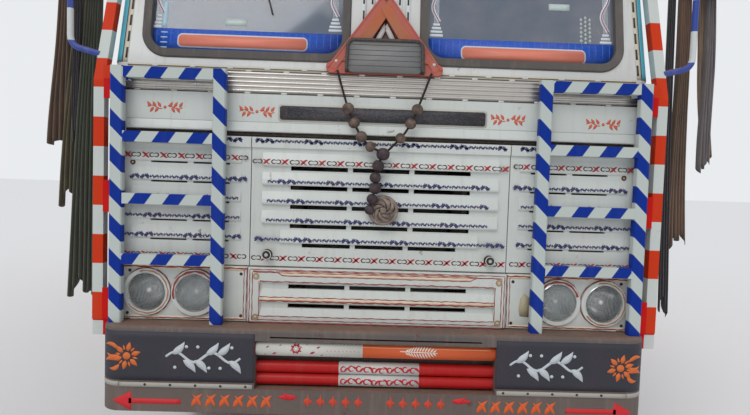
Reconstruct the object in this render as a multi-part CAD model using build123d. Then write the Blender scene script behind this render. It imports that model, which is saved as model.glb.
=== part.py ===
from build123d import *
import math
import os

# A two-axle forward-control haulage truck with a decorated cab front and an open cargo body.
# The driver looks along -Y, so +X is the truck's left side. Z is up from the road.
# Sizes are in millimetres.

# Overall layout
TRUCK_LENGTH = 8400
FRONT_OVERHANG = 1380
REAR_OVERHANG = 2270
FRONT_Y = -TRUCK_LENGTH / 2
REAR_Y = TRUCK_LENGTH / 2
FRONT_AXLE_Y = FRONT_Y + FRONT_OVERHANG
REAR_AXLE_Y = REAR_Y - REAR_OVERHANG
FIT_GAP = 0.3
SHAFT_GAP = 0.1

# Chassis rails
RAIL_OUT = 432
RAIL_FLANGE = 75
RAIL_WALL = 8
RAIL_BOTTOM = 760
RAIL_TOP = 1000
RAIL_FRONT_Y = FRONT_Y + 190
RAIL_REAR_Y = REAR_Y - 90
CROSS_DEPTH = 90
CROSS_HEIGHT = 130

# Wheels and tyres
TYRE_RADIUS = 515
TYRE_HALF_WIDTH = 137
TREAD_HALF_WIDTH = 104
BEAD_HALF_WIDTH = 87.7
RIM_SEAT_RADIUS = 252
RIM_FLANGE_RADIUS = 273
RIM_WALL = 11
RIM_HALF_WIDTH = 96
FRONT_WHEEL_X = 1040
REAR_WHEEL_X = 900
TWIN_OFFSET = 160
HAND_HOLES = 8
HAND_HOLE_RADIUS = 27

# Axles and steering
KINGPIN_X = 850
KINGPIN_RADIUS = 22
KINGPIN_BOSS_HEIGHT = 112
KNUCKLE_EAR = 30
SPINDLE_RADIUS = 38
BEAM_TOP = 455
BEAM_HEIGHT = 84
BEAM_DEPTH = 90
ARM_REACH = 200
BALL_PIN_RADIUS = 11
TIE_ROD_RADIUS = 17
AXLE_TUBE_RADIUS = 66
BANJO_RADIUS = 205
REAR_SPINDLE_RADIUS = 52

# Leaf springs
LEAF_WIDTH = 74
LEAF_THICK = 12
SPRING_X = RAIL_OUT - LEAF_WIDTH / 2
SPRING_PAD = 15

# Cab body
CAB_WIDTH = 2400
HALF_CAB = CAB_WIDTH / 2
CAB_FACE = 130
CAB_DEPTH = 1820
CAB_SKIRT_Z = 872
CAB_FLOOR_Z = 1160
CAB_FLOOR_THICK = 30
CAB_BELT_Z = 2010
CAB_ROOF_Z = 2790
CAB_CORNER = 66
CAB_WALL = 40
CAB_TOP_SETBACK = 138
CAB_TOP_INSET = 35
CAB_SPLIT_FRONT = 330
CAB_SPLIT_ROOF = 2706
SKIRT_REAR = 745
BELOW_SKIRT = 800
CAB_SPLIT_REAR = 1890
ALL_ACROSS = (-HALF_CAB - 100, HALF_CAB + 100)
AT_SIDE = (HALF_CAB - 200, HALF_CAB + 200)
QUARTER_WINDOW = ((1380, 1780), (2080, 2560))
STEP_X = (HALF_CAB - 260, HALF_CAB - 4)
STEP_HEIGHTS = (700, 930)
STEP_THICK = 24
STEP_WELL = ((470, SKIRT_REAR + 1), (BELOW_SKIRT, 1130))

# Windscreens
SCREEN_INNER_X = 155
SCREEN_OUTER_X = HALF_CAB - 122
SCREEN_BOTTOM = 30
SCREEN_TALL = 650
SCREEN_CORNER = 112
SEAL_WIDTH = 38
SEAL_PROUD = 9
GLASS_THICK = 6

# Doors
DOOR_FRONT = 402
DOOR_REAR = 1262
DOOR_BOTTOM = 1194
DOOR_TOP = 2640
DOOR_GAP = 5
DOOR_HINGE_X = HALF_CAB + 10
DOOR_WINDOW_SILL = 2060
DOOR_FRAME = 62
HINGE_RADIUS = 9

# Face panels: the flap, the side louvres, the lamp panels and the belt
PANEL_THICK = 18
PANEL_SEAM = 4
FACE_HALF_WIDTH = HALF_CAB - 58
FLAP_HALF_WIDTH = 574
FLAP_BOTTOM = 1128
FLAP_TOP = 1700
LOUVRE_PITCH = 85.5
FLAP_FIRST_SLOT = 1224
SLOT_HEIGHT = 19
SLOT_HALF_SPAN = 401
LOW_SLOT_HALF_SPAN = 345
HOOD_HALF = 526
LOW_HOOD_HALF = 442
SLOT_BAR = 22
FLAP_PIN = (118, 1694)
FLAP_PIN_RADIUS = 5
LIP_PROUD = 15
HOOD_HEIGHT = 58
LOUVRE_ROWS = 5
TOP_LIP_TALL = 46
TOP_LIP_PROUD = 9
SIDE_SLOT_X = (671, FACE_HALF_WIDTH - 124)
SIDE_SLOT_HEIGHT = 8
SIDE_SLOT_BAR = 26
SIDE_SLOT_RISE = 6
SIDE_LIP_PROUD = 7
KNOB = (497, 1181)
KNOB_RADIUS = 21
KNOB_PROUD = 34
LAMP_PANEL_BOTTOM = 875
LAMP_PANEL_TOP = 1122
LOWER_GRILLE_SLOTS = (950, 1037)
LOWER_GRILLE_PROUD = 13
TROUGH_HALF = 526
TROUGH_ABOVE = 19
TROUGH_BELOW = 44
BELT_BOTTOM = 1724
BELT_CREASE = 1764
BELT_TOP = 1888
FLUTE_COUNT = 5
FLUTE_PITCH = 19

# Lamps
LAMP_X = (HALF_CAB - 384, HALF_CAB - 172)
LAMP_Z = 998
LENS_RADIUS = 85
LAMP_FLANGE_RADIUS = 97
BEZEL_RADIUS = 104
BEZEL_PROUD = 12

# Bumper
BUMPER_HALF_WIDTH = HALF_CAB - 3
BUMPER_BOTTOM = 497
BUMPER_TOP = 870
BUMPER_LEDGE = 126
BUMPER_RETURN = 330
BUMPER_CORNER = 95
BUMPER_WALL = 6
STRIP_Z = (605, 626)
STRIP_PROUD = 4
RECESS_HALF_WIDTH = 530
RECESS_Z = (598, 822)
LIP_SLOT_Z = (830, 837)
LIP_SLOT_HALF = 460
RECESS_DEEP = 92
TUBE_ROWS = ((780, 34, 4), (691, 26.5, 34), (636, 26.5, 34))

# Ladders and marker poles
LADDER_POST_X = (HALF_CAB - 492, HALF_CAB - 53)
POST_WIDE = 54
POST_DEEP = 42
POST_FRONT = 44
LADDER_TOP = 1982
RUNG_HEIGHTS = (1150, 1414, 1682, 1957)
RUNG_TALL = 46
POLE_SIZE = 46
POLE_X = HALF_CAB + 40
POLE_FRONT = 92
POLE_BEND_Z = 1925
POLE_END = (HALF_CAB - 18, 330, 2660)
ROLL_BAR_REACH = 340
ROLL_BAR_Z = 2590
PLATE_HEIGHTS = (943, 1419, 1916)
PLATE_TALL = 141

# Cargo body
BODY_FRONT_Y = FRONT_Y + 2070
BODY_REAR_Y = REAR_Y - 70
SILL_TOP = 1090
BEARER_TOP = 1180
BEARER_PITCH = 590
FLOOR_TOP = 1220
FLOOR_HALF_WIDTH = 1180
SIDE_WALL = 26
MUD_FLAP_WIDE = 540
MUD_FLAP_CLEAR = 40
MUD_FLAP_BOTTOM = 300
SIDE_TOP = 2800
BODY_POST = 62
BODY_POST_PROUD = 38
HEADBOARD_TOP = 3060
GATE_TOP = 2060
GATE_THICK = 42
GATE_HINGE_Y = REAR_Y - 14
GATE_HINGE_Z = FLOOR_TOP - 20
GATE_HINGE_X = (-960, -320, 320, 960)
REAR_LAMP_X = (900, 1010, 1110)
REAR_LAMP_RADIUS = 43


def block(x, y, z):
    """A box between two limits on each axis."""
    centre = Pos((x[0] + x[1]) / 2, (y[0] + y[1]) / 2, (z[0] + z[1]) / 2)
    return centre * Box(x[1] - x[0], y[1] - y[0], z[1] - z[0])


def behind(low, high):
    """Two distances behind the bumper face, as Y limits."""
    return (FRONT_Y + low, FRONT_Y + high)


def rod(start, end, radius):
    """A round bar between two points."""
    axis = Vector(*end) - Vector(*start)
    return Solid.make_cylinder(radius, axis.length, Plane(origin=start, z_dir=axis))


def ring(x, centre_y, centre_z, outer, inner):
    """A washer or tube about an axis along X."""
    start = (x[0], centre_y, centre_z)
    whole = rod(start, (x[1], centre_y, centre_z), outer)
    return whole - rod((x[0] - 1, centre_y, centre_z), (x[1] + 1, centre_y, centre_z), inner)


def twin(shape):
    """The same piece on the other side of the truck."""
    return mirror(shape, about=Plane.YZ)


def node(*shapes):
    """All the solids of one node."""
    return Compound([solid for shape in shapes for solid in shape.solids()])


def side_profile(points, x):
    """An outline in (Y, Z), closed and carried across from one X to another."""
    outline = make_face(Polyline(*points, close=True))
    return extrude(Plane.YZ.offset(x[0]) * outline, x[1] - x[0])


def spun(points, wheel_x, wheel_y):
    """A ring about the wheel's axle, from an outline in (X from the wheel's centre, radius)."""
    outline = make_face(Polyline(*points, close=True))
    about = Plane(origin=(wheel_x, wheel_y, TYRE_RADIUS), x_dir=(1, 0, 0), z_dir=(0, -1, 0))
    return revolve(about * outline, Axis((wheel_x, wheel_y, TYRE_RADIUS), (1, 0, 0)))


# Running gear


def chassis_frame():
    """Two channel rails with cross members, spring hangers and bumper brackets."""
    inside = RAIL_OUT - RAIL_FLANGE
    length = (RAIL_FRONT_Y, RAIL_REAR_Y)
    rail = block((inside, RAIL_OUT), length, (RAIL_BOTTOM, RAIL_TOP))
    rail -= block(
        (inside - 1, RAIL_OUT - RAIL_WALL),
        (length[0] - 1, length[1] + 1),
        (RAIL_BOTTOM + RAIL_WALL, RAIL_TOP - RAIL_WALL),
    )
    bracket_y = (FRONT_Y + RECESS_DEEP + BUMPER_WALL, RAIL_FRONT_Y + 40)
    rail += block((RAIL_OUT - RAIL_WALL, RAIL_OUT + 12), bracket_y, (RAIL_BOTTOM + 4, 832))
    for mount_y in CAB_MOUNT_Y:
        y = (FRONT_Y + mount_y - 35, FRONT_Y + mount_y + 35)
        rail += block((RAIL_OUT - 46, RAIL_OUT + 30), y, (RAIL_TOP, CAB_FLOOR_Z))
        rail += block((RAIL_OUT - 1, RAIL_OUT + 30), y, (RAIL_TOP - 90, RAIL_TOP + 1))
    for axle_y, half_span, eye_z in (
        (FRONT_AXLE_Y, FRONT_SPRING["half_span"], eye_height(FRONT_SPRING)),
        (REAR_AXLE_Y, REAR_SPRING["half_span"], eye_height(REAR_SPRING)),
    ):
        for way in (-1, 1):
            hanger_y = axle_y + way * half_span
            foot = block(
                (SPRING_X - LEAF_WIDTH / 2, RAIL_OUT),
                (hanger_y - 45, hanger_y + 45),
                (eye_z + EYE_RADIUS + FIT_GAP, RAIL_BOTTOM),
            )
            rail += foot
    frame = rail + twin(rail)
    cross_rows = (
        (RAIL_FRONT_Y + 60, 790),
        (BODY_FRONT_Y + 80, 820),
        (BODY_FRONT_Y + 1430, 820),
        (PROP_BEARING_Y, 820),
        (REAR_AXLE_Y - 700, 820),
        (REAR_AXLE_Y + 750, 820),
        (RAIL_REAR_Y - CROSS_DEPTH / 2, 800),
    )
    for centre_y, bottom in cross_rows:
        y = (centre_y - CROSS_DEPTH / 2, centre_y + CROSS_DEPTH / 2)
        bar = block((-RAIL_OUT + 4, RAIL_OUT - 4), y, (bottom, bottom + CROSS_HEIGHT))
        hollow_y = (y[0] + RAIL_WALL, y[1] + 1)
        hollow_z = (bottom + RAIL_WALL, bottom + CROSS_HEIGHT - RAIL_WALL)
        frame += bar - block((-inside, inside), hollow_y, hollow_z)
    return frame + tow_jaw()


def tow_jaw():
    """The rear towing jaw: two plates with an upright pin hole, on the last cross member."""
    rear = RAIL_REAR_Y
    jaw = block((-45, 45), (rear - 6, JAW_Y), (JAW_Z - 60, JAW_Z + 60))
    jaw += Pos(0, JAW_Y, JAW_Z) * Cylinder(45, 120)
    mouth = block((-46, 46), (rear + 3, JAW_Y + 60), (JAW_Z - 30, JAW_Z + 30))
    jaw -= mouth
    return jaw - Pos(0, JAW_Y, JAW_Z) * Cylinder(JAW_HOLE_RADIUS, 200)


PROP_BEARING_Y = BODY_FRONT_Y + 2630
JAW_Y = REAR_Y - 42
JAW_Z = 865
CAB_MOUNT_Y = (320, 1780)
JAW_HOLE_RADIUS = 21
EYE_RADIUS = 26
FRONT_SPRING = {"half_span": 640, "rise": 88, "leaves": 6, "seat": BEAM_TOP + SPRING_PAD}
REAR_SPRING = {
    "half_span": 700,
    "rise": 30,
    "leaves": 7,
    "seat": TYRE_RADIUS + AXLE_TUBE_RADIUS + SPRING_PAD,
}


def eye_height(spring):
    """The height of a spring's eyes: its top leaf at the middle, and the rise to the ends."""
    return spring["seat"] + spring["leaves"] * LEAF_THICK + spring["rise"]


def leaf_spring(axle_y, spring):
    """Stacked leaves on one bend, each shorter than the one above, with eyes and a seat pad."""
    half_span = spring["half_span"]
    rise = spring["rise"]
    leaves = spring["leaves"]
    bend = (half_span**2 + rise**2) / (2 * rise)
    top = spring["seat"] + leaves * LEAF_THICK
    centre = Plane(origin=(SPRING_X, axle_y, top + bend), x_dir=(0, 1, 0), z_dir=(1, 0, 0))
    pack = None
    for count in range(leaves):
        upper = bend + count * LEAF_THICK
        lower = upper + LEAF_THICK
        angle = math.asin(half_span * (1 - count / (leaves + 1)) / bend)
        side = math.sin(angle)
        down = math.cos(angle)
        edges = [
            ThreePointArc((-side * upper, -down * upper), (0, -upper), (side * upper, -down * upper)),
            Line((side * upper, -down * upper), (side * lower, -down * lower)),
            ThreePointArc((side * lower, -down * lower), (0, -lower), (-side * lower, -down * lower)),
            Line((-side * lower, -down * lower), (-side * upper, -down * upper)),
        ]
        leaf = extrude(centre * make_face(edges), LEAF_WIDTH / 2, both=True)
        pack = leaf if pack is None else pack + leaf
    across = (SPRING_X - LEAF_WIDTH / 2, SPRING_X + LEAF_WIDTH / 2)
    for way in (-1, 1):
        eye_y = axle_y + way * half_span
        eye_z = eye_height(spring)
        pack += rod((across[0], eye_y, eye_z), (across[1], eye_y, eye_z), EYE_RADIUS)
    pad_z = (spring["seat"] - SPRING_PAD, spring["seat"] + 8)
    return pack + block(across, (axle_y - 85, axle_y + 85), pad_z)


def leaf_springs():
    front = leaf_spring(FRONT_AXLE_Y, FRONT_SPRING)
    rear = leaf_spring(REAR_AXLE_Y, REAR_SPRING)
    return node(front, twin(front), rear, twin(rear))


def front_axle():
    """A forged beam that drops between its ends, with an upright bore for each kingpin."""
    low = BEAM_TOP - BEAM_HEIGHT
    boss_low = TYRE_RADIUS - KINGPIN_BOSS_HEIGHT / 2
    boss_top = TYRE_RADIUS + KINGPIN_BOSS_HEIGHT / 2
    half = [
        (0, low),
        (690, low),
        (760, boss_low + 8),
        (KINGPIN_X, boss_low + 8),
        (KINGPIN_X, boss_top - 8),
        (745, boss_top - 8),
        (665, BEAM_TOP),
        (0, BEAM_TOP),
    ]
    outline = half + [(-x, z) for x, z in reversed(half[1:-1])]
    face = make_face(Polyline(*outline, close=True))
    across = Plane(origin=(0, FRONT_AXLE_Y, 0), x_dir=(1, 0, 0), z_dir=(0, -1, 0))
    beam = extrude(across * face, BEAM_DEPTH / 2, both=True)
    web_half = 14
    pocket_face = offset(face, -14, kind=Kind.INTERSECTION)
    pocket = extrude(across.offset(web_half) * pocket_face, BEAM_DEPTH)
    beam -= pocket
    pocket = extrude(across.offset(-web_half) * pocket_face, -BEAM_DEPTH)
    beam -= pocket
    for side in (-1, 1):
        at = Pos(side * KINGPIN_X, FRONT_AXLE_Y, TYRE_RADIUS)
        beam += at * Cylinder(47, KINGPIN_BOSS_HEIGHT)
    for side in (-1, 1):
        pad = block((SPRING_X - 40, SPRING_X + 38), (-48, 48), (BEAM_TOP - 30, BEAM_TOP))
        pad = Pos(0, FRONT_AXLE_Y, 0) * pad
        beam += pad if side > 0 else twin(pad)
        at = Pos(side * KINGPIN_X, FRONT_AXLE_Y, TYRE_RADIUS)
        beam -= at * Cylinder(KINGPIN_RADIUS + SHAFT_GAP, 3 * KINGPIN_BOSS_HEIGHT)
    return beam


def knuckle():
    """The left stub axle: two ears on a kingpin, a spindle and a steering arm."""
    ear_low = TYRE_RADIUS - KINGPIN_BOSS_HEIGHT / 2 - 1 - KNUCKLE_EAR
    ear_top = TYRE_RADIUS + KINGPIN_BOSS_HEIGHT / 2 + 1 + KNUCKLE_EAR
    at = Pos(KINGPIN_X, FRONT_AXLE_Y, 0)
    yoke = block((0, 88), (-45, 45), (ear_low, ear_top))
    yoke += Pos(0, 0, TYRE_RADIUS) * Cylinder(45, ear_top - ear_low)
    yoke -= block((-60, 54), (-60, 60), (ear_low + KNUCKLE_EAR, ear_top - KNUCKLE_EAR))
    yoke += Pos(0, 0, TYRE_RADIUS) * Cylinder(KINGPIN_RADIUS, ear_top - ear_low + 20)
    piece = at * yoke
    end_x = FRONT_WHEEL_X + 120
    centre = (FRONT_AXLE_Y, TYRE_RADIUS)
    piece += rod((KINGPIN_X + 80, *centre), (end_x, *centre), SPINDLE_RADIUS)
    arm_y = FRONT_AXLE_Y + ARM_REACH
    arm_z = (ear_low, ear_low + KNUCKLE_EAR)
    piece += block((KINGPIN_X - 17, KINGPIN_X + 17), (FRONT_AXLE_Y + 30, arm_y), arm_z)
    piece += Pos(KINGPIN_X, arm_y, ear_low + KNUCKLE_EAR / 2) * Cylinder(19, KNUCKLE_EAR)
    return piece + Pos(KINGPIN_X, arm_y, ear_low - 14) * Cylinder(BALL_PIN_RADIUS, 60)


def tie_rod():
    """The bar behind the axle that joins the two steering arms."""
    ear_low = TYRE_RADIUS - KINGPIN_BOSS_HEIGHT / 2 - 1 - KNUCKLE_EAR
    rod_z = ear_low - 24
    rod_y = FRONT_AXLE_Y + ARM_REACH
    bar = rod((-KINGPIN_X, rod_y, rod_z), (KINGPIN_X, rod_y, rod_z), TIE_ROD_RADIUS)
    for side in (-1, 1):
        at = Pos(side * KINGPIN_X, rod_y, rod_z)
        bar += at * Cylinder(26, 36)
        bar -= at * Cylinder(BALL_PIN_RADIUS + (SHAFT_GAP if side > 0 else 1), 80)
    return bar


def rear_axle():
    """The driven axle: a round housing with tubes to the hubs and spring pads."""
    centre = (0, REAR_AXLE_Y, TYRE_RADIUS)
    reach = REAR_WHEEL_X + 175
    housing = rod((-reach, *centre[1:]), (reach, *centre[1:]), REAR_SPINDLE_RADIUS)
    tube_end = REAR_WHEEL_X - TWIN_OFFSET - RIM_HALF_WIDTH - 30
    housing += rod((-tube_end, *centre[1:]), (tube_end, *centre[1:]), AXLE_TUBE_RADIUS)
    dome = revolve(
        Plane(origin=centre, x_dir=(1, 0, 0), z_dir=(0, 0, 1))
        * make_face(
            [
                Line((0, -175), (BANJO_RADIUS * 0.6, -150)),
                ThreePointArc((BANJO_RADIUS * 0.6, -150), (BANJO_RADIUS, 0), (BANJO_RADIUS * 0.55, 165)),
                Line((BANJO_RADIUS * 0.55, 165), (0, 195)),
                Line((0, 195), (0, -175)),
            ]
        ),
        Axis(centre, (0, 1, 0)),
    )
    housing += dome
    nose_y = REAR_AXLE_Y - 150
    nose_z = TYRE_RADIUS + 12
    housing += rod((0, nose_y, nose_z), (0, nose_y - 130, nose_z), 70)
    top = REAR_SPRING["seat"] - SPRING_PAD
    for side in (-1, 1):
        x = sorted((side * (SPRING_X - 37), side * (SPRING_X + 37)))
        housing += block(x, (REAR_AXLE_Y - 70, REAR_AXLE_Y + 70), (top - 40, top))
    return housing


def tyre(wheel_x, wheel_y):
    """A closed ring with round sides, shoulders and three grooves about its tread."""
    bead = RIM_SEAT_RADIUS + FIT_GAP
    shoulder = TYRE_RADIUS - 22
    about = Plane(origin=(wheel_x, wheel_y, TYRE_RADIUS), x_dir=(1, 0, 0), z_dir=(0, -1, 0))
    crown = TYRE_RADIUS - 4
    edges = [
        Line((-BEAD_HALF_WIDTH, bead), (BEAD_HALF_WIDTH, bead)),
        Line((BEAD_HALF_WIDTH, bead), (BEAD_HALF_WIDTH, bead + 22)),
        ThreePointArc(
            (BEAD_HALF_WIDTH, bead + 22), (TYRE_HALF_WIDTH, 385), (TREAD_HALF_WIDTH + 14, shoulder)
        ),
        Line((TREAD_HALF_WIDTH + 14, shoulder), (TREAD_HALF_WIDTH, crown)),
        ThreePointArc((TREAD_HALF_WIDTH, crown), (0, TYRE_RADIUS), (-TREAD_HALF_WIDTH, crown)),
        Line((-TREAD_HALF_WIDTH, crown), (-TREAD_HALF_WIDTH - 14, shoulder)),
        ThreePointArc(
            (-TREAD_HALF_WIDTH - 14, shoulder), (-TYRE_HALF_WIDTH, 385), (-BEAD_HALF_WIDTH, bead + 22)
        ),
        Line((-BEAD_HALF_WIDTH, bead + 22), (-BEAD_HALF_WIDTH, bead)),
    ]
    return revolve(about * make_face(edges), Axis((wheel_x, wheel_y, TYRE_RADIUS), (1, 0, 0)))


def rim_outline(dish_from, dish_to):
    """Half of a rim with its dished disc, in (X from the rim's centre, radius)."""
    seat = RIM_SEAT_RADIUS
    low = seat - RIM_WALL
    edge = RIM_HALF_WIDTH
    return [
        [(-edge, low), (edge, low), (edge, RIM_FLANGE_RADIUS), (edge - 8, RIM_FLANGE_RADIUS),
         (edge - 8, seat), (-edge + 8, seat), (-edge + 8, RIM_FLANGE_RADIUS), (-edge, RIM_FLANGE_RADIUS)],
        [(dish_from - 14, low + 2), (dish_from, low + 2), (dish_to + 12, 165), (dish_to + 12, 60),
         (dish_to, 60), (dish_to, 160)],
    ]


def hand_holes(x, wheel_x, wheel_y):
    """Round holes through the disc, in a ring."""
    holes = None
    for count in range(HAND_HOLES):
        angle = 2 * math.pi * (count + 0.5) / HAND_HOLES
        y = wheel_y + 203 * math.cos(angle)
        z = TYRE_RADIUS + 203 * math.sin(angle)
        hole = rod((wheel_x + x[0], y, z), (wheel_x + x[1], y, z), HAND_HOLE_RADIUS)
        holes = hole if holes is None else holes + hole
    return holes


def front_wheel():
    """The left front rim, disc, hub and brake drum as one turning piece."""
    at = (FRONT_WHEEL_X, FRONT_AXLE_Y)
    wheel = None
    for outline in rim_outline(70, 108):
        part = spun(outline, *at)
        wheel = part if wheel is None else wheel + part
    wheel -= hand_holes((40, 130), *at)
    centre = (FRONT_AXLE_Y, TYRE_RADIUS)
    wheel += ring((FRONT_WHEEL_X - 90, FRONT_WHEEL_X + 125), *centre, 92, SPINDLE_RADIUS + SHAFT_GAP)
    wheel += rod((FRONT_WHEEL_X + 122, *centre), (FRONT_WHEEL_X + 150, *centre), 78)
    wheel += ring((FRONT_WHEEL_X - 30, FRONT_WHEEL_X - 14), *centre, 205, 80)
    wheel += ring((FRONT_WHEEL_X - 88, FRONT_WHEEL_X - 14), *centre, 205, 188)
    return wheel


def rear_wheel():
    """The left twin rims, back to back on one hub with the brake drum."""
    centre = (REAR_AXLE_Y, TYRE_RADIUS)
    wheel = None
    for way in (-1, 1):
        rim_x = REAR_WHEEL_X + way * TWIN_OFFSET
        for outline in rim_outline(-70, -TWIN_OFFSET):
            outline = [(way * x, radius) for x, radius in outline]
            part = spun(outline, rim_x, REAR_AXLE_Y)
            wheel = part if wheel is None else wheel + part
    wheel -= hand_holes((-110, 110), REAR_WHEEL_X, REAR_AXLE_Y)
    bore = REAR_SPINDLE_RADIUS + SHAFT_GAP
    wheel += ring((REAR_WHEEL_X - 80, REAR_WHEEL_X + 178), *centre, 108, bore)
    wheel += rod((REAR_WHEEL_X + 177, *centre), (REAR_WHEEL_X + 205, *centre), 92)
    wheel += ring((REAR_WHEEL_X - 60, REAR_WHEEL_X - 44), *centre, 215, 95)
    wheel += ring((REAR_WHEEL_X - 240, REAR_WHEEL_X - 44), *centre, 215, 196)
    return wheel


def powertrain():
    """The engine and gearbox as plain blocks at their real size and place."""
    engine = block((-310, 310), behind(560, 1560), (560, 1330))
    gearbox = block((-190, 190), behind(1560, 2010), (590, 960))
    radiator_half = RAIL_OUT - RAIL_FLANGE - FIT_GAP
    radiator = block((-radiator_half, radiator_half), behind(452, 530), (842, 1470))
    lug_x = RAIL_OUT - RAIL_WALL - FIT_GAP
    lug_z = (RAIL_BOTTOM + RAIL_WALL + FIT_GAP, RAIL_BOTTOM + 70)
    for lug_y in (760, 1480):
        engine += block((-lug_x, lug_x), behind(lug_y, lug_y + 70), lug_z)
    return node(engine + gearbox, radiator)


def propshaft():
    """A tube from the gearbox to the rear axle, with a joint and a centre bearing."""
    start = (0, FRONT_Y + 2010 + FIT_GAP, 700)
    middle = (0, PROP_BEARING_Y, 650)
    end = (0, REAR_AXLE_Y - 280 - FIT_GAP, TYRE_RADIUS + 12)
    knee = (0, start[1] + 55, start[2])
    ankle = (0, end[1] - 55, end[2])
    shaft = rod(knee, middle, 42) + rod(middle, ankle, 42)
    shaft += rod(start, knee, 60) + Pos(*knee) * Sphere(50)
    shaft += rod(end, ankle, 60) + Pos(*ankle) * Sphere(50)
    shaft += rod((0, middle[1] - 45, middle[2]), (0, middle[1] + 45, middle[2]), 70)
    return shaft + block((-50, 50), (middle[1] - 30, middle[1] + 30), (middle[2], 820))


# Boxes on the rails


def under_body(low, high):
    """Two distances behind the cargo body's front, as Y limits."""
    return (BODY_FRONT_Y + low, BODY_FRONT_Y + high)


def fuel_tank():
    """A square tank with round edges on two brackets, on the right rail."""
    tank = block((-1110, -480), under_body(480, 1410), (600, 1040))
    tank = fillet(tank.edges().filter_by(Axis.Y), 70)
    for place in (650, 1180):
        y = under_body(place, place + 60)
        tank += block((-600, -RAIL_OUT), y, (RAIL_BOTTOM + 20, 900))
        strap = block((-1116, -474), y, (594, 1046))
        tank += fillet(strap.edges().filter_by(Axis.Y), 74)
    cap_y = BODY_FRONT_Y + 905
    return tank + rod((-980, cap_y, 1030), (-980, cap_y, 1075), 45)


def battery_box():
    """A lidded battery box and two air tanks on the left rail."""
    box = block((RAIL_OUT, 960), under_body(480, 1040), (640, 960))
    box += block((RAIL_OUT + 8, 968), under_body(472, 1048), (930, 972))
    front, rear = under_body(1170, 2010)
    tanks = None
    for x in (600, 880):
        tank = rod((x, front, 790), (x, rear, 790), 122)
        tanks = tank if tanks is None else tanks + tank
    for place in (1270, 1850):
        tanks += block((RAIL_OUT, 940), under_body(place, place + 50), (770, 810))
    return node(box, tanks)


def exhaust():
    """A pipe from the engine, a silencer and a tail pipe out to the side."""
    x = 230
    low = 560
    tail_start, tail_end = under_body(2230, 2530)
    pipe = rod((x, FRONT_Y + 1566, 640), (x, BODY_FRONT_Y + 630, low), 34)
    pipe += rod((x, BODY_FRONT_Y + 570, low), (x, BODY_FRONT_Y + 1430, low), 112)
    pipe += rod((x, BODY_FRONT_Y + 1410, low), (x, tail_start, low), 34)
    pipe += Pos(x, tail_start, low) * Sphere(34)
    pipe += rod((x, tail_start, low), (1080, tail_end, 520), 34)
    for place in (830, 1230):
        pipe += block((x + 60, RAIL_OUT - 10), under_body(place, place + 30), (low, RAIL_BOTTOM))
    return pipe


def spare_wheel():
    """The spare lies flat under the tail, on a carrier across the rails."""
    turn = Pos(0, SPARE_Y, SPARE_Z) * Rot(0, -90, 0) * Pos(0, 0, -TYRE_RADIUS)
    tyre_flat = turn * tyre(0, 0)
    rim_flat = None
    for outline in rim_outline(70, 108):
        part = spun(outline, 0, 0)
        rim_flat = part if rim_flat is None else rim_flat + part
    rim_flat = turn * rim_flat
    top = SPARE_Z + RIM_HALF_WIDTH
    carrier = block((-RAIL_OUT, RAIL_OUT), (SPARE_Y - 40, SPARE_Y + 40), (top + 44, RAIL_BOTTOM))
    post = rod((0, SPARE_Y, SPARE_Z + 60), (0, SPARE_Y, top + 60), 62)
    return tyre_flat, rim_flat + carrier + post


SPARE_Y = REAR_Y - 1060
SPARE_Z = 500


# Cab


CAB_END = CAB_FACE + CAB_DEPTH + 150


def cab_section(z, inset):
    """The cab's plan at a height, with its walls moved in by an inset."""
    share = max(0, (z - CAB_BELT_Z) / (CAB_ROOF_Z - CAB_BELT_Z))
    half = HALF_CAB - CAB_TOP_INSET * share - inset
    front = CAB_FACE + CAB_TOP_SETBACK * share + inset
    back = CAB_FACE + CAB_DEPTH - inset
    plan = RectangleRounded(2 * half, back - front, CAB_CORNER - inset)
    return Pos(0, FRONT_Y + (front + back) / 2, z) * plan


def cab_volume(inset, low, top):
    """The cab's closed outer form, or the same form inside its walls."""
    lower = extrude(cab_section(low, inset), CAB_BELT_Z - low)
    return lower + loft([cab_section(CAB_BELT_Z, inset), cab_section(top, inset)])


def cab_shell():
    """The hollow cab, open below, before its openings are cut."""
    outer = cab_volume(0, CAB_SKIRT_Z, CAB_ROOF_Z)
    crown = outer.edges().group_by(Axis.Z)[-1]
    outer = fillet(crown, 60)
    shell = outer - cab_volume(CAB_WALL, CAB_SKIRT_Z - 10, CAB_ROOF_Z - CAB_WALL)
    rear_gap = block(ALL_ACROSS, behind(SKIRT_REAR, CAB_END), (BELOW_SKIRT, CAB_FLOOR_Z))
    return shell - rear_gap


def screen_plane():
    """A plane on the slanted front, with its origin on the belt line at the middle."""
    slope = math.atan2(CAB_TOP_SETBACK, CAB_ROOF_Z - CAB_BELT_Z)
    normal = (0, -math.cos(slope), math.sin(slope))
    return Plane(origin=(0, FRONT_Y + CAB_FACE, CAB_BELT_Z), x_dir=(1, 0, 0), z_dir=normal)


def screen_outline(inset):
    """The left windscreen's outline on the slanted plane."""
    wide = SCREEN_OUTER_X - SCREEN_INNER_X - 2 * inset
    tall = SCREEN_TALL - 2 * inset
    place = Pos((SCREEN_OUTER_X + SCREEN_INNER_X) / 2, SCREEN_BOTTOM + SCREEN_TALL / 2)
    return place * RectangleRounded(wide, tall, SCREEN_CORNER - inset)


def screen_slab(inset, low, high):
    """The windscreen outline as a slab between two depths off the slanted plane."""
    return extrude(screen_plane().offset(low) * screen_outline(inset), high - low)


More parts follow.
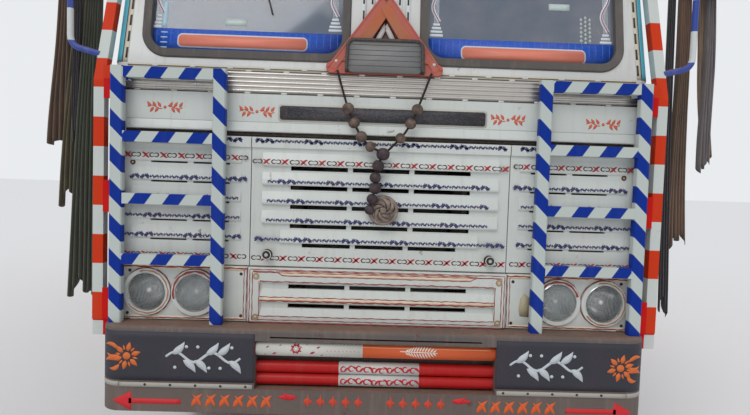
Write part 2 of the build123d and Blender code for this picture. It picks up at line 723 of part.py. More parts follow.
def windscreens():
    middle = -CAB_WALL / 2
    pane = screen_slab(SEAL_WIDTH + FIT_GAP, middle - GLASS_THICK / 2, middle + GLASS_THICK / 2)
    back_y = FRONT_Y + CAB_FACE + CAB_DEPTH - CAB_WALL / 2
    rear = block(
        (-REAR_WINDOW_HALF + FIT_GAP, REAR_WINDOW_HALF - FIT_GAP),
        (back_y - 3, back_y + 3),
        (REAR_WINDOW_Z[0] + FIT_GAP, REAR_WINDOW_Z[1] - FIT_GAP),
    )
    return node(pane, twin(pane), rear)


def windscreen_seals():
    low = -CAB_WALL - SEAL_PROUD
    seal = screen_slab(FIT_GAP, low, SEAL_PROUD) - screen_slab(SEAL_WIDTH, low - 1, SEAL_PROUD + 1)
    front_edges = seal.faces().sort_by(Axis.Y)[0].edges()
    seal = chamfer(front_edges, 5)
    return node(seal, twin(seal))


REAR_WINDOW_HALF = 480
REAR_WINDOW_Z = (2080, 2480)


def cab_openings():
    """Everything that is cut through the cab's front wall."""
    cuts = screen_slab(0, -CAB_WALL - 60, 60)
    cuts = cuts + twin(cuts)
    wall_y = behind(CAB_FACE - 20, CAB_FACE + CAB_WALL + 20)
    cuts += block((-540, 540), wall_y, (FLAP_BOTTOM + 36, FLAP_TOP - 44))
    cuts += block((-540, 540), wall_y, (LAMP_PANEL_BOTTOM + 30, LAMP_PANEL_TOP - 34))
    for lamp_x in LAMP_X:
        for side in (-1, 1):
            start = (side * lamp_x, wall_y[0], LAMP_Z)
            cuts += rod(start, (side * lamp_x, wall_y[1], LAMP_Z), LAMP_FLANGE_RADIUS + 2)
    slots = side_louvre_slots()
    return cuts + slots + twin(slots)


def cab_front(shell):
    """The front wall with its pillars and corner returns, and the cab halves of the hinges."""
    front = shell & block(ALL_ACROSS, behind(0, CAB_SPLIT_FRONT), (BELOW_SKIRT, CAB_SPLIT_ROOF))
    return front - cab_openings()


def door_prism(gap, x):
    """The door's opening, shrunk by a gap."""
    return block(
        x, behind(DOOR_FRONT + gap, DOOR_REAR - gap), (DOOR_BOTTOM + gap, DOOR_TOP - gap)
    )


def hinge_leaf(low, way):
    """A hinge barrel with its leaf: way 1 lies on the door, way -1 on the pillar."""
    axis_y = FRONT_Y + DOOR_FRONT - 4
    barrel = rod((DOOR_HINGE_X, axis_y, low), (DOOR_HINGE_X, axis_y, low + 34), HINGE_RADIUS)
    pin_radius = 5 + (SHAFT_GAP if way > 0 else 0)
    pin_end = low + (35 if way > 0 else 72)
    pin_start = low - (1 if way > 0 else 0)
    pin = rod((DOOR_HINGE_X, axis_y, pin_start), (DOOR_HINGE_X, axis_y, pin_end), pin_radius)
    skin = HALF_CAB
    near, far = (14, 56) if way > 0 else (-52, -9)
    leaf = block((skin, skin + 6), (axis_y + near, axis_y + far), (low, low + 34))
    arm_y = sorted((axis_y, axis_y + near + way * 4))
    arm = block((skin + 4, skin + 12), arm_y, (low + 2, low + 32))
    piece = barrel + leaf + arm
    return piece - pin if way > 0 else piece + pin


HINGE_HEIGHTS = (1330, 1880)


def cab_sides(shell):
    """Both side walls round the doors, with steps below."""
    half = (0, ALL_ACROSS[1])
    side = shell & block(half, behind(CAB_SPLIT_FRONT, CAB_SPLIT_REAR), (BELOW_SKIRT, CAB_SPLIT_ROOF))
    side -= door_prism(0, AT_SIDE)
    side -= block(AT_SIDE, behind(*QUARTER_WINDOW[0]), QUARTER_WINDOW[1])
    side -= block(AT_SIDE, behind(*STEP_WELL[0]), STEP_WELL[1])
    for height in HINGE_HEIGHTS:
        side += hinge_leaf(height, -1)
    for tread_z in STEP_HEIGHTS:
        side += block(STEP_X, behind(462, SKIRT_REAR - 6), (tread_z, tread_z + STEP_THICK))
    step_z = (STEP_HEIGHTS[0], CAB_FLOOR_Z - FIT_GAP)
    side += block((STEP_X[0], STEP_X[0] + STEP_THICK), behind(462, SKIRT_REAR - 6), step_z)
    side += block(STEP_X, behind(440, 464), step_z)
    return node(side, twin(side))


def cab_back(shell):
    back = shell & block(ALL_ACROSS, behind(CAB_SPLIT_REAR, CAB_END), (BELOW_SKIRT, CAB_SPLIT_ROOF))
    window_y = behind(CAB_SPLIT_REAR - 90, CAB_END)
    return back - block((-REAR_WINDOW_HALF, REAR_WINDOW_HALF), window_y, REAR_WINDOW_Z)


def cab_roof(shell):
    return shell & block(ALL_ACROSS, behind(0, CAB_END), (CAB_SPLIT_ROOF + FIT_GAP, CAB_ROOF_Z + 10))


HUMP_HALF = 400
HUMP_TOP = 1560
HUMP_REAR = 1700
HUMP_WALL = 24


def cab_floor():
    """The cab floor with the engine cover that stands up between the seats."""
    inside = HALF_CAB - CAB_WALL
    floor = block(
        (-inside, inside),
        behind(CAB_FACE + CAB_WALL, CAB_FACE + CAB_DEPTH - CAB_WALL),
        (CAB_FLOOR_Z, CAB_FLOOR_Z + CAB_FLOOR_THICK),
    )
    corner = CAB_CORNER - CAB_WALL
    floor = fillet(floor.edges().filter_by(Axis.Z), corner)
    front = CAB_FACE + CAB_WALL
    hump = block((-HUMP_HALF, HUMP_HALF), behind(front, HUMP_REAR), (CAB_FLOOR_Z, HUMP_TOP))
    hump = chamfer(hump.edges().filter_by(Axis.Y).group_by(Axis.Z)[-1], 50)
    hollow = block(
        (-HUMP_HALF + HUMP_WALL, HUMP_HALF - HUMP_WALL),
        behind(front - 5, HUMP_REAR - HUMP_WALL),
        (CAB_FLOOR_Z - 5, HUMP_TOP - HUMP_WALL),
    )
    hollow = chamfer(hollow.edges().filter_by(Axis.Y).group_by(Axis.Z)[-1], 40)
    return floor + hump - hollow


def door(shell):
    """The left door: a slab of the cab's wall with its window cut, hinges and a handle."""
    panel = shell & door_prism(DOOR_GAP, AT_SIDE)
    panel -= door_window(0, AT_SIDE)
    for height in HINGE_HEIGHTS:
        panel += hinge_leaf(height + 36, 1)
    skin = HALF_CAB
    panel += block((skin - 2, skin + 30), behind(1130, 1146), (1720, 1750))
    panel += block((skin - 2, skin + 30), behind(1216, 1232), (1720, 1750))
    return panel + block((skin + 20, skin + 34), behind(1126, 1236), (1722, 1748))


def door_window(gap, x):
    return block(
        x,
        behind(DOOR_FRONT + DOOR_FRAME + gap, DOOR_REAR - DOOR_FRAME - gap),
        (DOOR_WINDOW_SILL + gap, DOOR_TOP - DOOR_FRAME - gap),
    )


def door_glass():
    """The left door's pane, which leans in with the wall."""
    middle = CAB_WALL / 2
    top = CAB_ROOF_Z
    slab = cab_volume(middle - 3, CAB_SKIRT_Z, top) - cab_volume(middle + 3, CAB_SKIRT_Z - 10, top + 1)
    return slab & door_window(FIT_GAP, AT_SIDE)


# Face of the cab


def hood_rows(x, rows, lip):
    """Louvre hoods: each slopes out to a lip just above its slot."""
    face = CAB_FACE - PANEL_THICK
    hoods = None
    for slot_z in rows:
        lip_z = slot_z + SLOT_HEIGHT / 2
        points = [
            (FRONT_Y + face + 1, lip_z),
            (FRONT_Y + face - lip + 3, lip_z),
            (FRONT_Y + face - lip, lip_z + 7),
            (FRONT_Y + face - lip * 0.75, lip_z + 24),
            (FRONT_Y + face, lip_z + HOOD_HEIGHT),
            (FRONT_Y + face + 1, lip_z + HOOD_HEIGHT),
        ]
        hood = side_profile(points, x)
        hoods = hood if hoods is None else hoods + hood
    return hoods


def slot_cuts(x, bars, rows, height, bar_wide=SLOT_BAR):
    """Slots through a panel and the wall behind it, each row split by upright bars."""
    count = bars + 1
    wide = (x[1] - x[0] - bars * bar_wide) / count
    cuts = None
    for slot_z in rows:
        for place in range(count):
            low = x[0] + place * (wide + bar_wide)
            y = behind(CAB_FACE - PANEL_THICK - 60, CAB_FACE + CAB_WALL + 20)
            z = (slot_z - height / 2, slot_z + height / 2)
            cut = block((low, low + wide), y, z)
            cuts = cut if cuts is None else cuts + cut
    return cuts


def louvre_rows(first):
    """The heights of the five louvre rows, from the lowest."""
    return [first + LOUVRE_PITCH * count for count in range(LOUVRE_ROWS)]


def top_lip(x):
    """The raised band along the top of the flap and of the side panels."""
    face = CAB_FACE - PANEL_THICK
    return block(x, behind(face - TOP_LIP_PROUD, face + 1), (FLAP_TOP - TOP_LIP_TALL, FLAP_TOP))


def side_louvre_slots():
    """The thin slots just under the hoods of the left side panel."""
    rise = (SLOT_HEIGHT - SIDE_SLOT_HEIGHT) / 2
    rows = [z + rise for z in louvre_rows(FLAP_FIRST_SLOT + SIDE_SLOT_RISE)]
    return slot_cuts(SIDE_SLOT_X, 1, rows, SIDE_SLOT_HEIGHT, SIDE_SLOT_BAR)


def grille_flap():
    """The lift-up flap in the middle of the face, with five rows of louvres."""
    face = CAB_FACE - PANEL_THICK
    plate = block(
        (-FLAP_HALF_WIDTH, FLAP_HALF_WIDTH),
        behind(face, CAB_FACE - 3),
        (FLAP_BOTTOM, FLAP_TOP),
    )
    rows = louvre_rows(FLAP_FIRST_SLOT)
    plate -= slot_cuts((-SLOT_HALF_SPAN, SLOT_HALF_SPAN), 2, rows[1:], SLOT_HEIGHT)
    plate -= slot_cuts((-LOW_SLOT_HALF_SPAN, LOW_SLOT_HALF_SPAN), 2, rows[:1], SLOT_HEIGHT)
    plate += hood_rows((-HOOD_HALF, HOOD_HALF), rows[1:], LIP_PROUD)
    plate += hood_rows((-LOW_HOOD_HALF, LOW_HOOD_HALF), rows[:1], LIP_PROUD)
    plate += top_lip((-FLAP_HALF_WIDTH, FLAP_HALF_WIDTH))
    for side in (-1, 1):
        start = (side * KNOB[0], FRONT_Y + face + 2, KNOB[1])
        plate += rod(start, (side * KNOB[0], FRONT_Y + face - KNOB_PROUD, KNOB[1]), KNOB_RADIUS)
        pin_y = FRONT_Y + FLAP_PIN[0]
        bore = ((side * 546, pin_y, FLAP_PIN[1]), (side * (FLAP_HALF_WIDTH + 1), pin_y, FLAP_PIN[1]))
        plate -= rod(*bore, FLAP_PIN_RADIUS + SHAFT_GAP)
    return plate


def lower_grille(half):
    """The fixed grille under the flap: a thick panel with two troughs that slope out below their slots."""
    back = FRONT_Y + CAB_FACE - PANEL_THICK
    front = back - LOWER_GRILLE_PROUD
    panel = block((-half, half), (front, FRONT_Y + CAB_FACE), (LAMP_PANEL_BOTTOM, LAMP_PANEL_TOP))
    panel = fillet(panel.faces().sort_by(Axis.Y)[0].edges(), 5)
    for slot_z in LOWER_GRILLE_SLOTS:
        points = [
            (front - 1, slot_z + TROUGH_ABOVE),
            (back, slot_z + TROUGH_ABOVE - 3),
            (back, slot_z - SLOT_HEIGHT / 2 - 2),
            (front, slot_z - TROUGH_BELOW),
            (front - 1, slot_z - TROUGH_BELOW),
        ]
        panel -= side_profile(points, (-TROUGH_HALF, TROUGH_HALF))
    return panel - slot_cuts((-SLOT_HALF_SPAN, SLOT_HALF_SPAN), 2, LOWER_GRILLE_SLOTS, SLOT_HEIGHT)


def face_panels():
    """The belt, the lower grille, the two side louvres and the two lamp panels."""
    face = CAB_FACE - PANEL_THICK
    belt_points = [
        (FRONT_Y + CAB_FACE, BELT_BOTTOM),
        (FRONT_Y + face - 8, BELT_BOTTOM),
        (FRONT_Y + face - 8, BELT_BOTTOM + 6),
        (FRONT_Y + face, BELT_CREASE),
        (FRONT_Y + face, BELT_TOP),
        (FRONT_Y + CAB_FACE, BELT_TOP),
    ]
    belt = side_profile(belt_points, (-FACE_HALF_WIDTH, FACE_HALF_WIDTH))
    grille_half = FLAP_HALF_WIDTH + 6
    lower = lower_grille(grille_half)
    inner = FLAP_HALF_WIDTH + PANEL_SEAM
    side = block((inner, FACE_HALF_WIDTH), behind(face, CAB_FACE), (FLAP_BOTTOM, FLAP_TOP))
    rows = louvre_rows(FLAP_FIRST_SLOT + SIDE_SLOT_RISE)
    side -= side_louvre_slots()
    side += hood_rows((inner + 42, FACE_HALF_WIDTH - 40), rows, SIDE_LIP_PROUD)
    side += top_lip((inner, FACE_HALF_WIDTH))
    pin_y = FRONT_Y + FLAP_PIN[0]
    side += rod((550, pin_y, FLAP_PIN[1]), (inner + 12, pin_y, FLAP_PIN[1]), FLAP_PIN_RADIUS)
    inner = grille_half + PANEL_SEAM
    lamps = block((inner, FACE_HALF_WIDTH), behind(face, CAB_FACE), (LAMP_PANEL_BOTTOM, LAMP_PANEL_TOP))
    for lamp_x in LAMP_X:
        back = (lamp_x, FRONT_Y + CAB_FACE + 1, LAMP_Z)
        bezel_front = FRONT_Y + face - BEZEL_PROUD
        lamps += rod((lamp_x, FRONT_Y + face + 1, LAMP_Z), (lamp_x, bezel_front, LAMP_Z), BEZEL_RADIUS)
        lamps -= rod(back, (lamp_x, FRONT_Y + face - 60, LAMP_Z), LENS_RADIUS + 2)
    return node(belt, lower, side, twin(side), lamps, twin(lamps))


def headlamps():
    """Four round lamps: a domed lens, a rim flange and a bowl behind."""
    lamps = []
    for lamp_x in LAMP_X:
        centre = (lamp_x, FRONT_Y + CAB_FACE, LAMP_Z)
        about = Plane(origin=centre, x_dir=(1, 0, 0), z_dir=(0, 0, 1))
        front = -(PANEL_THICK + 2)
        edges = [
            ThreePointArc((0, front - 13), (LENS_RADIUS * 0.55, front - 9), (LENS_RADIUS, front)),
            Line((LENS_RADIUS, front), (LENS_RADIUS, FIT_GAP)),
            Line((LENS_RADIUS, FIT_GAP), (LAMP_FLANGE_RADIUS, FIT_GAP)),
            Line((LAMP_FLANGE_RADIUS, FIT_GAP), (LAMP_FLANGE_RADIUS, 14)),
            ThreePointArc((LAMP_FLANGE_RADIUS, 14), (72, 66), (32, 84)),
            Line((32, 84), (0, 84)),
            Line((0, 84), (0, front - 13)),
        ]
        lamp = revolve(about * make_face(edges), Axis(centre, (0, 1, 0)))
        lamps += [lamp, twin(lamp)]
    return node(*lamps)


def fluted_trim():
    """The bright band under the windscreens, with round flutes between two slotted lips."""
    base = block(
        (-FACE_HALF_WIDTH, FACE_HALF_WIDTH),
        behind(CAB_FACE - 8, CAB_FACE),
        (BELT_TOP + 2, BELT_TOP + 2 + FLUTE_PITCH * (FLUTE_COUNT + 0.4)),
    )
    for count in range(FLUTE_COUNT):
        z = BELT_TOP + 2 + FLUTE_PITCH * (count + 0.7)
        y = FRONT_Y + CAB_FACE - 7
        base += rod((-FACE_HALF_WIDTH, y, z), (FACE_HALF_WIDTH, y, z), 6)
    return base


def front_bumper():
    """A pressed bumper that wraps round the corners, with a ledge and a recess for the tubes."""
    z = (BUMPER_BOTTOM, BUMPER_TOP)
    half = BUMPER_HALF_WIDTH

    def plan(inset, low, high):
        bar = block((-half + inset, half - inset), behind(inset, BUMPER_RETURN), (low, high))
        corners = bar.edges().filter_by(Axis.Z).group_by(Axis.Y)[0]
        return fillet(corners, BUMPER_CORNER - inset)

    outer = plan(0, *z)
    top_edges = outer.faces().sort_by(Axis.Z)[-1].edges()
    top_edges = [e for e in top_edges if e.center().Y < FRONT_Y + BUMPER_RETURN - 1]
    outer = fillet(top_edges, 19)
    bumper = outer - plan(BUMPER_WALL, z[0] - 5, z[1] - BUMPER_WALL)
    bumper -= block((-half - 5, half + 5), behind(BUMPER_LEDGE, BUMPER_RETURN + 5), (z[1] - 30, z[1] + 5))
    bumper -= block((-half + 40, half - 40), behind(BUMPER_LEDGE, BUMPER_RETURN + 5), (z[0] - 5, z[1] + 5))
    recess = block(
        (-RECESS_HALF_WIDTH, RECESS_HALF_WIDTH), behind(-5, RECESS_DEEP + BUMPER_WALL), RECESS_Z
    )
    inner = block(
        (-RECESS_HALF_WIDTH + BUMPER_WALL, RECESS_HALF_WIDTH - BUMPER_WALL),
        behind(-6, RECESS_DEEP),
        (RECESS_Z[0] + BUMPER_WALL, RECESS_Z[1] - BUMPER_WALL),
    )
    tray = (recess - inner) & block((-half, half), behind(0, 200), z)
    bumper = bumper - inner + tray
    bumper -= block((-LIP_SLOT_HALF, LIP_SLOT_HALF), behind(-1, BUMPER_WALL + 10), LIP_SLOT_Z)
    for side in (-1, 1):
        x = sorted((side * RECESS_HALF_WIDTH, side * (half - BUMPER_CORNER)))
        bumper += block(x, behind(-STRIP_PROUD, 1), STRIP_Z)
    return bumper


def bumper_tubes():
    """Three round tubes across the recess."""
    tubes = []
    reach = RECESS_HALF_WIDTH - BUMPER_WALL - FIT_GAP
    for z, radius, deep in TUBE_ROWS:
        y = FRONT_Y + deep + radius
        tubes.append(rod((-reach, y, z), (reach, y, z), radius))
    return node(*tubes)


def ladder_frames():
    """A ladder on each side of the face, from the bumper ledge to the windscreens."""
    y = behind(POST_FRONT, POST_FRONT + POST_DEEP)
    ladder = None
    for post_x in LADDER_POST_X:
        post = block((post_x - POST_WIDE / 2, post_x + POST_WIDE / 2), y, (BUMPER_TOP, LADDER_TOP))
        post = chamfer(post.edges().filter_by(Axis.Z), 5)
        ladder = post if ladder is None else ladder + post
    inner, outer = LADDER_POST_X
    for z in RUNG_HEIGHTS:
        rung_y = (y[0] + 2, y[1] - 2)
        ladder += block((inner, outer), rung_y, (z - RUNG_TALL / 2, z + RUNG_TALL / 2))
    for post_x in LADDER_POST_X:
        stub_x = min(post_x, FACE_HALF_WIDTH - 20)
        stay_y = (y[1] - 4, FRONT_Y + CAB_FACE - 13 - FIT_GAP)
        ladder += block((stub_x - 14, stub_x + 14), stay_y, (1925, 1957))
    return node(ladder, twin(ladder))


def marker_pole():
    """The left square pole, bent back to the roof, with plates to the ladder."""
    x = (POLE_X - POLE_SIZE / 2, POLE_X + POLE_SIZE / 2)
    y = behind(POLE_FRONT, POLE_FRONT + POLE_SIZE)
    pole = block(x, y, (BUMPER_TOP + 2, POLE_BEND_Z))
    section = Rectangle(POLE_SIZE, POLE_SIZE)
    foot = Pos(POLE_X, FRONT_Y + POLE_FRONT + POLE_SIZE / 2, POLE_BEND_Z)
    end_x, end_deep, end_z = POLE_END
    top = Pos(end_x + POLE_SIZE / 2, FRONT_Y + end_deep - POLE_SIZE, end_z)
    pole += loft([foot * section, top * section])
    post_edge = LADDER_POST_X[1] + POST_WIDE / 2
    plate_y = behind(POST_FRONT + POST_DEEP + FIT_GAP, POLE_FRONT + 8)
    for z in PLATE_HEIGHTS:
        plate = block((post_edge - 12, x[0] + 2), plate_y, (z - PLATE_TALL / 2, z + PLATE_TALL / 2))
        pole += plate
    start = (POLE_X - 32, FRONT_Y + 268, ROLL_BAR_Z)
    pole += rod(start, (POLE_X + ROLL_BAR_REACH, FRONT_Y + 286, ROLL_BAR_Z), 14)
    foot_y = behind(BUMPER_CORNER + 3, POLE_FRONT + POLE_SIZE)
    return pole + block((BUMPER_HALF_WIDTH, x[1]), foot_y, (800, BUMPER_TOP + 3))


def mirrors(pole):
    """A mirror on a bent tube arm, out from the pole on each side."""
    points = [(POLE_X + out, FRONT_Y + deep, z) for out, deep, z in MIRROR_ARM]
    line = FilletPolyline(*points, radius=60)
    start = Plane(origin=line @ 0, z_dir=line % 0)
    arm = sweep(start * Circle(MIRROR_ARM_RADIUS), path=line)
    arm_x = POLE_X + MIRROR_ARM[2][0]
    head = block((arm_x - 15, arm_x + 210), behind(186, 226), MIRROR_HEAD_Z)
    head = fillet(head.edges().filter_by(Axis.Y), 40)
    clamp_z = MIRROR_HEAD_Z[0] + 130
    clamp = block((arm_x - 14, arm_x + 14), behind(150, 190), (clamp_z, clamp_z + 50))
    arm = arm + clamp + head - pole
    arm = arm.solids().sort_by(Axis.X)[-1]
    return node(arm, twin(arm))


MIRROR_ARM = ((10, 128, 2040), (152, 150, 2078), (160, 160, 2712), (-28, 262, 2640))
MIRROR_ARM_RADIUS = 14
MIRROR_HEAD_Z = (2445, 2765)


def warning_triangle():
    """A hollow warning triangle on the centre post, with a name plate in front of its foot."""
    plane = screen_plane()
    tall = 372
    half = 240
    outline = make_face(Polyline((-half, -24), (half, -24), (0, tall), close=True))
    arm_wide = 70
    hole = offset(outline, -arm_wide, kind=Kind.INTERSECTION)
    rounded = fillet(outline.vertices(), 16)
    frame = extrude(plane.offset(14) * (rounded - hole), 14)
    for x, y in ((0, 330), (-120, 30), (120, 30)):
        stay = Pos(x, y) * Rectangle(30, 30)
        frame += extrude(plane.offset(FIT_GAP) * stay, 15)
    plate_low = -22
    plate_tall = 150
    plate = Pos(0, plate_low + plate_tall / 2) * RectangleRounded(342, plate_tall, 34)
    board = extrude(plane.offset(28 + FIT_GAP) * plate, 22)
    return node(frame, board)


CROWN_HALF = 980
CROWN_EDGE = 96
CROWN_LOBES = 7


def roof_crown():
    """A scalloped crown board along the front of the roof."""
    base = CAB_ROOF_Z
    pitch = 2 * CROWN_HALF / CROWN_LOBES

    def swell(place):
        return base + CROWN_EDGE + 95 * math.sin(math.pi * place / CROWN_LOBES)

    edges = [
        Line((-CROWN_HALF, base), (CROWN_HALF, base)),
        Line((CROWN_HALF, base), (CROWN_HALF, base + CROWN_EDGE)),
    ]
    for count in range(CROWN_LOBES):
        right = CROWN_HALF - count * pitch
        left = right - pitch
        peak = ((right + left) / 2, swell(count + 0.5) + 40)
        edges.append(ThreePointArc((right, swell(count)), peak, (left, swell(count + 1))))
    edges.append(Line((-CROWN_HALF, base + CROWN_EDGE), (-CROWN_HALF, base)))
    face = make_face(edges)
    stand = Plane(origin=(0, FRONT_Y + 350, 0), x_dir=(1, 0, 0), z_dir=(0, -1, 0))
    board = extrude(stand * face, -26)
    for x in (-700, 0, 700):
        foot = side_profile(
            [(FRONT_Y + 374, base), (FRONT_Y + 540, base), (FRONT_Y + 374, base + 110)], (x - 10, x + 10)
        )
        board += foot
    return board


# Inside the cab


def seats():
    """A driver's seat and a passenger bench on their bases."""
    low = CAB_FLOOR_Z + CAB_FLOOR_THICK
    pieces = []
    for x in ((180 - HALF_CAB, 680 - HALF_CAB), (470, HALF_CAB - 110)):
        base = block((x[0] + 40, x[1] - 40), behind(1080, 1480), (low, low + 240))
        cushion = block(x, behind(1040, 1540), (low + 240, low + 370))
        cushion = fillet(cushion.edges(), 35)
        back = side_profile(
            [
                (FRONT_Y + 1470, low + 300),
                (FRONT_Y + 1570, low + 300),
                (FRONT_Y + 1680, low + 920),
                (FRONT_Y + 1590, low + 920),
            ],
            x,
        )
        back = fillet(back.edges(), 25)
        pieces.append(base + cushion + back)
    return node(*pieces)


def dashboard():
    """A dash shelf across the cab with the steering column."""
    top = 1985
    inside = HALF_CAB - CAB_WALL - 2
    face = FRONT_Y + CAB_FACE + CAB_WALL + FIT_GAP
    points = [(face, 1690), (face + 150, 1700), (face + 260, 1800), (face + 230, top), (face, top)]
    dash = side_profile(points, (-inside + 24, inside - 24))
    column_x = WHEEL_CENTRE[0]
    dash += block((column_x - 110, column_x + 110), behind(400, 590), (1745, 1850))
    return dash + rod(COLUMN_FOOT, COLUMN_HEAD, 26)


WHEEL_TILT = math.radians(32)
WHEEL_CENTRE = (430 - HALF_CAB, FRONT_Y + 690, 1940)
COLUMN_AXIS = (0, math.sin(WHEEL_TILT), math.cos(WHEEL_TILT))
COLUMN_HEAD = tuple(c - 24 * a for c, a in zip(WHEEL_CENTRE, COLUMN_AXIS))
COLUMN_FOOT = tuple(c - 866 * a for c, a in zip(WHEEL_CENTRE, COLUMN_AXIS))


def steering_wheel():
    """A rim on four spokes about its hub, square to the column."""
    plane = Plane(origin=WHEEL_CENTRE, x_dir=(1, 0, 0), z_dir=COLUMN_AXIS)
    rim = plane * Torus(235, 14)
    hub = plane * (Pos(0, 0, -12) * Cylinder(48, 22))
    wheel = rim + hub
    for angle in (20, 160, 200, 340):
        side = math.radians(angle)
        tip = plane.from_local_coords((235 * math.cos(side), 235 * math.sin(side), 0))
        root = plane.from_local_coords((0, 0, -10))
        wheel += rod(tuple(root), tuple(tip), 9)
    return wheel


# Garland


def threaded_row(points, radii):
    """The string along a row of points, and the beads on its inner points, bored to its path."""
    string = None
    for start, end in zip(points[:-1], points[1:]):
        part = rod(start, end, STRING_RADIUS) + Pos(*end) * Sphere(STRING_RADIUS)
        string = part if string is None else string + part
    hole = STRING_RADIUS + FIT_GAP
    beads = []
    for count, radius in enumerate(radii, start=1):
        before = Vector(*points[count - 1])
        here = Vector(*points[count])
        after = Vector(*points[min(count + 1, len(points) - 1)])
        bead = Plane(origin=here, z_dir=after - before) * Sphere(radius)
        bead -= Pos(*here) * Sphere(hole + 2)
        for end in (before, after):
            if (end - here).length > 1:
                way = (end - here).normalized()
                bead -= rod(tuple(here), tuple(here + way * 2 * radius), hole)
        beads.append(bead)
    return string, beads


def garland():
    """Two rows of beads from the triangle's feet to a knot, and a tail that ends at a ring."""
    deep = FRONT_Y + GARLAND_DEEP
    knot_x, knot_z, knot_radius = GARLAND_KNOT
    reach = knot_radius - STRING_RADIUS
    hole = STRING_RADIUS + FIT_GAP
    strings = []
    beads = []
    knot = Pos(knot_x, deep, knot_z) * Sphere(knot_radius)
    for side, row in ((-1, BEADS_RIGHT), (1, BEADS_LEFT)):
        points = [(side * GARLAND_HOOK[0], FRONT_Y + GARLAND_HOOK[1], GARLAND_HOOK[2])]
        points += [(x, deep, z) for x, z, radius in row]
        end = (knot_x + side * 0.8 * reach, deep, knot_z + 0.6 * reach)
        knot -= rod(end, (row[-1][0], deep, row[-1][1]), hole) + Pos(*end) * Sphere(hole)
        points.append(end)
        string, row_beads = threaded_row(points, [bead[2] for bead in row])
        strings.append(string)
        beads += row_beads
    points = []
    x, z, last = GARLAND_KNOT
    for radius, lean in TAIL_BEADS:
        across = math.sin(math.radians(lean))
        down = math.cos(math.radians(lean))
        if not points:
            points.append((x + across * reach, deep, z - down * reach))
        step = last + radius + FIT_GAP
        x, z, last = x + across * step, z - down * step, radius
        points.append((x, deep, z))
    knot -= rod(points[0], points[1], hole) + Pos(*points[0]) * Sphere(hole)
    string, row_beads = threaded_row(points, [radius for radius, lean in TAIL_BEADS])
    strings.append(string)
    beads += row_beads
    beads.append(knot)
    ring_radius, ring_thick = GARLAND_RING
    ring_x = x + last + ring_radius + ring_thick + FIT_GAP
    beads.append(Pos(ring_x, deep, z) * Rot(90, 0, 0) * Torus(ring_radius, ring_thick))
    return strings, beads


GARLAND_DEEP = 62
GARLAND_HOOK = (207, 94.6, 2001)
GARLAND_KNOT = (4, 1640, 29)
GARLAND_RING = (50, 17)
STRING_RADIUS = 5
BEADS_RIGHT = ((-158, 1836, 26), (-128, 1774, 25), (-96, 1714, 25), (-56, 1668, 23))
BEADS_LEFT = ((148, 1836, 25), (120, 1772, 24), (82, 1712, 23))
TAIL_BEADS = ((26, -22), (25, -13), (26, 5), (24, -18), (22, -10))


# Cargo body


def bearer_y(row):
    """The front face of one cross bearer, counted from the cab."""
    return BODY_FRONT_Y + 10 + row * BEARER_PITCH


def body_bearers():
    """Long sills on the rails with cross bearers out to the body sides."""
    frame = block((RAIL_OUT - RAIL_FLANGE, RAIL_OUT), (BODY_FRONT_Y, BODY_REAR_Y), (RAIL_TOP, SILL_TOP))
    frame = frame + twin(frame)
    reach = FLOOR_HALF_WIDTH + SIDE_WALL
    count = int((BODY_REAR_Y - BODY_FRONT_Y - 80) / BEARER_PITCH)
    for row in range(count + 1):
        y = bearer_y(row)
        bar = block((-reach, reach), (y, y + 62), (SILL_TOP - 1, BEARER_TOP))
        bar -= block((-reach - 1, reach + 1), (y + 8, y + 70), (SILL_TOP + 6, BEARER_TOP - 8))
        frame += bar
    rear = (BODY_REAR_Y - 40, BODY_REAR_Y)
    frame += block((-reach, reach), rear, (SILL_TOP - 1, BEARER_TOP))
    for x in GATE_HINGE_X:
        for side in (-1, 1):
            near = x + side * 25
            lug_x = sorted((near, near + side * 10))
            frame += block(lug_x, (BODY_REAR_Y, GATE_HINGE_Y + 12), (SILL_TOP, GATE_HINGE_Z + 14))
        frame += rod((x - 30, GATE_HINGE_Y, GATE_HINGE_Z), (x + 30, GATE_HINGE_Y, GATE_HINGE_Z), 8)
    return frame


def body_floor():
    """The load floor on its bearers."""
    return block((-FLOOR_HALF_WIDTH, FLOOR_HALF_WIDTH), (BODY_FRONT_Y, BODY_REAR_Y), (BEARER_TOP, FLOOR_TOP))


def body_side():
    """The left wall: boards between steel posts, with rails along the top and bottom."""
    x = (FLOOR_HALF_WIDTH, FLOOR_HALF_WIDTH + SIDE_WALL)
    wall = block(x, (BODY_FRONT_Y, BODY_REAR_Y), (BEARER_TOP, SIDE_TOP))
    board_count = 7
    pitch = (SIDE_TOP - BEARER_TOP) / board_count
    for row in range(1, board_count):
        z = BEARER_TOP + row * pitch
        wall -= block((x[1] - 6, x[1] + 1), (BODY_FRONT_Y - 1, BODY_REAR_Y + 1), (z - 5, z + 5))
    outer = x[1] + BODY_POST_PROUD
    posts = 9
    run = BODY_REAR_Y - BODY_FRONT_Y - BODY_POST
    for row in range(posts):
        y = BODY_FRONT_Y + run * row / (posts - 1)
        wall += block((x[1], outer), (y, y + BODY_POST), (BEARER_TOP - 60, SIDE_TOP))
    wall += block((x[0] - 14, outer + 4), (BODY_FRONT_Y, BODY_REAR_Y), (SIDE_TOP - 8, SIDE_TOP + 48))
    wall += block((x[1] - 1, outer), (BODY_FRONT_Y, BODY_REAR_Y), (BEARER_TOP, BEARER_TOP + 70))
    return wall


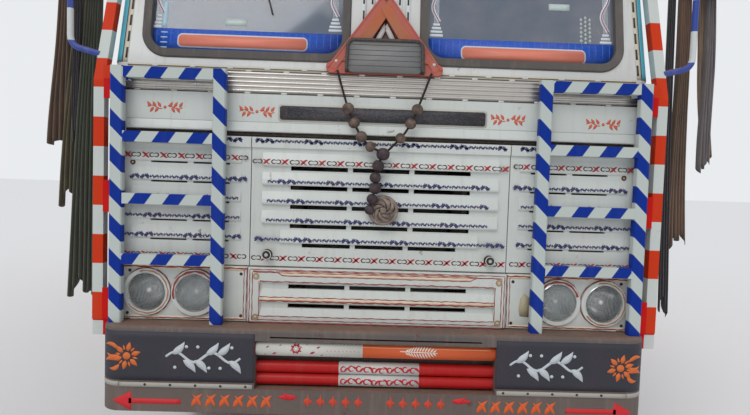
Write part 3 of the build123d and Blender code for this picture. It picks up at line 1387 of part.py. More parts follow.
def headboard():
    """The body's front wall, with boards, posts and an arched top above the cab."""
    half = FLOOR_HALF_WIDTH + SIDE_WALL + BODY_POST_PROUD
    y = (BODY_FRONT_Y - 42, BODY_FRONT_Y - FIT_GAP)
    wall = block((-half, half), y, (SILL_TOP, HEADBOARD_TOP - 160))
    arch = make_face(
        [
            Line((-half, HEADBOARD_TOP - 161), (half, HEADBOARD_TOP - 161)),
            ThreePointArc((half, HEADBOARD_TOP - 161), (0, HEADBOARD_TOP), (-half, HEADBOARD_TOP - 161)),
        ]
    )
    stand = Plane(origin=(0, y[1], 0), x_dir=(1, 0, 0), z_dir=(0, -1, 0))
    wall += extrude(stand * arch, y[1] - y[0])
    for x in (-900, -450, 0, 450, 900):
        wall += block((x - 30, x + 30), (y[0] - 34, y[0] + 1), (SILL_TOP, HEADBOARD_TOP - 170))
    return wall


def tailgate():
    """The drop gate between the rear posts, with ribs and hinge eyes."""
    half = FLOOR_HALF_WIDTH + SIDE_WALL
    y = (BODY_REAR_Y + 3, BODY_REAR_Y + 3 + GATE_THICK - 14)
    low = FLOOR_TOP + 8
    gate = block((-half, half), y, (low, GATE_TOP))
    for x in (-1120, -560, 0, 560, 1120):
        gate += block((x - 28, x + 28), (y[0], y[1] + 12), (low, GATE_TOP))
    gate += block((-half, half), (y[0], y[1] + 12), (GATE_TOP - 60, GATE_TOP))
    gate += block((-half, half), (y[0], y[1] + 12), (low, low + 60))
    for x in GATE_HINGE_X:
        gate += block((x - 20, x + 20), (GATE_HINGE_Y - 45, GATE_HINGE_Y + 14), (GATE_HINGE_Z, low + 40))
        gate += rod((x - 20, GATE_HINGE_Y, GATE_HINGE_Z), (x + 20, GATE_HINGE_Y, GATE_HINGE_Z), 14)
        gate -= rod(
            (x - 21, GATE_HINGE_Y, GATE_HINGE_Z), (x + 21, GATE_HINGE_Y, GATE_HINGE_Z), 8 + SHAFT_GAP
        )
    return gate


def rear_bar():
    """The underrun bar on two hangers, with round lamps on boards beside the rails."""
    bar_y = (REAR_Y - 330, REAR_Y - 250)
    bar = block((-1150, 1150), bar_y, (470, 570))
    for side in (-1, 1):
        x = sorted((side * (RAIL_OUT), side * (RAIL_OUT + 14)))
        bar += block(x, (bar_y[0], bar_y[1]), (470, 900))
        lamp_x = sorted((side * (RAIL_OUT + 13), side * 1160))
        bar += block(lamp_x, (bar_y[1] - 12, bar_y[1]), (820, 930))
        for x in REAR_LAMP_X:
            bar += rod((side * x, bar_y[1] - 1, 875), (side * x, bar_y[1] + 34, 875), REAR_LAMP_RADIUS)
    return bar


def mud_flaps():
    """Two flaps of rubber hung behind the rear wheels."""
    behind_tyre = REAR_AXLE_Y + TYRE_RADIUS + MUD_FLAP_CLEAR
    bearer = math.ceil((behind_tyre - bearer_y(0)) / BEARER_PITCH)
    y = bearer_y(bearer) - FIT_GAP
    x = (FLOOR_HALF_WIDTH - MUD_FLAP_WIDE, FLOOR_HALF_WIDTH)
    flap = block(x, (y - 10, y), (MUD_FLAP_BOTTOM, BEARER_TOP - 12))
    return node(flap, twin(flap))


def side_rolls():
    """Rolled canvas that hangs beside each pole."""
    rolls = []
    for top, foot, radius in ROLLS:
        start = (POLE_X + top[0], FRONT_Y + top[1], top[2])
        end = (POLE_X + foot[0], FRONT_Y + foot[1], foot[2])
        roll = rod(start, end, radius)
        rolls += [roll, twin(roll)]
    return node(*rolls)


ROLLS = (
    ((235, 282, 2571.4), (305, 330, 1660), 50),
    ((125, 277, 2573.8), (190, 318, 940), 46),
)


def main():
    os.makedirs("parts", exist_ok=True)
    shell = cab_shell()
    left_door = door(shell)
    left_glass = door_glass()
    left_knuckle = knuckle()
    strings, beads = garland()
    spare_tyre, spare_carrier = spare_wheel()
    wall = body_side()
    pole = marker_pole()
    front_tyre = tyre(FRONT_WHEEL_X, FRONT_AXLE_Y)
    twin_tyres = [
        tyre(REAR_WHEEL_X + way * TWIN_OFFSET, REAR_AXLE_Y) for way in (-1, 1)
    ]
    front_rim = front_wheel()
    rear_rim = rear_wheel()
    pieces = {
        "chassis_frame": chassis_frame(),
        "leaf_springs": leaf_springs(),
        "front_axle": front_axle(),
        "rear_axle": rear_axle(),
        "powertrain": powertrain(),
        "propshaft": propshaft(),
        "fuel_tank": fuel_tank(),
        "battery_box": battery_box(),
        "exhaust": exhaust(),
        "spare_tyre": spare_tyre,
        "spare_carrier": spare_carrier,
        "knuckle_left": left_knuckle,
        "knuckle_right": twin(left_knuckle),
        "tie_rod": tie_rod(),
        "front_tyre_left": front_tyre,
        "front_tyre_right": twin(front_tyre),
        "front_wheel_left": front_rim,
        "front_wheel_right": twin(front_rim),
        "rear_tyres_left": node(*twin_tyres),
        "rear_tyres_right": node(*[twin(one) for one in twin_tyres]),
        "rear_wheel_left": rear_rim,
        "rear_wheel_right": twin(rear_rim),
        "cab_front": cab_front(shell),
        "cab_sides": cab_sides(shell),
        "cab_back": cab_back(shell),
        "cab_roof": cab_roof(shell),
        "cab_floor": cab_floor(),
        "windscreens": windscreens(),
        "windscreen_seals": windscreen_seals(),
        "door_left": left_door,
        "door_right": twin(left_door),
        "door_glass_left": left_glass,
        "door_glass_right": twin(left_glass),
        "grille_flap": grille_flap(),
        "face_panels": face_panels(),
        "headlamps": headlamps(),
        "fluted_trim": fluted_trim(),
        "front_bumper": front_bumper(),
        "bumper_tubes": bumper_tubes(),
        "ladder_frames": ladder_frames(),
        "marker_poles": node(pole, twin(pole)),
        "mirrors": mirrors(pole),
        "warning_triangle": warning_triangle(),
        "roof_crown": roof_crown(),
        "seats": seats(),
        "dashboard": dashboard(),
        "steering_wheel": steering_wheel(),
        "garland_strings": node(*strings),
        "garland_beads": node(*beads),
        "body_bearers": body_bearers(),
        "body_floor": body_floor(),
        "body_sides": node(wall, twin(wall)),
        "headboard": headboard(),
        "tailgate": tailgate(),
        "rear_bar": rear_bar(),
        "mud_flaps": mud_flaps(),
        "side_rolls": side_rolls(),
    }
    for name, shape in pieces.items():
        export_step(shape, f"parts/{name}.step")
    print(len(pieces), "nodes written")


main()
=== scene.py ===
# %% [markdown]
# # A decorated haulage truck
# The CAD model gives the truck its true sizes and moving bodies. This lesson dresses it: paint with dust
# and rust, hand-painted ornament, lamps, tyres, cloth, cords and the many small fittings that a plain
# solid leaves out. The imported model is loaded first, because every later piece is placed on it.

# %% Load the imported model
import bpy
import math
import numpy as np
from mathutils import Matrix


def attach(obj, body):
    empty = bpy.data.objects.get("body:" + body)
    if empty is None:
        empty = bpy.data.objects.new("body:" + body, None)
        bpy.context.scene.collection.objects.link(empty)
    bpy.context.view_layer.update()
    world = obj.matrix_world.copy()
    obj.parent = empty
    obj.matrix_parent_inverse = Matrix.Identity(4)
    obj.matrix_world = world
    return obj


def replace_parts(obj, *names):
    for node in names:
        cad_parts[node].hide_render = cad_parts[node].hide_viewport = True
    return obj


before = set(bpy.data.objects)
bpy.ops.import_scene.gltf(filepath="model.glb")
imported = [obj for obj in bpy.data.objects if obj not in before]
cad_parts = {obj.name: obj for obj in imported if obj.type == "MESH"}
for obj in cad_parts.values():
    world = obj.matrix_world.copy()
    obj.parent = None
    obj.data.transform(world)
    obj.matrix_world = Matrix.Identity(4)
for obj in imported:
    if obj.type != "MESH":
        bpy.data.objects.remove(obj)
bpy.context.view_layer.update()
MM = 0.001
FRONT_Y = -4.2
Y0 = FRONT_Y / MM

# %% [markdown]
# ## The camera
# The picture was taken at chest height, 2.5 m before the bumper, with a phone's wide lens that looks a
# little down and leans a little. A camera is only a turned frame: its right, up and back directions are
# worked out from the three angles, and they are the columns of its matrix.

# %% Camera
IMAGE_WIDE, FOCAL_PIXELS, SENSOR = 750, 583, 36.0
YAW, PITCH, ROLL = np.radians([1.2, 3.0, 1.85])
forward = np.array([math.sin(YAW) * math.cos(PITCH), math.cos(YAW) * math.cos(PITCH), -math.sin(PITCH)])
level = np.array([math.cos(YAW), -math.sin(YAW), 0.0])
upward = np.cross(level, forward)
right = level * math.cos(ROLL) + upward * math.sin(ROLL)
above = upward * math.cos(ROLL) - level * math.sin(ROLL)

camera = bpy.data.objects.new("camera", bpy.data.cameras.new("camera"))
camera.data.sensor_width = SENSOR
camera.data.lens = FOCAL_PIXELS / IMAGE_WIDE * SENSOR
camera.data.clip_end = 200
matrix = np.eye(4)
matrix[:3, 0], matrix[:3, 1], matrix[:3, 2] = right, above, -forward
matrix[:3, 3] = (-0.077, -6.69, 1.54)
camera.matrix_world = Matrix(matrix.tolist())
bpy.context.scene.collection.objects.link(camera)
bpy.context.scene.camera = camera
bpy.context.scene.view_settings.view_transform = "Standard"
print("lens", round(camera.data.lens, 2), "mm")

# %% [markdown]
# ## Shapes from arrays
# A mesh is two arrays: points, and faces that count into them. Every shape in this lesson is a pair
# `(points, faces)`, with four columns of indices to a face and -1 where a face has only three corners.
# Shapes are joined by stacking their arrays, so nothing here loops over single points.

# %% Mesh helpers
def surface(grid, close_u=False, close_v=False):
    """Quads over a grid of points, shape (nu, nv, 3): a face joins (i, j), (i+1, j), (i+1, j+1), (i, j+1)."""
    nu, nv = grid.shape[:2]
    index = np.arange(nu * nv).reshape(nu, nv)
    if close_u:
        index = np.vstack([index, index[:1]])
    if close_v:
        index = np.hstack([index, index[:, :1]])
    a, b, c, d = index[:-1, :-1], index[1:, :-1], index[1:, 1:], index[:-1, 1:]
    return grid.reshape(-1, 3), np.stack([a, b, c, d], -1).reshape(-1, 4)


def capped(grid):
    """A closed skin round a run of rings, shape (n, ring, 3), with a fan of triangles over each end."""
    points, faces = surface(grid, close_v=True)
    n, ring = grid.shape[:2]
    ends = np.array([grid[0].mean(0), grid[-1].mean(0)])
    first, around = np.arange(ring), np.roll(np.arange(ring), -1)
    last = (n - 1) * ring
    none = np.full(ring, -1)
    start = np.stack([first, around, np.full(ring, n * ring), none], -1)
    stop = np.stack([around + last, first + last, np.full(ring, n * ring + 1), none], -1)
    return np.vstack([points, ends]), np.vstack([faces, start, stop])


def gather(shapes):
    """Several shapes as one: the points are stacked, and each shape's faces count on from the last."""
    starts = np.cumsum([0] + [len(p) for p, _ in shapes[:-1]])
    faces = [np.where(f >= 0, f + s, f) for (_, f), s in zip(shapes, starts)]
    return np.vstack([p for p, _ in shapes]), np.vstack(faces)


def mirrored(shape):
    """The same shape on the truck's other side: X changes sign and each face is read backwards."""
    points, faces = shape
    back = np.where(faces[:, 3:] >= 0, faces[:, ::-1], np.hstack([faces[:, 2::-1], faces[:, 3:]]))
    return points * (-1, 1, 1), back


def both(shape):
    """A shape and its mirror image."""
    return gather([shape, mirrored(shape)])


def mesh_object(name, shape, smooth=30):
    """A mesh object at the origin from a shape; edges sharper than the smooth angle stay sharp."""
    points, faces = shape
    used = faces >= 0
    mesh = bpy.data.meshes.new(name)
    mesh.vertices.add(len(points))
    mesh.vertices.foreach_set("co", np.ascontiguousarray(points, np.float32).ravel())
    mesh.loops.add(int(used.sum()))
    mesh.loops.foreach_set("vertex_index", faces[used].astype(np.int32))
    mesh.polygons.add(len(faces))
    sides = used.sum(1)
    mesh.polygons.foreach_set("loop_start", (np.cumsum(sides) - sides).astype(np.int32))
    mesh.update(calc_edges=True)
    mesh.validate()
    if smooth:
        mesh.shade_smooth()
        mesh.set_sharp_from_angle(angle=math.radians(smooth))
    made = bpy.data.objects.new(name, mesh)
    bpy.context.scene.collection.objects.link(made)
    return made


def read_points(mesh):
    """A mesh's points as an array, shape (n, 3)."""
    flat = np.zeros(len(mesh.vertices) * 3, np.float32)
    mesh.vertices.foreach_get("co", flat)
    return flat.reshape(-1, 3).astype(float)


def piece(name, shape, finish, body="truck", smooth=30):
    """A piece of the truck: its mesh, its material, the record's slot and the body it rides on."""
    made = mesh_object(name, shape, smooth)
    made.data.materials.append(finish)
    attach(made, body)
    return made


print("mesh helpers ready")

# %% [markdown]
# Small fittings repeat a few forms: a block with eased edges, a bar along a path, and a turned form. Each
# is a formula over arrays, so one function serves a hinge, a hose and a wheel nut alike.

# %% Blocks, bars and turned forms
def eased_ring(half_x, half_y, cut):
    """Eight points of a rectangle with cut corners: (+-(hx - cut), +-hy) and (+-hx, +-(hy - cut))."""
    sign_x = np.array([1, 1, -1, -1, -1, -1, 1, 1])
    sign_y = np.array([1, 1, 1, 1, -1, -1, -1, -1])
    near = np.array([0, 1, 1, 0, 0, 1, 1, 0])
    return np.column_stack([sign_x * (half_x - cut * near), sign_y * (half_y - cut * (1 - near))])


def block(low, high, ease=2.0):
    """A box in millimetres with chamfered edges: four eased rings, the end ones drawn in by the ease."""
    low, high = np.array(low, float), np.array(high, float)
    ease = min(ease, *(0.45 * (high - low)))
    hx, hy, hz = (high - low) / 2
    rings = [
        np.column_stack([eased_ring(hx - inset, hy - inset, ease * 0.6), np.full(8, z)])
        for inset, z in ((ease, -hz), (0, ease - hz), (0, hz - ease), (ease, hz))
    ]
    return closed(np.array(rings) + (high + low) / 2)


def turned_out(points, faces):
    """Faces turned so that a closed shape's signed volume, the sum of a . (b x c) / 6, is positive."""
    tri = points[faces[:, :3]]
    quad = faces[:, 3] >= 0
    more = points[faces[quad][:, [0, 2, 3]]]
    volume = sum(np.einsum("ij,ij->", t[:, 0], np.cross(t[:, 1], t[:, 2])) for t in (tri, more))
    if volume > 0:
        return faces
    return np.where(quad[:, None], faces[:, ::-1], np.hstack([faces[:, 2::-1], faces[:, 3:]]))


def closed(grid):
    """A capped skin whose faces all point outwards, from rings of points in millimetres."""
    points, faces = capped(np.asarray(grid, float))
    return points * MM, turned_out(points - points.mean(0), faces)


def directions(line):
    """Two unit vectors across a path at each point, carried along it without twist where it is planar."""
    ahead = np.gradient(line, axis=0)
    ahead /= np.linalg.norm(ahead, axis=1, keepdims=True)
    spread = np.ptp(line, axis=0)
    guide = np.eye(3)[np.argmin(spread + np.abs(ahead).mean(0) * 1e-3)]
    across = np.cross(ahead, guide)
    across /= np.linalg.norm(across, axis=1, keepdims=True)
    return across, np.cross(across, ahead)


def bar(line, radius, sides=12):
    """A round bar in millimetres: at each path point a circle of the given radius, cos across + sin up."""
    line = np.array(line, float)
    across, up = directions(line)
    turn = np.linspace(0, 2 * np.pi, sides, endpoint=False)
    radius = np.broadcast_to(np.asarray(radius, float), len(line))[:, None, None]
    ring = across[:, None] * np.cos(turn)[:, None] + up[:, None] * np.sin(turn)[:, None]
    return closed(line[:, None] + ring * radius)


def swept(profile, centre, axis, sides):
    """A grid from (distance along the axis, radius) pairs swept round an axis through the centre."""
    profile = np.array(profile, float)
    axis = np.array(axis, float) / np.linalg.norm(axis)
    across = np.cross(axis, np.eye(3)[np.argmin(np.abs(axis))])
    across /= np.linalg.norm(across)
    up = np.cross(axis, across)
    turn = np.linspace(0, 2 * np.pi, sides, endpoint=False)
    ring = across * np.cos(turn)[:, None] + up * np.sin(turn)[:, None]
    return np.array(centre, float) + profile[:, :1, None] * axis + profile[:, 1:, None] * ring


def turned(profile, centre, axis, sides=32):
    """A lathe form with closed ends, from (distance along the axis, radius) pairs in millimetres."""
    return closed(swept(profile, centre, axis, sides))


def repeated(shape, offsets):
    """Copies of a shape moved by each row of offsets, in millimetres."""
    points, faces = shape
    offsets = np.asarray(offsets, float) * MM
    moved = (points + offsets[:, None]).reshape(-1, 3)
    shift = np.arange(len(offsets))[:, None, None] * len(points)
    return moved, np.where(faces >= 0, faces + shift, faces).reshape(-1, faces.shape[1])


def bolts(places, axis=(0, -1, 0), radius=7, tall=5):
    """Domed bolt heads with a washer at each place, in millimetres."""
    profile = [(0, radius * 1.5), (tall * 0.3, radius * 1.45), (tall * 0.3, radius), (tall * 0.8, radius * 0.9),
               (tall, radius * 0.5)]
    return repeated(turned(profile, (0, 0, 0), axis, 8), places)


test = block((0, 0, 0), (100, 50, 20))
print("an eased block has", len(test[0]), "points")

# %% [markdown]
# ## Floor, sky and lamps
# A plain pale floor carries the truck and its shadow. The world is one soft pale dome. Only camera,
# glossy and transmission rays see it at full strength, so the backdrop is white and the glass and chrome
# have something to mirror, while the light on the paint stays at a level that doesn't clip.

# %% Floor and light
def surface_plane(half, z):
    """A flat square of side 2 * half at height z, as a 2 x 2 grid."""
    x, y = np.meshgrid([-half, half], [-half, half], indexing="ij")
    return surface(np.stack([x, y, np.full_like(x, z)], -1))


floor = mesh_object("floor", surface_plane(60.0, 0.0), smooth=0)

world = bpy.data.worlds.new("sky")
bpy.context.scene.world = world
world.use_nodes = True
sky = world.node_tree
sky.nodes.clear()
paths = sky.nodes.new("ShaderNodeLightPath")
seen = sky.nodes.new("ShaderNodeMath")
seen.operation = "MAXIMUM"
sky.links.new(paths.outputs["Is Camera Ray"], seen.inputs[0])
sky.links.new(paths.outputs["Is Glossy Ray"], seen.inputs[1])
also = sky.nodes.new("ShaderNodeMath")
also.operation = "MAXIMUM"
sky.links.new(seen.outputs[0], also.inputs[0])
sky.links.new(paths.outputs["Is Transmission Ray"], also.inputs[1])
light = sky.nodes.new("ShaderNodeBackground")
light.inputs["Color"].default_value = (0.93, 0.96, 1.0, 1)
light.inputs["Strength"].default_value = 0.62
shown = sky.nodes.new("ShaderNodeBackground")
shown.inputs["Color"].default_value = (0.86, 0.88, 0.9, 1)
shown.inputs["Strength"].default_value = 0.95
choose = sky.nodes.new("ShaderNodeMixShader")
sky.links.new(also.outputs[0], choose.inputs[0])
sky.links.new(light.outputs[0], choose.inputs[1])
sky.links.new(shown.outputs[0], choose.inputs[2])
outlet = sky.nodes.new("ShaderNodeOutputWorld")
sky.links.new(choose.outputs[0], outlet.inputs[0])


def sun(name, strength, spread, towards):
    """A soft sun: parallel light along a direction, its shadows softened by its apparent width."""
    lamp = bpy.data.lights.new(name, "SUN")
    lamp.energy = strength
    lamp.angle = math.radians(spread)
    holder = bpy.data.objects.new(name, lamp)
    back = -np.array(towards, float) / np.linalg.norm(towards)
    side = np.cross([0, 0, 1], back)
    side /= np.linalg.norm(side)
    turn = np.eye(4)
    turn[:3, 0], turn[:3, 1], turn[:3, 2] = side, np.cross(back, side), back
    holder.matrix_world = Matrix(turn.tolist())
    bpy.context.scene.collection.objects.link(holder)


sun("key_lamp", 1.05, 35, (0.45, 1.0, -1.15))
sun("fill_lamp", 0.42, 60, (-0.9, -0.75, -0.8))

# %% [markdown]
# ## Finishes
# Nothing on a working truck is one flat colour. Each finish starts from its paint, then takes what the road
# adds: blotches where the paint has faded, streaks that run down from edges, red-brown soil that is
# thickest low down and on ledges, and rust that breaks through in spots. One recipe makes them all from
# Object coordinates, so the patterns are fixed to the truck and keep their real size.

# %% The recipe for finishes
def srgb(red, green, blue):
    """A screen colour of three bytes as linear light: ((c + 0.055) / 1.055) ** 2.4 above 0.04."""
    c = np.array([red, green, blue]) / 255
    return (*np.where(c > 0.04045, ((c + 0.055) / 1.055) ** 2.4, c / 12.92).tolist(), 1.0)


SOIL = srgb(150, 108, 82)
DUST = srgb(168, 150, 132)
RUST = srgb(112, 58, 30)


class Finish:
    """A material being built. Each method adds one node and returns the socket that carries its result."""

    def __init__(self, name):
        self.material = bpy.data.materials.new(name)
        self.material.use_nodes = True
        self.tree = self.material.node_tree
        self.shader = self.tree.nodes["Principled BSDF"]
        self.object = self.add("ShaderNodeTexCoord").outputs["Object"]
        self.axes = self.add("ShaderNodeSeparateXYZ", self.object).outputs

    def add(self, kind, *inputs, **settings):
        """A node with its inputs in order: a socket is linked, a value is set, None is left alone."""
        made = self.tree.nodes.new(kind)
        for key, value in settings.items():
            setattr(made, key, value)
        for socket, value in zip(made.inputs, inputs):
            if isinstance(value, bpy.types.NodeSocket):
                self.tree.links.new(value, socket)
            elif value is not None:
                socket.default_value = value
        return made

    def maths(self, operation, a, b=0.0, clamp=False):
        """One arithmetic step on two numbers or sockets."""
        return self.add("ShaderNodeMath", a, b, operation=operation, use_clamp=clamp).outputs[0]

    def noise(self, scale, detail=4.0, stretch=(1, 1, 1), roughness=0.55):
        """Cloudy noise from 0 to 1 over Object coordinates, stretched along axes where asked."""
        place = self.add("ShaderNodeMapping", self.object)
        place.inputs["Scale"].default_value = stretch
        made = self.add("ShaderNodeTexNoise", place.outputs[0])
        made.inputs["Scale"].default_value = scale
        made.inputs["Detail"].default_value = detail
        made.inputs["Roughness"].default_value = roughness
        return made.outputs["Fac"]

    def between(self, value, low, high, start=0.0, end=1.0):
        """value mapped from low..high to start..end, held at both ends."""
        made = self.add("ShaderNodeMapRange", value, low, high, start, end)
        return made.outputs[0]

    def stairs(self, value, edges, levels):
        """A staircase: levels[k] (0 to 1) holds from edges[k] to edges[k + 1], and the last level after that."""
        low, high = edges[0], edges[0] + 2 * (edges[-1] - edges[0])
        made = self.add("ShaderNodeValToRGB", self.between(value, low, high))
        made.color_ramp.interpolation = "CONSTANT"
        stops = made.color_ramp.elements
        for k, (edge, level) in enumerate(zip(edges, levels)):
            at = (edge - low) / (high - low)
            stop = stops[k] if k < 2 else stops.new(at)
            stop.position = at
            stop.color = (level, level, level, 1)
        return made.outputs[0]

    def mix(self, share, first, second):
        """A colour between two: first * (1 - share) + second * share."""
        made = self.add("ShaderNodeMix", data_type="RGBA")
        for socket, value in zip((made.inputs[0], made.inputs[6], made.inputs[7]), (share, first, second)):
            if isinstance(value, bpy.types.NodeSocket):
                self.tree.links.new(value, socket)
            else:
                socket.default_value = value
        return made.outputs[2]

    def feed(self, name, value):
        """Sets or links one input of the shader."""
        if isinstance(value, bpy.types.NodeSocket):
            self.tree.links.new(value, self.shader.inputs[name])
        else:
            self.shader.inputs[name].default_value = value

    def relief(self, height, distance, strength=1.0):
        """A bump from a height socket, in metres of depth."""
        made = self.add("ShaderNodeBump")
        made.inputs["Strength"].default_value = strength
        made.inputs["Distance"].default_value = distance
        self.tree.links.new(height, made.inputs["Height"])
        self.feed("Normal", made.outputs[0])


def weathered(name, colour, rough=0.45, metal=0.0, soil=0.35, soil_top=1.0, ledge=0.5, streaks=0.25,
              fade=0.12, rust=0.0, grain=0.3, coat=0.0, specular=0.5):
    """A painted or bare surface that has worked: colour may be a value or a function of the Finish."""
    f = Finish(name)
    base = colour(f) if callable(colour) else colour
    cloud = f.noise(2.6, 6.0)
    fine = f.noise(55.0, 5.0)
    spots = f.noise(13.0, 8.0, roughness=0.7)
    runs = f.noise(5.0, 5.0, stretch=(7.0, 7.0, 0.55))
    base = f.mix(f.between(cloud, 0.35, 0.75, 0.0, fade), base, srgb(120, 116, 112))
    base = f.mix(f.between(runs, 0.52, 0.78, 0.0, streaks), base, DUST)
    low = f.between(f.axes[2], 0.25, soil_top, 1.0, 0.12)
    up = f.add("ShaderNodeSeparateXYZ", f.add("ShaderNodeNewGeometry").outputs["Normal"]).outputs[2]
    top = f.between(up, 0.35, 0.95, 0.0, ledge)
    amount = f.maths("ADD", f.maths("MULTIPLY", low, soil), top, clamp=True)
    amount = f.maths("MULTIPLY", amount, f.between(f.maths("ADD", cloud, fine), 0.7, 1.25, 0.35, 1.0), clamp=True)
    base = f.mix(amount, base, SOIL)
    if rust:
        flake = f.between(spots, 0.66 - 0.16 * rust, 0.72 - 0.14 * rust, 0.0, 1.0)
        base = f.mix(f.maths("MULTIPLY", flake, min(1.0, 0.55 + rust)), base, f.mix(fine, RUST, srgb(70, 38, 24)))
    f.feed("Base Color", base)
    f.feed("Roughness", f.between(f.maths("ADD", amount, f.maths("MULTIPLY", fine, 0.25)), 0.05, 1.0, rough, 0.92))
    f.feed("Metallic", metal)
    f.feed("Specular IOR Level", specular)
    f.feed("Coat Weight", coat)
    f.relief(f.maths("ADD", f.maths("MULTIPLY", fine, 0.4), f.maths("MULTIPLY", spots, 0.6)), 0.0015 * grain)
    return f.material


print("finish recipe ready")

# %% [markdown]
# The paints themselves: whites that have gone a little grey, and bands that follow the truck. A band is
# worked out from position alone, `fraction(height / pitch)`, so it wraps round all sides of a post.

# %% Paints of the cab
def banded(f, phase, share, first, second, soft=0.012):
    """first where the fractional part of the phase is below the share, else second, with a thin soft edge."""
    part = f.maths("FRACT", phase)
    edge = f.between(part, share - soft, share + soft)
    return f.mix(edge, first, second)


POST_LOW, RUNG_LOW = (-1.3, -0.93, 0.0, 0.93), (1.0, 1.28, 1.55, 1.82)
POST_START = (0.1024, 0.0035, 0.0150, 0.0244)
RUNG_START = {-1: (-0.8345, -0.9305, -0.8320, -0.8685), 1: (0.9005, 0.8540, 0.9650, 0.8745)}
RUNG_HEIGHT = (1.150, 1.414, 1.682, 1.957)


def ladder_stripes(f):
    """Blue and off-white stripes, each post and rung from its own start: (z + x) / 150 on posts, (x - z) / 147."""
    x, z = f.axes[0], f.axes[2]
    wide = f.maths("ABSOLUTE", x)
    inner = f.maths("ABSOLUTE", f.maths("SUBTRACT", wide, 0.708))
    outer = f.maths("ABSOLUTE", f.maths("SUBTRACT", wide, 1.147))
    on_post = f.maths("LESS_THAN", f.maths("MINIMUM", inner, outer), 0.0278)
    post = f.maths("SUBTRACT", f.maths("ADD", z, x), f.stairs(x, POST_LOW, POST_START))
    left = f.stairs(z, RUNG_LOW, [start + 1 for start in RUNG_START[-1]])
    right = f.stairs(z, RUNG_LOW, RUNG_START[1])
    start = f.maths("ADD", f.maths("MULTIPLY", left, f.maths("LESS_THAN", x, 0.0)),
                    f.maths("MULTIPLY", right, f.maths("GREATER_THAN", x, 0.0)))
    rise = f.maths("SUBTRACT", z, f.maths("ADD", f.stairs(z, RUNG_LOW, [h - 1 for h in RUNG_HEIGHT]), 1.0))
    rung = f.maths("SUBTRACT", f.maths("SUBTRACT", f.maths("ADD", x, f.maths("LESS_THAN", x, 0.0)),
                                       f.maths("MULTIPLY", rise, 0.7)), start)
    phase = f.maths("ADD", f.maths("MULTIPLY", f.maths("MULTIPLY", post, 1 / 0.1505), on_post),
                    f.maths("MULTIPLY", f.maths("MULTIPLY", rung, 1 / 0.1465), f.maths("SUBTRACT", 1.0, on_post)))
    return banded(f, f.maths("ADD", phase, 40.0), 0.49, srgb(0, 46, 142), srgb(190, 198, 193))


def pole_bands(f):
    """Orange-red and white bands of 128.6 mm up the poles; the plates beside them, inside x 1217 mm, are red."""
    phase = f.maths("MULTIPLY", f.maths("SUBTRACT", f.axes[2], 0.864 - 0.2572 * 4), 1 / 0.2572)
    bands = banded(f, phase, 0.5, srgb(206, 54, 16), srgb(202, 207, 202), 0.006)
    inside = f.maths("LESS_THAN", f.maths("ABSOLUTE", f.axes[0]), 1.217)
    plate = f.maths("MULTIPLY", inside, f.maths("LESS_THAN", f.axes[2], 1.93))
    return f.mix(plate, bands, srgb(200, 8, 8))


PANEL = srgb(204, 209, 204)
cab_paint = weathered("cab_paint", srgb(212, 213, 210), rough=0.38, soil=0.3, soil_top=1.6, streaks=0.3,
                      rust=0.1, coat=0.25)
panel_paint = weathered("panel_paint", PANEL, rough=0.34, soil=0.2, soil_top=1.5, streaks=0.22, ledge=0.4,
                        rust=0.12, coat=0.3)
lining = weathered("cab_lining", srgb(120, 112, 100), rough=0.8, soil=0.1, ledge=0.25)
ladder_paint = weathered("ladder_paint", ladder_stripes, rough=0.5, soil=0.05, streaks=0.03, fade=0.02,
                         ledge=0.2, rust=0.04, specular=0.14)
pole_paint = weathered("pole_paint", pole_bands, rough=0.5, soil=0.05, streaks=0.04, fade=0.02, rust=0.05,
                       specular=0.16)
bumper_paint = weathered("bumper_paint", srgb(84, 80, 79), rough=0.62, soil=0.34, soil_top=1.0, ledge=0.5,
                         rust=0.22, grain=0.6)
tube_paint = weathered("tube_paint", srgb(176, 4, 14), rough=0.4, soil=0.1, streaks=0.05, fade=0.03, ledge=0.1,
                       rust=0.06, coat=0.08, specular=0.25)
triangle_paint = weathered("triangle_paint", srgb(176, 80, 64), rough=0.46, soil=0.1, ledge=0.3, rust=0.1)
crown_paint = weathered("crown_paint", srgb(206, 60, 46), rough=0.4, soil=0.1, coat=0.2)
mirror_shell = weathered("mirror_shell", srgb(34, 34, 36), rough=0.5, soil=0.15, ledge=0.5)
body_paint = weathered("body_paint", srgb(196, 92, 40), rough=0.45, soil=0.45, soil_top=1.7, rust=0.25,
                       streaks=0.35)
chassis_paint = weathered("chassis_paint", srgb(66, 44, 40), rough=0.6, soil=0.6, soil_top=1.3, rust=0.3,
                          grain=0.7)
spring_steel = weathered("spring_steel", srgb(62, 54, 50), rough=0.6, metal=0.4, soil=0.6, rust=0.45, grain=0.8)
cast_iron = weathered("cast_iron", srgb(58, 54, 52), rough=0.65, metal=0.3, soil=0.6, rust=0.4, grain=1.2)
engine_iron = weathered("engine_iron", srgb(92, 98, 98), rough=0.55, metal=0.3, soil=0.5, rust=0.2, grain=0.9)
tank_paint = weathered("tank_paint", srgb(108, 112, 112), rough=0.45, metal=0.5, soil=0.5, rust=0.2)
exhaust_steel = weathered("exhaust_steel", srgb(96, 74, 60), rough=0.7, metal=0.5, soil=0.5, rust=0.65, grain=1.0)
wheel_paint = weathered("wheel_paint", srgb(176, 60, 48), rough=0.5, soil=0.6, soil_top=1.4, rust=0.25)
stainless = weathered("stainless", srgb(196, 192, 186), rough=0.24, metal=0.92, soil=0.12, streaks=0.15,
                      fade=0.2, ledge=0.35)
chrome = weathered("chrome", srgb(214, 214, 212), rough=0.14, metal=1.0, soil=0.1, streaks=0.08, fade=0.1,
                   ledge=0.3)
dash_plastic = weathered("dash_plastic", srgb(58, 56, 56), rough=0.6, soil=0.1, ledge=0.35, grain=0.8)
print("paints:", len(bpy.data.materials))

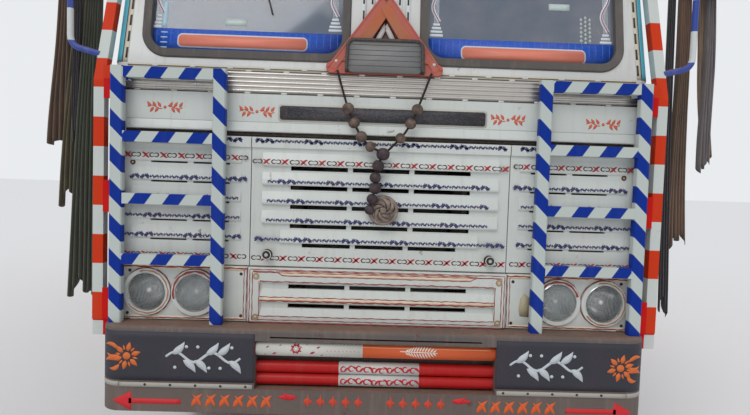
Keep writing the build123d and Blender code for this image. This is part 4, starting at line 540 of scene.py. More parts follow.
# %% [markdown]
# Rubber, glass, wood and cloth each have their own grain: rubber is matt with pale dust in it, the windscreens
# are dark glass with a film of dust, the load floor is worn planks, and cloth is a weave of two threads.

# %% Rubber, glass, wood and cloth
def rubber(name, shade, soil=0.5, soil_top=0.9):
    """Matt black rubber with a fine grain and soil rubbed in."""
    return weathered(name, shade, rough=0.78, soil=soil, soil_top=soil_top, ledge=0.4, streaks=0.2, fade=0.3,
                     grain=0.9, specular=0.3)


def glass(name, tint, alpha, rough=0.06, dust=0.25):
    """Tinted glass: a glossy coat over a see-through body, greyed by a film of dust in blotches."""
    f = Finish(name)
    film = f.between(f.noise(3.5, 6.0), 0.4, 0.8, 0.0, dust)
    f.feed("Base Color", f.mix(film, tint, DUST))
    f.feed("Alpha", f.maths("ADD", alpha, f.maths("MULTIPLY", film, 0.5), clamp=True))
    f.feed("Roughness", f.between(film, 0.0, 0.3, rough, 0.35))
    f.feed("Coat Weight", 0.6)
    f.feed("Coat Roughness", 0.04)
    f.feed("Specular IOR Level", 0.7)
    return f.material


def planks(name, along, pitch, light_wood, dark_wood):
    """Boards: grain is noise stretched along them, and a dark joint line falls on every pitch."""
    f = Finish(name)
    stretch = [28.0, 28.0, 28.0]
    stretch[along] = 1.2
    grain = f.noise(1.0, 7.0, stretch=tuple(stretch), roughness=0.65)
    across = f.axes[1 - along if along < 2 else 1]
    board = f.maths("MULTIPLY", across, 1 / pitch)
    shade = f.add("ShaderNodeTexWhiteNoise", None, f.maths("FLOOR", board), noise_dimensions="1D").outputs[0]
    wood = f.mix(f.between(grain, 0.3, 0.75), light_wood, dark_wood)
    wood = f.mix(f.maths("MULTIPLY", shade, 0.35), wood, srgb(70, 56, 46))
    joint = f.maths("LESS_THAN", f.maths("FRACT", board), 0.04)
    f.feed("Base Color", f.mix(f.maths("MULTIPLY", f.noise(4.0, 6.0), 0.55), f.mix(joint, wood, srgb(24, 18, 14)),
                               SOIL))
    f.feed("Roughness", 0.85)
    f.relief(f.maths("SUBTRACT", grain, f.maths("MULTIPLY", joint, 2.0)), 0.002)
    return f.material


def woven(name, colour, thread=0.0016, stain=SOIL, sheen=0.3, rough=0.9, stains=0.6):
    """Cloth: warp and weft are two waves along the sheet's own UV map in metres, with stains and fading."""
    f = Finish(name)
    cloth_map = f.add("ShaderNodeUVMap", uv_map="cloth")
    u, v, _ = f.add("ShaderNodeSeparateXYZ", cloth_map.outputs[0]).outputs
    warp = f.maths("SINE", f.maths("MULTIPLY", u, 2 * math.pi / thread))
    weft = f.maths("SINE", f.maths("MULTIPLY", v, 2 * math.pi / thread))
    weave = f.maths("MULTIPLY", warp, weft)
    cloud = f.noise(4.0, 6.0)
    dark = tuple(c * 0.45 for c in colour[:3]) + (1.0,)
    base = f.mix(f.between(f.noise(9.0, 6.0, stretch=(6, 6, 0.7)), 0.4, 0.75, 0.0, 0.8), colour, dark)
    base = f.mix(f.between(cloud, 0.42, 0.75, 0.0, stains), base, stain)
    base = f.mix(f.between(weave, -1.0, 1.0, 0.18, 0.0), base, (0.02, 0.018, 0.015, 1))
    f.feed("Base Color", base)
    f.feed("Roughness", rough)
    f.feed("Sheen Weight", sheen)
    f.relief(f.maths("ADD", f.maths("MULTIPLY", weave, 0.5), cloud), 0.0008)
    return f.material


tyre_rubber = rubber("tyre_rubber", srgb(46, 44, 44))
seal_rubber = rubber("seal_rubber", srgb(84, 82, 80), soil=0.2, soil_top=2.4)
flap_rubber = rubber("flap_rubber", srgb(40, 38, 38))
black_rubber = rubber("black_rubber", srgb(30, 29, 30), soil=0.1)
screen_glass = glass("screen_glass", srgb(92, 104, 122), 0.8, dust=0.3)
door_pane = glass("door_pane", srgb(70, 82, 88), 0.42)
load_planks = planks("load_planks", 1, 0.148, srgb(150, 118, 84), srgb(92, 68, 48))
print("finishes:", len(bpy.data.materials))

# %% [markdown]
# ## Dressing the CAD nodes
# Where a solid already has its real form it stays, and only its finish is assigned. The mesh isn't touched.

# %% CAD nodes
DRESS = {
    chassis_paint: ("chassis_frame", "spare_carrier", "battery_box", "rear_bar", "body_bearers"),
    spring_steel: ("leaf_springs",),
    cast_iron: ("front_axle", "rear_axle", "knuckle_left", "knuckle_right", "tie_rod"),
    engine_iron: ("powertrain", "propshaft"),
    tank_paint: ("fuel_tank",),
    exhaust_steel: ("exhaust",),
    tyre_rubber: ("spare_tyre", "front_tyre_left", "front_tyre_right", "rear_tyres_left", "rear_tyres_right"),
    wheel_paint: ("front_wheel_left", "front_wheel_right", "rear_wheel_left", "rear_wheel_right"),
    cab_paint: ("cab_front", "cab_sides", "cab_back", "cab_roof", "door_left", "door_right"),
    lining: ("cab_floor", "seats"),
    dash_plastic: ("dashboard", "steering_wheel"),
    screen_glass: ("windscreens",),
    door_pane: ("door_glass_left", "door_glass_right"),
    seal_rubber: ("windscreen_seals",),
    panel_paint: ("grille_flap", "face_panels"),
    chrome: ("headlamps",),
    stainless: ("fluted_trim",),
    bumper_paint: ("front_bumper",),
    tube_paint: ("bumper_tubes",),
    ladder_paint: ("ladder_frames",),
    pole_paint: ("marker_poles",),
    mirror_shell: ("mirrors",),
    triangle_paint: ("warning_triangle",),
    crown_paint: ("roof_crown",),
    load_planks: ("body_floor",),
    body_paint: ("body_sides", "headboard", "tailgate"),
    flap_rubber: ("mud_flaps",),
    black_rubber: ("garland_strings", "garland_beads", "side_rolls"),
}


def dress(name, finish):
    """Puts one finish on a CAD node in place of what it was packed with."""
    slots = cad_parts[name].data.materials
    slots.clear()
    slots.append(finish)


dressed = [dress(name, finish) or name for finish, names in DRESS.items() for name in names]
print("dressed", len(dressed), "of", len(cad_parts), "missing", sorted(set(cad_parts) - set(dressed)))

# %% [markdown]
# ## The garland's cords
# A string of dark beads hangs from the feet of the warning triangle: two rows meet at a knot, and a tail
# hangs below it. A cord is a smooth curve through few control points, so each is one NURBS spline of order
# three over the route's points, and the beads are threaded at points read back from that spline.

# %% Cords
def route_spline(name, route, thick):
    """A cord as a curve of one open NURBS spline with the route's points, in millimetres, as control points."""
    curve = bpy.data.curves.new(name, "CURVE")
    curve.dimensions = "3D"
    spline = curve.splines.new("NURBS")
    spline.points.add(len(route) - 1)
    weighted = np.column_stack([np.array(route, float) * MM, np.ones(len(route))])
    spline.points.foreach_set("co", weighted.ravel())
    spline.order_u = 3
    spline.use_endpoint_u = True
    spline.resolution_u = 8
    made = bpy.data.objects.new(name, curve)
    bpy.context.scene.collection.objects.link(made)
    line = read_line(made)
    curve.bevel_depth = thick / 2 * MM
    curve.bevel_resolution = 3
    curve.use_fill_caps = True
    return made, line


def read_line(made):
    """The points of a curve that has no bevel yet, as the curve itself gives them."""
    mesh = bpy.data.meshes.new_from_object(made)
    points = read_points(mesh)
    bpy.data.meshes.remove(mesh)
    return points


GARLAND_Y = Y0 + 62
HOOK_Y, HOOK_Z = Y0 + 94.6, 2001
RIGHT_BEADS = ((-158, 1836, 26), (-128, 1774, 25), (-96, 1714, 25), (-56, 1668, 23))
LEFT_BEADS = ((148, 1836, 25), (120, 1772, 24), (82, 1712, 23))
TAIL = ((26, -22), (25, -13), (26, 5), (24, -18), (22, -10))
KNOT = np.array([4.0, GARLAND_Y, 1640.0])
KNOT_RADIUS, STRING = 29, 10
REACH = KNOT_RADIUS - STRING / 2


def row_route(side, beads):
    """From the hook at the triangle's foot through the row's beads to the knot."""
    hook = [(side * 207, HOOK_Y, HOOK_Z)]
    middle = [(x, GARLAND_Y, z) for x, z, _ in beads]
    return hook + middle + [tuple(KNOT + (side * 0.8 * REACH, 0, 0.6 * REACH))]


def tail_route():
    """Down from the knot: each bead touches the last, along its own lean: step = both radii."""
    radii = np.array([KNOT_RADIUS] + [r for r, _ in TAIL], float)
    lean = np.radians([a for _, a in TAIL])
    way = np.column_stack([np.sin(lean), np.zeros(len(TAIL)), -np.cos(lean)])
    steps = way * (radii[:-1] + radii[1:] + 0.3)[:, None]
    return [tuple(KNOT + way[0] * REACH)] + [tuple(p) for p in KNOT + np.cumsum(steps, 0)]


def twisted(name, colour, dark, strand=0.009):
    """Laid cord: strands run round it on a slant, so the shade is sin(2 pi (x + z) / strand)."""
    f = Finish(name)
    slant = f.maths("ADD", f.axes[0], f.axes[2])
    lay = f.maths("SINE", f.maths("MULTIPLY", slant, 2 * math.pi / strand))
    cloud = f.noise(30.0, 5.0)
    f.feed("Base Color", f.mix(f.between(f.maths("ADD", lay, cloud), -0.8, 1.4), dark, colour))
    f.feed("Roughness", 0.88)
    f.relief(f.maths("ADD", lay, cloud), 0.0016)
    return f.material


cord_brown = twisted("cord_brown", srgb(58, 42, 38), srgb(24, 16, 16))
right_cord, right_line = route_spline("garland_cord_right", row_route(-1, RIGHT_BEADS), STRING)
left_cord, left_line = route_spline("garland_cord_left", row_route(1, LEFT_BEADS), STRING)
tail_cord, tail_line = route_spline("garland_cord_tail", tail_route(), STRING)
CORDS = ((right_cord, right_line), (left_cord, left_line), (tail_cord, tail_line))
for made, line in CORDS:
    made.data.materials.append(cord_brown)
    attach(made, "garland")
    print(made.name, "is", round(float(np.linalg.norm(np.diff(line, axis=0), axis=1).sum()), 3), "m long")

# %% [markdown]
# A bead is a turned wooden ball: nearly a sphere, a little flat where the cord enters, with shallow lobes
# that the polish has worn round. The knot is the same ball, larger. The ring at the end is a rosette: a
# hoop with crescent blades that wind in towards a square middle.

# %% Beads and rosette
def bead(centre, radius, along):
    """A ball whose radius is R * (1 - 0.06 cos^8 p) * (1 + 0.018 cos 8 a), p from the cord and a round it."""
    p, a = np.meshgrid(np.linspace(0.12, np.pi - 0.12, 14), np.linspace(0, 2 * np.pi, 24, endpoint=False),
                       indexing="ij")
    r = radius * (1 - 0.06 * np.cos(p) ** 8) * (1 + 0.018 * np.cos(8 * a) * np.sin(p))
    along = np.array(along, float) / np.linalg.norm(along)
    across = np.cross(along, (0, 1, 0))
    across /= np.linalg.norm(across)
    up = np.cross(along, across)
    ball = (np.cos(p)[..., None] * along + (np.sin(p) * np.cos(a))[..., None] * across
            + (np.sin(p) * np.sin(a))[..., None] * up)
    return closed(np.array(centre, float) + ball * r[..., None])


def threaded(line, beads):
    """Beads at the spline's points nearest to where each was planned, turned along the cord there."""
    line = line / MM
    shapes = []
    for x, z, radius in beads:
        near = int(np.argmin(np.hypot(line[:, 0] - x, line[:, 2] - z)))
        way = line[min(near + 1, len(line) - 1)] - line[max(near - 1, 0)]
        shapes.append(bead(line[near], radius, way))
    return shapes


def bead_wood(name, colour, dark):
    """Polished wood gone dull: mottled lighter and darker by noise."""
    f = Finish(name)
    cloud = f.noise(38.0, 6.0)
    f.feed("Base Color", f.mix(f.between(cloud, 0.35, 0.7), colour, dark))
    f.feed("Roughness", f.between(cloud, 0.3, 0.7, 0.5, 0.8))
    f.relief(cloud, 0.003)
    return f.material


light_beads = bead_wood("bead_brown", srgb(112, 92, 80), srgb(52, 40, 36))
dark_beads = bead_wood("bead_dark", srgb(70, 54, 58), srgb(34, 26, 30))
tail_places = [(p[0], p[2], r) for p, (r, _) in zip(tail_route()[1:], TAIL)]
right_row = piece("garland_beads_right", gather(threaded(right_line, RIGHT_BEADS)), light_beads,
                  "garland", smooth=60)
left_row = piece("garland_beads_left", gather(threaded(left_line, LEFT_BEADS)), light_beads,
                 "garland", smooth=60)
tail_row = piece("garland_beads_tail",
                 gather(threaded(tail_line, tail_places) + [bead(KNOT, KNOT_RADIUS, (0, 0, 1))]),
                 dark_beads, "garland", smooth=60)


def rosette(centre, reach):
    """A hoop of radius R - 8 and seven crescents: radius and angle grow together, thick in the middle."""
    turn = np.linspace(0, 2 * np.pi, 49)
    rim = np.column_stack([np.cos(turn), np.zeros(49), np.sin(turn)]) * (reach - 8) + centre
    shapes = [bar(rim, 8, 10)]
    share = np.linspace(0, 1, 16)
    for start in np.arange(7) * 2 * np.pi / 7:
        angle = start + share * 2.0
        radius = reach * (0.22 + 0.66 * share)
        line = np.column_stack([radius * np.cos(angle), -6 * np.sin(share * np.pi), radius * np.sin(angle)]) + centre
        shapes.append(bar(line, 2.5 + 6.5 * np.sin(share * np.pi), 8))
    shapes.append(block(np.array(centre) - (13, 11, 13), np.array(centre) + (13, 7, 13), 4))
    return gather(shapes)


last = tail_places[-1]
RING_CENTRE = np.array([last[0] + 60, GARLAND_Y + 12, last[1]])
rosette_bone = bead_wood("rosette_bone", srgb(150, 134, 122), srgb(88, 72, 64))
ring_piece = piece("garland_rosette", rosette(RING_CENTRE, 67), rosette_bone, "garland", smooth=50)
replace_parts(tail_row, "garland_beads")
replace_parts(tail_cord, "garland_strings")
tuple(right_line[0])
tuple(left_line[0])
tuple(tail_line[0])
print("garland: rosette at", np.round(RING_CENTRE).tolist())

# %% [markdown]
# ## Brushwork
# The truck is covered with hand-painted lines, leaves and scrolls. A brush mark is a centre line in a panel's
# own plane with a width at each point. It becomes a thin closed film that lies on the panel, so it has real
# thickness, and one function of the panel says how the flat drawing bends onto hoods, tubes and corners.
# The paint film carries its colours as an attribute of the mesh, so one finish serves every colour.

# %% Brush marks
def paint_film(name="paint_film", rough=0.42, wear=0.35):
    """Signwriter's enamel: its colour comes from the mesh, faded in blotches and dusted."""
    f = Finish(name)
    tint = f.add("ShaderNodeAttribute", attribute_name="tint").outputs["Color"]
    cloud = f.noise(6.0, 6.0)
    brush = f.noise(90.0, 4.0, stretch=(1, 1, 3))
    base = f.mix(f.between(brush, 0.45, 0.8, 0.0, wear), tint, DUST)
    base = f.mix(f.between(cloud, 0.5, 0.8, 0.0, wear * 0.7), base, SOIL)
    f.feed("Base Color", base)
    f.feed("Roughness", f.between(brush, 0.3, 0.8, rough, 0.8))
    f.relief(brush, 0.0006)
    return f.material


PANEL_FACE, WALL_FACE, CAB_HALF, CORNER_R = 112, 130, 1200, 66
BELT_TOP, SLANT_TALL, SLANT_BACK, SLANT_IN = 2010, 780, 138, 35
SLOPE = math.atan2(SLANT_BACK, SLANT_TALL)
BUMPER_BEND, BUMPER_R = 1102, 95


def on_face(deep):
    """A plane across the cab at a depth in millimetres behind the bumper's face: (x, z) -> (x, y, z)."""
    return lambda flat, lift: np.column_stack([flat[:, 0], np.full(len(flat), Y0 + deep) - lift,
                                               flat[:, 1]])


def on_hood(slot_z, lip):
    """The louvre hood above a slot: its depth falls from the lip to the panel over 58 mm of height."""
    low = slot_z + 9.5

    def place(flat, lift):
        proud = np.interp(flat[:, 1], [low, low + 7, low + 24, low + 58], [lip - 3, lip, lip * 0.75, 0])
        proud = proud * (np.abs(flat[:, 0]) < 1101)
        return np.column_stack([flat[:, 0], Y0 + PANEL_FACE - proud - lift, flat[:, 1]])

    return place


def on_screen(off):
    """The slanted front above the belt: (x, s) -> s up the slope, off in front of it."""
    def place(flat, lift):
        s, out = flat[:, 1], off + lift
        y = Y0 + WALL_FACE + s * math.sin(SLOPE) - out * math.cos(SLOPE)
        return np.column_stack([flat[:, 0], y, BELT_TOP + s * math.cos(SLOPE) + out * math.sin(SLOPE)])

    return place


def on_tube(centre_z, centre_deep, radius):
    """A tube along X: (x, s) with s measured round the tube, up from its foremost line."""
    def place(flat, lift):
        turn = flat[:, 1] / radius
        y = Y0 + centre_deep - (radius + lift) * np.cos(turn)
        return np.column_stack([flat[:, 0], y, centre_z + (radius + lift) * np.sin(turn)])

    return place


def on_bumper(proud=0.0):
    """The bumper's face, with x running on round its corners of radius 95 mm."""
    def place(flat, lift):
        run = np.abs(flat[:, 0])
        turn = np.clip((run - BUMPER_BEND) / BUMPER_R, 0, math.pi / 2)
        past = np.clip(run - BUMPER_BEND - BUMPER_R * math.pi / 2, 0, None)
        reach = BUMPER_R + lift + proud
        x = np.where(run < BUMPER_BEND, run, BUMPER_BEND + reach * np.sin(turn))
        y = Y0 + BUMPER_R - reach * np.cos(turn) + past
        return np.column_stack([np.sign(flat[:, 0]) * x, y, flat[:, 1]])

    return place


def brush(line, width, place, film=0.6):
    """A closed film over a centre line: its edges are line +- normal * width / 2, front and back."""
    line = np.asarray(line, float)
    ahead = np.gradient(line, axis=0)
    ahead /= np.maximum(np.linalg.norm(ahead, axis=1, keepdims=True), 1e-9)
    normal = np.column_stack([-ahead[:, 1], ahead[:, 0]])
    half = np.broadcast_to(np.asarray(width, float) / 2, len(line))[:, None]
    edges = line + normal * half, line - normal * half
    rings = [place(edges[0], film), place(edges[1], film), place(edges[1], -0.2), place(edges[0], -0.2)]
    return closed(np.stack(rings, axis=1))


def tinted(shapes, colour):
    """A list of shapes with one colour, ready for painted()."""
    return [(shape, colour) for shape in shapes]


def painted(name, coloured, body="truck", finish=None):
    """One piece from many coloured shapes; each point carries its shape's colour as the tint attribute."""
    made = piece(name, gather([s for s, _ in coloured]), finish or FILM, body, smooth=0)
    counts = [len(s[0]) for s, _ in coloured]
    tint = np.repeat(np.array([c for _, c in coloured], np.float32), counts, axis=0)
    layer = made.data.attributes.new("tint", "FLOAT_COLOR", "POINT")
    layer.data.foreach_set("color", np.ascontiguousarray(tint).ravel())
    return made


FILM = paint_film()
NAVY, ORANGE = srgb(38, 46, 104), srgb(222, 92, 34)
WHITE = srgb(222, 224, 226)
print("brush ready")

# %% [markdown]
# The signwriter's rows: navy scroll bands run above the louvres and red chains close the field at top and
# bottom. Each is a short traditional motif repeated along the row: a vine that follows a sine with leaves at its
# crests, and for the chain, crossed strokes between open links.

# %% Motifs of the rows
UNIT = 43.0


def leafy_unit(pitch):
    """One pitch of bold vine: z = 6 sin(2 pi x / pitch) under two fat leaves that cross it, and two curls."""
    x = np.linspace(0, pitch, 13)
    lines = [(np.column_stack([x, 6.0 * np.sin(2 * np.pi * x / pitch)]), 4.6)]
    t = np.linspace(0, 1, 7)
    for start, rise in ((0.04, 1), (0.52, -1)):
        fat = np.column_stack([pitch * (start + 0.42 * t), rise * (-10 + 21 * t)])
        lines.append((fat, 1.2 + 10.5 * np.sin(t * np.pi) ** 0.7))
    for start, rise in ((0.28, -1), (0.78, 1)):
        turn = np.linspace(0, 1.5 * np.pi, 9)
        curl = np.column_stack([pitch * start + 6 * np.cos(turn), rise * (-7 + 5 * np.sin(turn))])
        lines.append((curl, 3.0))
    return lines


def light_unit(pitch):
    """The light stretch: two small waves, and upright and slanting ticks between them."""
    x = np.linspace(0, pitch, 15)
    lines = [(np.column_stack([x, 4.0 * np.sin(4 * np.pi * x / pitch)]), 3.2)]
    for at, lean, tall in ((0.14, 3, 7), (0.38, -4, 6), (0.6, 4, 7), (0.86, 0, 6)):
        lines.append((np.array([[pitch * at - lean, -tall], [pitch * at, 0], [pitch * at + lean, tall]]), 4.2))
    return lines


def chain_unit(pitch):
    """One link of chain: two open loops, each three quarters of an oval, and a crossed pair of bold strokes."""
    turn = np.linspace(0.2 * np.pi, 1.8 * np.pi, 13)
    loops = []
    for at, way in ((0.19, 1), (0.42, -1)):
        oval = np.column_stack([pitch * at + way * 0.13 * pitch * np.cos(turn), 8.5 * np.sin(turn)])
        loops.append((oval, 2.2 + 3.2 * np.sin(np.linspace(0, np.pi, 13))))
    s = np.linspace(0, 1, 9)
    up = np.column_stack([pitch * (0.55 + 0.44 * s), -11 * np.cos(np.pi * s)])
    down = np.column_stack([pitch * (0.58 + 0.38 * s), 10 * np.cos(np.pi * s)])
    return loops, [(up, 3.0 + 7 * np.sin(np.pi * s)), (down, 2.4 + 4 * np.sin(np.pi * s))]


def row(unit, starts, z, pitch, place, film=0.6):
    """A unit's marks repeated at each start along a row at height z."""
    offsets = np.column_stack([starts, np.zeros(len(starts)), np.zeros(len(starts))])
    return [repeated(brush(line + (0, z), width, place, film), offsets) for line, width in unit(pitch)]


def vine_row(span, z, place, shift=0.0):
    """Two leafy pitches and three light ones by turns, from a start that differs row by row."""
    starts = np.arange(span[0] - 5 * UNIT + shift % UNIT, span[1] - UNIT + 1, UNIT)
    kind = (np.arange(len(starts)) + int(shift // UNIT)) % 5
    inside = starts >= span[0] - 1
    return row(leafy_unit, starts[inside & (kind < 2)], z, UNIT, place) + row(
        light_unit, starts[inside & (kind >= 2)], z, UNIT, place)


def chain_row(span, z, place):
    """Dark links with red crossed strokes."""
    count = round((span[1] - span[0]) / 82.0)
    pitch = (span[1] - span[0]) / count
    starts = span[0] + pitch * np.arange(count)
    dark = row(lambda p: chain_unit(p)[0], starts, z, pitch, place)
    red = row(lambda p: chain_unit(p)[1], starts, z, pitch, place)
    return tinted(dark, srgb(70, 22, 36)) + tinted(red, srgb(172, 20, 38))


TOP_STRIP = on_face(102.6)
FLAP_SLOTS = 1224 + 85.5 * np.arange(5)
flap_marks = tinted(vine_row((-572, 572), 1684, TOP_STRIP, 12), NAVY)
flap_marks += tinted(vine_row((-572, 572), FLAP_SLOTS[0] + 25, on_hood(FLAP_SLOTS[0], 15), 60), NAVY)
for k, slot_z in enumerate(FLAP_SLOTS[1:4]):
    flap_marks += tinted(vine_row((-520, 520), slot_z + 25, on_hood(slot_z, 15), 100 + 45 * k), NAVY)
flap_marks += chain_row((-572, 572), FLAP_SLOTS[4] + 27, on_hood(FLAP_SLOTS[4], 15))
flap_marks += chain_row((-572, 572), 1163, on_face(PANEL_FACE))
painted("flap_ornament", flap_marks, "grille_flap")

SIDE_SLOTS = FLAP_SLOTS + 6
side_marks = tinted(vine_row((586, 1138), 1684, TOP_STRIP, 30), NAVY)
for k, slot_z in enumerate(SIDE_SLOTS[:4]):
    side_marks += tinted(vine_row((588, 1138), slot_z + 25, on_hood(slot_z, 7), 70 + 50 * k), NAVY)
side_marks += chain_row((588, 1136), SIDE_SLOTS[4] + 34, on_hood(SIDE_SLOTS[4], 7))
side_marks += chain_row((588, 1136), 1166, on_face(PANEL_FACE))
painted("side_ornament_left", side_marks)
painted("side_ornament_right", [(mirrored(s), c) for s, c in side_marks])
print("rows of marks:", len(flap_marks), "on the flap,", len(side_marks), "on each side")

# %% [markdown]
# ## Tyres
# A lorry tyre is a closed tube round the wheel: bead, swelling sidewall, square shoulder and tread. The tread
# has three zigzag grooves, and lugs cut its shoulders. The grid's own lines follow the zigzag, so the groove
# walls are crisp with few faces: every ring shifts sideways by the same saw wave.

# %% Tyres
TYRE_R = 515


def tyre(centre, turn=0.0):
    """A tyre about X: profile points (x, r) swept round, grooves shifted by a saw wave, lugs cut by steps."""
    side = [(88, 262), (100, 274), (116, 300), (121, 306), (124, 316), (133, 350), (137, 390), (135.5, 430),
            (132, 436), (131, 444), (126, 470), (116, 494), (108, 507)]
    half = [(104, 512, 0, 1), (82, 514.5, 0, 1), (79, 514.6, 0, 0)]
    grooves = []
    for middle in (54, 0, -54):
        grooves += [(middle + 6.5, TYRE_R, 1, 0), (middle + 4, 502, 1, 0), (middle - 4, 502, 1, 0),
                    (middle - 6.5, TYRE_R, 1, 0)]
    outer = [(x, r, 0, 0) for x, r in side] + half + grooves
    outer += [(-x, r, s, c) for x, r, s, c in half[::-1]] + [(-x, r, 0, 0) for x, r in side[::-1]]
    inside = ((-100, 300), (-118, 390), (-96, 480), (0, 494), (96, 480), (118, 390), (100, 300))
    inner = [(x, r, 0, 0) for x, r in inside]
    x, r, saw, cut = np.array(outer + inner, float).T
    pitches = 44
    step = np.tile([0.0, 0.42, 0.5, 0.92], pitches) + np.repeat(np.arange(pitches), 4)
    angle = step * 2 * np.pi / pitches + turn
    shift = np.tile([-6.0, 5.0, 6.0, -5.0], pitches)
    lug = np.tile([1.0, 1.0, 0.0, 0.0], pitches)
    wide = x + shift[:, None] * saw
    radius = r - 10 * cut * (1 - lug[:, None])
    grid = np.stack([wide, radius * np.cos(angle)[:, None], radius * np.sin(angle)[:, None]], -1) + centre
    points, faces = surface(grid, close_u=True, close_v=True)
    return points * MM, turned_out(points - np.array(centre), faces)


FRONT_AXLE, REAR_AXLE = -2820, 1930
TYRES = {
    "front_left": ("front_wheel_left", [1040], FRONT_AXLE, "front_tyre_left"),
    "front_right": ("front_wheel_right", [-1040], FRONT_AXLE, "front_tyre_right"),
    "rear_left": ("rear_wheel_left", [740, 1060], REAR_AXLE, "rear_tyres_left"),
    "rear_right": ("rear_wheel_right", [-740, -1060], REAR_AXLE, "rear_tyres_right"),
}
for place, (body, wheel_xs, axle_y, node) in TYRES.items():
    shape = gather([tyre((x, axle_y, TYRE_R), 0.07 * k) for k, x in enumerate(wheel_xs)])
    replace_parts(piece("tyre_" + place, shape, tyre_rubber, body, smooth=35), node)
flat_tyre, flat_faces = tyre((0, 0, 0))
spare = flat_tyre[:, [1, 2, 0]] + np.array([0, 3140, 500]) * MM
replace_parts(piece("tyre_spare", (spare, flat_faces), tyre_rubber, smooth=35), "spare_tyre")
print("one tyre has", len(flat_faces), "faces")

# %% [markdown]
# ## Hanging cloths
# Gathered cloths hang beside both poles, tied to a short bar: brown, olive and green, dark with dust. Gathered cloth
# keeps its length across the folds: where it is narrow its folds are deep. So the fold depth at each height
# comes from the width there, `depth = sqrt(cut width ** 2 - hanging width ** 2) / (4 * folds)`.

# %% Hanging cloths
def cloth_map(made, across, down):
    """The piece's own map in metres: u across the cut, v down it, one value a corner of each face."""
    corner = np.zeros(len(made.data.loops), np.int32)
    made.data.loops.foreach_get("vertex_index", corner)
    layer = made.data.uv_layers.new(name="cloth")
    layer.data.foreach_set("uv", np.column_stack([across, down])[corner].astype(np.float32).ravel())


def gathered(name, top, foot, widths, cut, folds, finish, hem, phase=0.0, turn=0.35):
    """A hanging cloth: a sine of folds across, whose line goes from top to foot and widens by three widths.

    Point (u, v): centre(v) + width(v) (u - 1/2) across + depth(v) sin(2 pi folds u + slow drift of v), and
    the hem's height varies with u by the given amount."""
    u, v = np.meshgrid(np.linspace(0, 1, folds * 12 + 1), np.linspace(0, 1, 46), indexing="ij")
    top, foot = np.array(top, float), np.array(foot, float)
    width = np.interp(v, [0, 0.12, 0.5, 1], widths)
    depth = np.sqrt(np.maximum(cut ** 2 - width ** 2, 0)) / (4.1 * folds)
    wave = 2 * np.pi * folds * u + phase + 1.3 * np.sin(2.1 * v + 3 * u) + 0.5 * np.sin(7 * v + 9 * u)
    down = v * (1 + hem * (np.sin(5.3 * u + phase) * 0.6 + 0.4 * np.sin(13 * u)) * v)
    middle = top + (foot - top) * down[..., None]
    sway = 9 * np.sin(5 * v + phase) * v
    off_x = width * (u - 0.5) + depth * 0.28 * np.cos(wave) + sway
    off_y = depth * np.sin(wave) + width * (u - 0.5) * turn
    grid = middle + np.stack([off_x, off_y, np.zeros_like(u)], -1)
    made = mesh_object(name, surface(grid * MM), smooth=80)
    flat = np.linalg.norm(np.diff(grid, axis=0), axis=-1).sum(0)
    long = np.linalg.norm(np.diff(grid, axis=1), axis=-1).sum(1)
    cloth_map(made, (u * cut * MM).ravel(), (v * (top[2] - foot[2]) * MM).ravel())
    made.data.materials.append(finish)
    thick = made.modifiers.new("thickness", "SOLIDIFY")
    thick.thickness = 0.0016
    thick.offset = 0
    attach(made, "truck")
    print(name, "across", round(flat.mean() / 1000, 3), "down", round(long.mean() / 1000, 3))
    return made, (flat.mean() * MM, long.mean() * MM)


brown_cloth = woven("cloth_brown", srgb(98, 76, 58), thread=0.004, stains=0.35)
olive_cloth = woven("cloth_olive", srgb(92, 84, 56), thread=0.004, stain=srgb(70, 52, 42), stains=0.5)
green_cloth = woven("cloth_green", srgb(66, 74, 56), thread=0.004, stain=srgb(60, 48, 42), stains=0.5)
dark_cloth = woven("cloth_dark", srgb(42, 36, 44), thread=0.003, stain=srgb(28, 26, 30), stains=0.5)
tan_cloth = woven("cloth_tan", srgb(150, 124, 100), thread=0.004, stain=srgb(104, 80, 64), stains=0.5)
grey_cloth = woven("cloth_grey", srgb(120, 112, 112), thread=0.003, stain=srgb(84, 74, 72), stains=0.4)
BAR_FOOT = 2574
CLOTHS = (
    ("cloth_brown_right", (-1462, 282), (-1512, 330, 1668), (70, 62, 84, 118), 430, 6, brown_cloth, 0.03, 0.4),
    ("cloth_olive_right", (-1372, 276), (-1478, 322, 1400), (52, 58, 66, 78), 360, 5, olive_cloth, 0.05, 1.7),
    ("cloth_green_right", (-1330, 270), (-1412, 300, 952), (44, 52, 78, 108), 420, 6, green_cloth, 0.04, 2.6),
    ("cloth_dark_right", (-1418, 262), (-1424, 282, 1700), (34, 38, 30, 22), 200, 4, dark_cloth, 0.05, 0.9),
    ("cloth_tan_left", (1492, 284), (1572, 322, 1700), (66, 66, 54, 60), 330, 5, tan_cloth, 0.03, 2.2),
    ("cloth_grey_left", (1520, 262), (1560, 296, 1640), (40, 40, 56, 60), 260, 4, grey_cloth, 0.04, 0.2),
    ("cloth_brown_left", (1408, 276), (1452, 316, 1268), (56, 60, 66, 108), 420, 6, brown_cloth, 0.04, 1.1),
    ("cloth_dark_left", (1342, 268), (1384, 286, 946), (36, 40, 44, 56), 240, 4, dark_cloth, 0.04, 2.9),
)
ties = []
for name, top, foot, widths, cut, folds, finish, hem, phase in CLOTHS:
    start = (top[0], Y0 + top[1], BAR_FOOT)
    end = (foot[0], Y0 + foot[1], foot[2])
    made, flat = gathered(name, start, end, widths, cut, folds, finish, hem, phase)
    if name == "cloth_brown_right":
        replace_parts(made, "side_rolls")
    loop = np.linspace(0, 2 * np.pi, 25)
    middle = np.array([top[0], Y0 + 282 + (top[1] - 282) * 0.3, 2577])
    for shift in (-widths[0] * 0.3, widths[0] * 0.3):
        round_bar = np.column_stack([np.full(25, shift), 24 * np.cos(loop), 34 * np.sin(loop)]) + middle
        ties.append(bar(round_bar, 3.0, 6))
piece("cloth_ties", gather(ties), black_rubber)
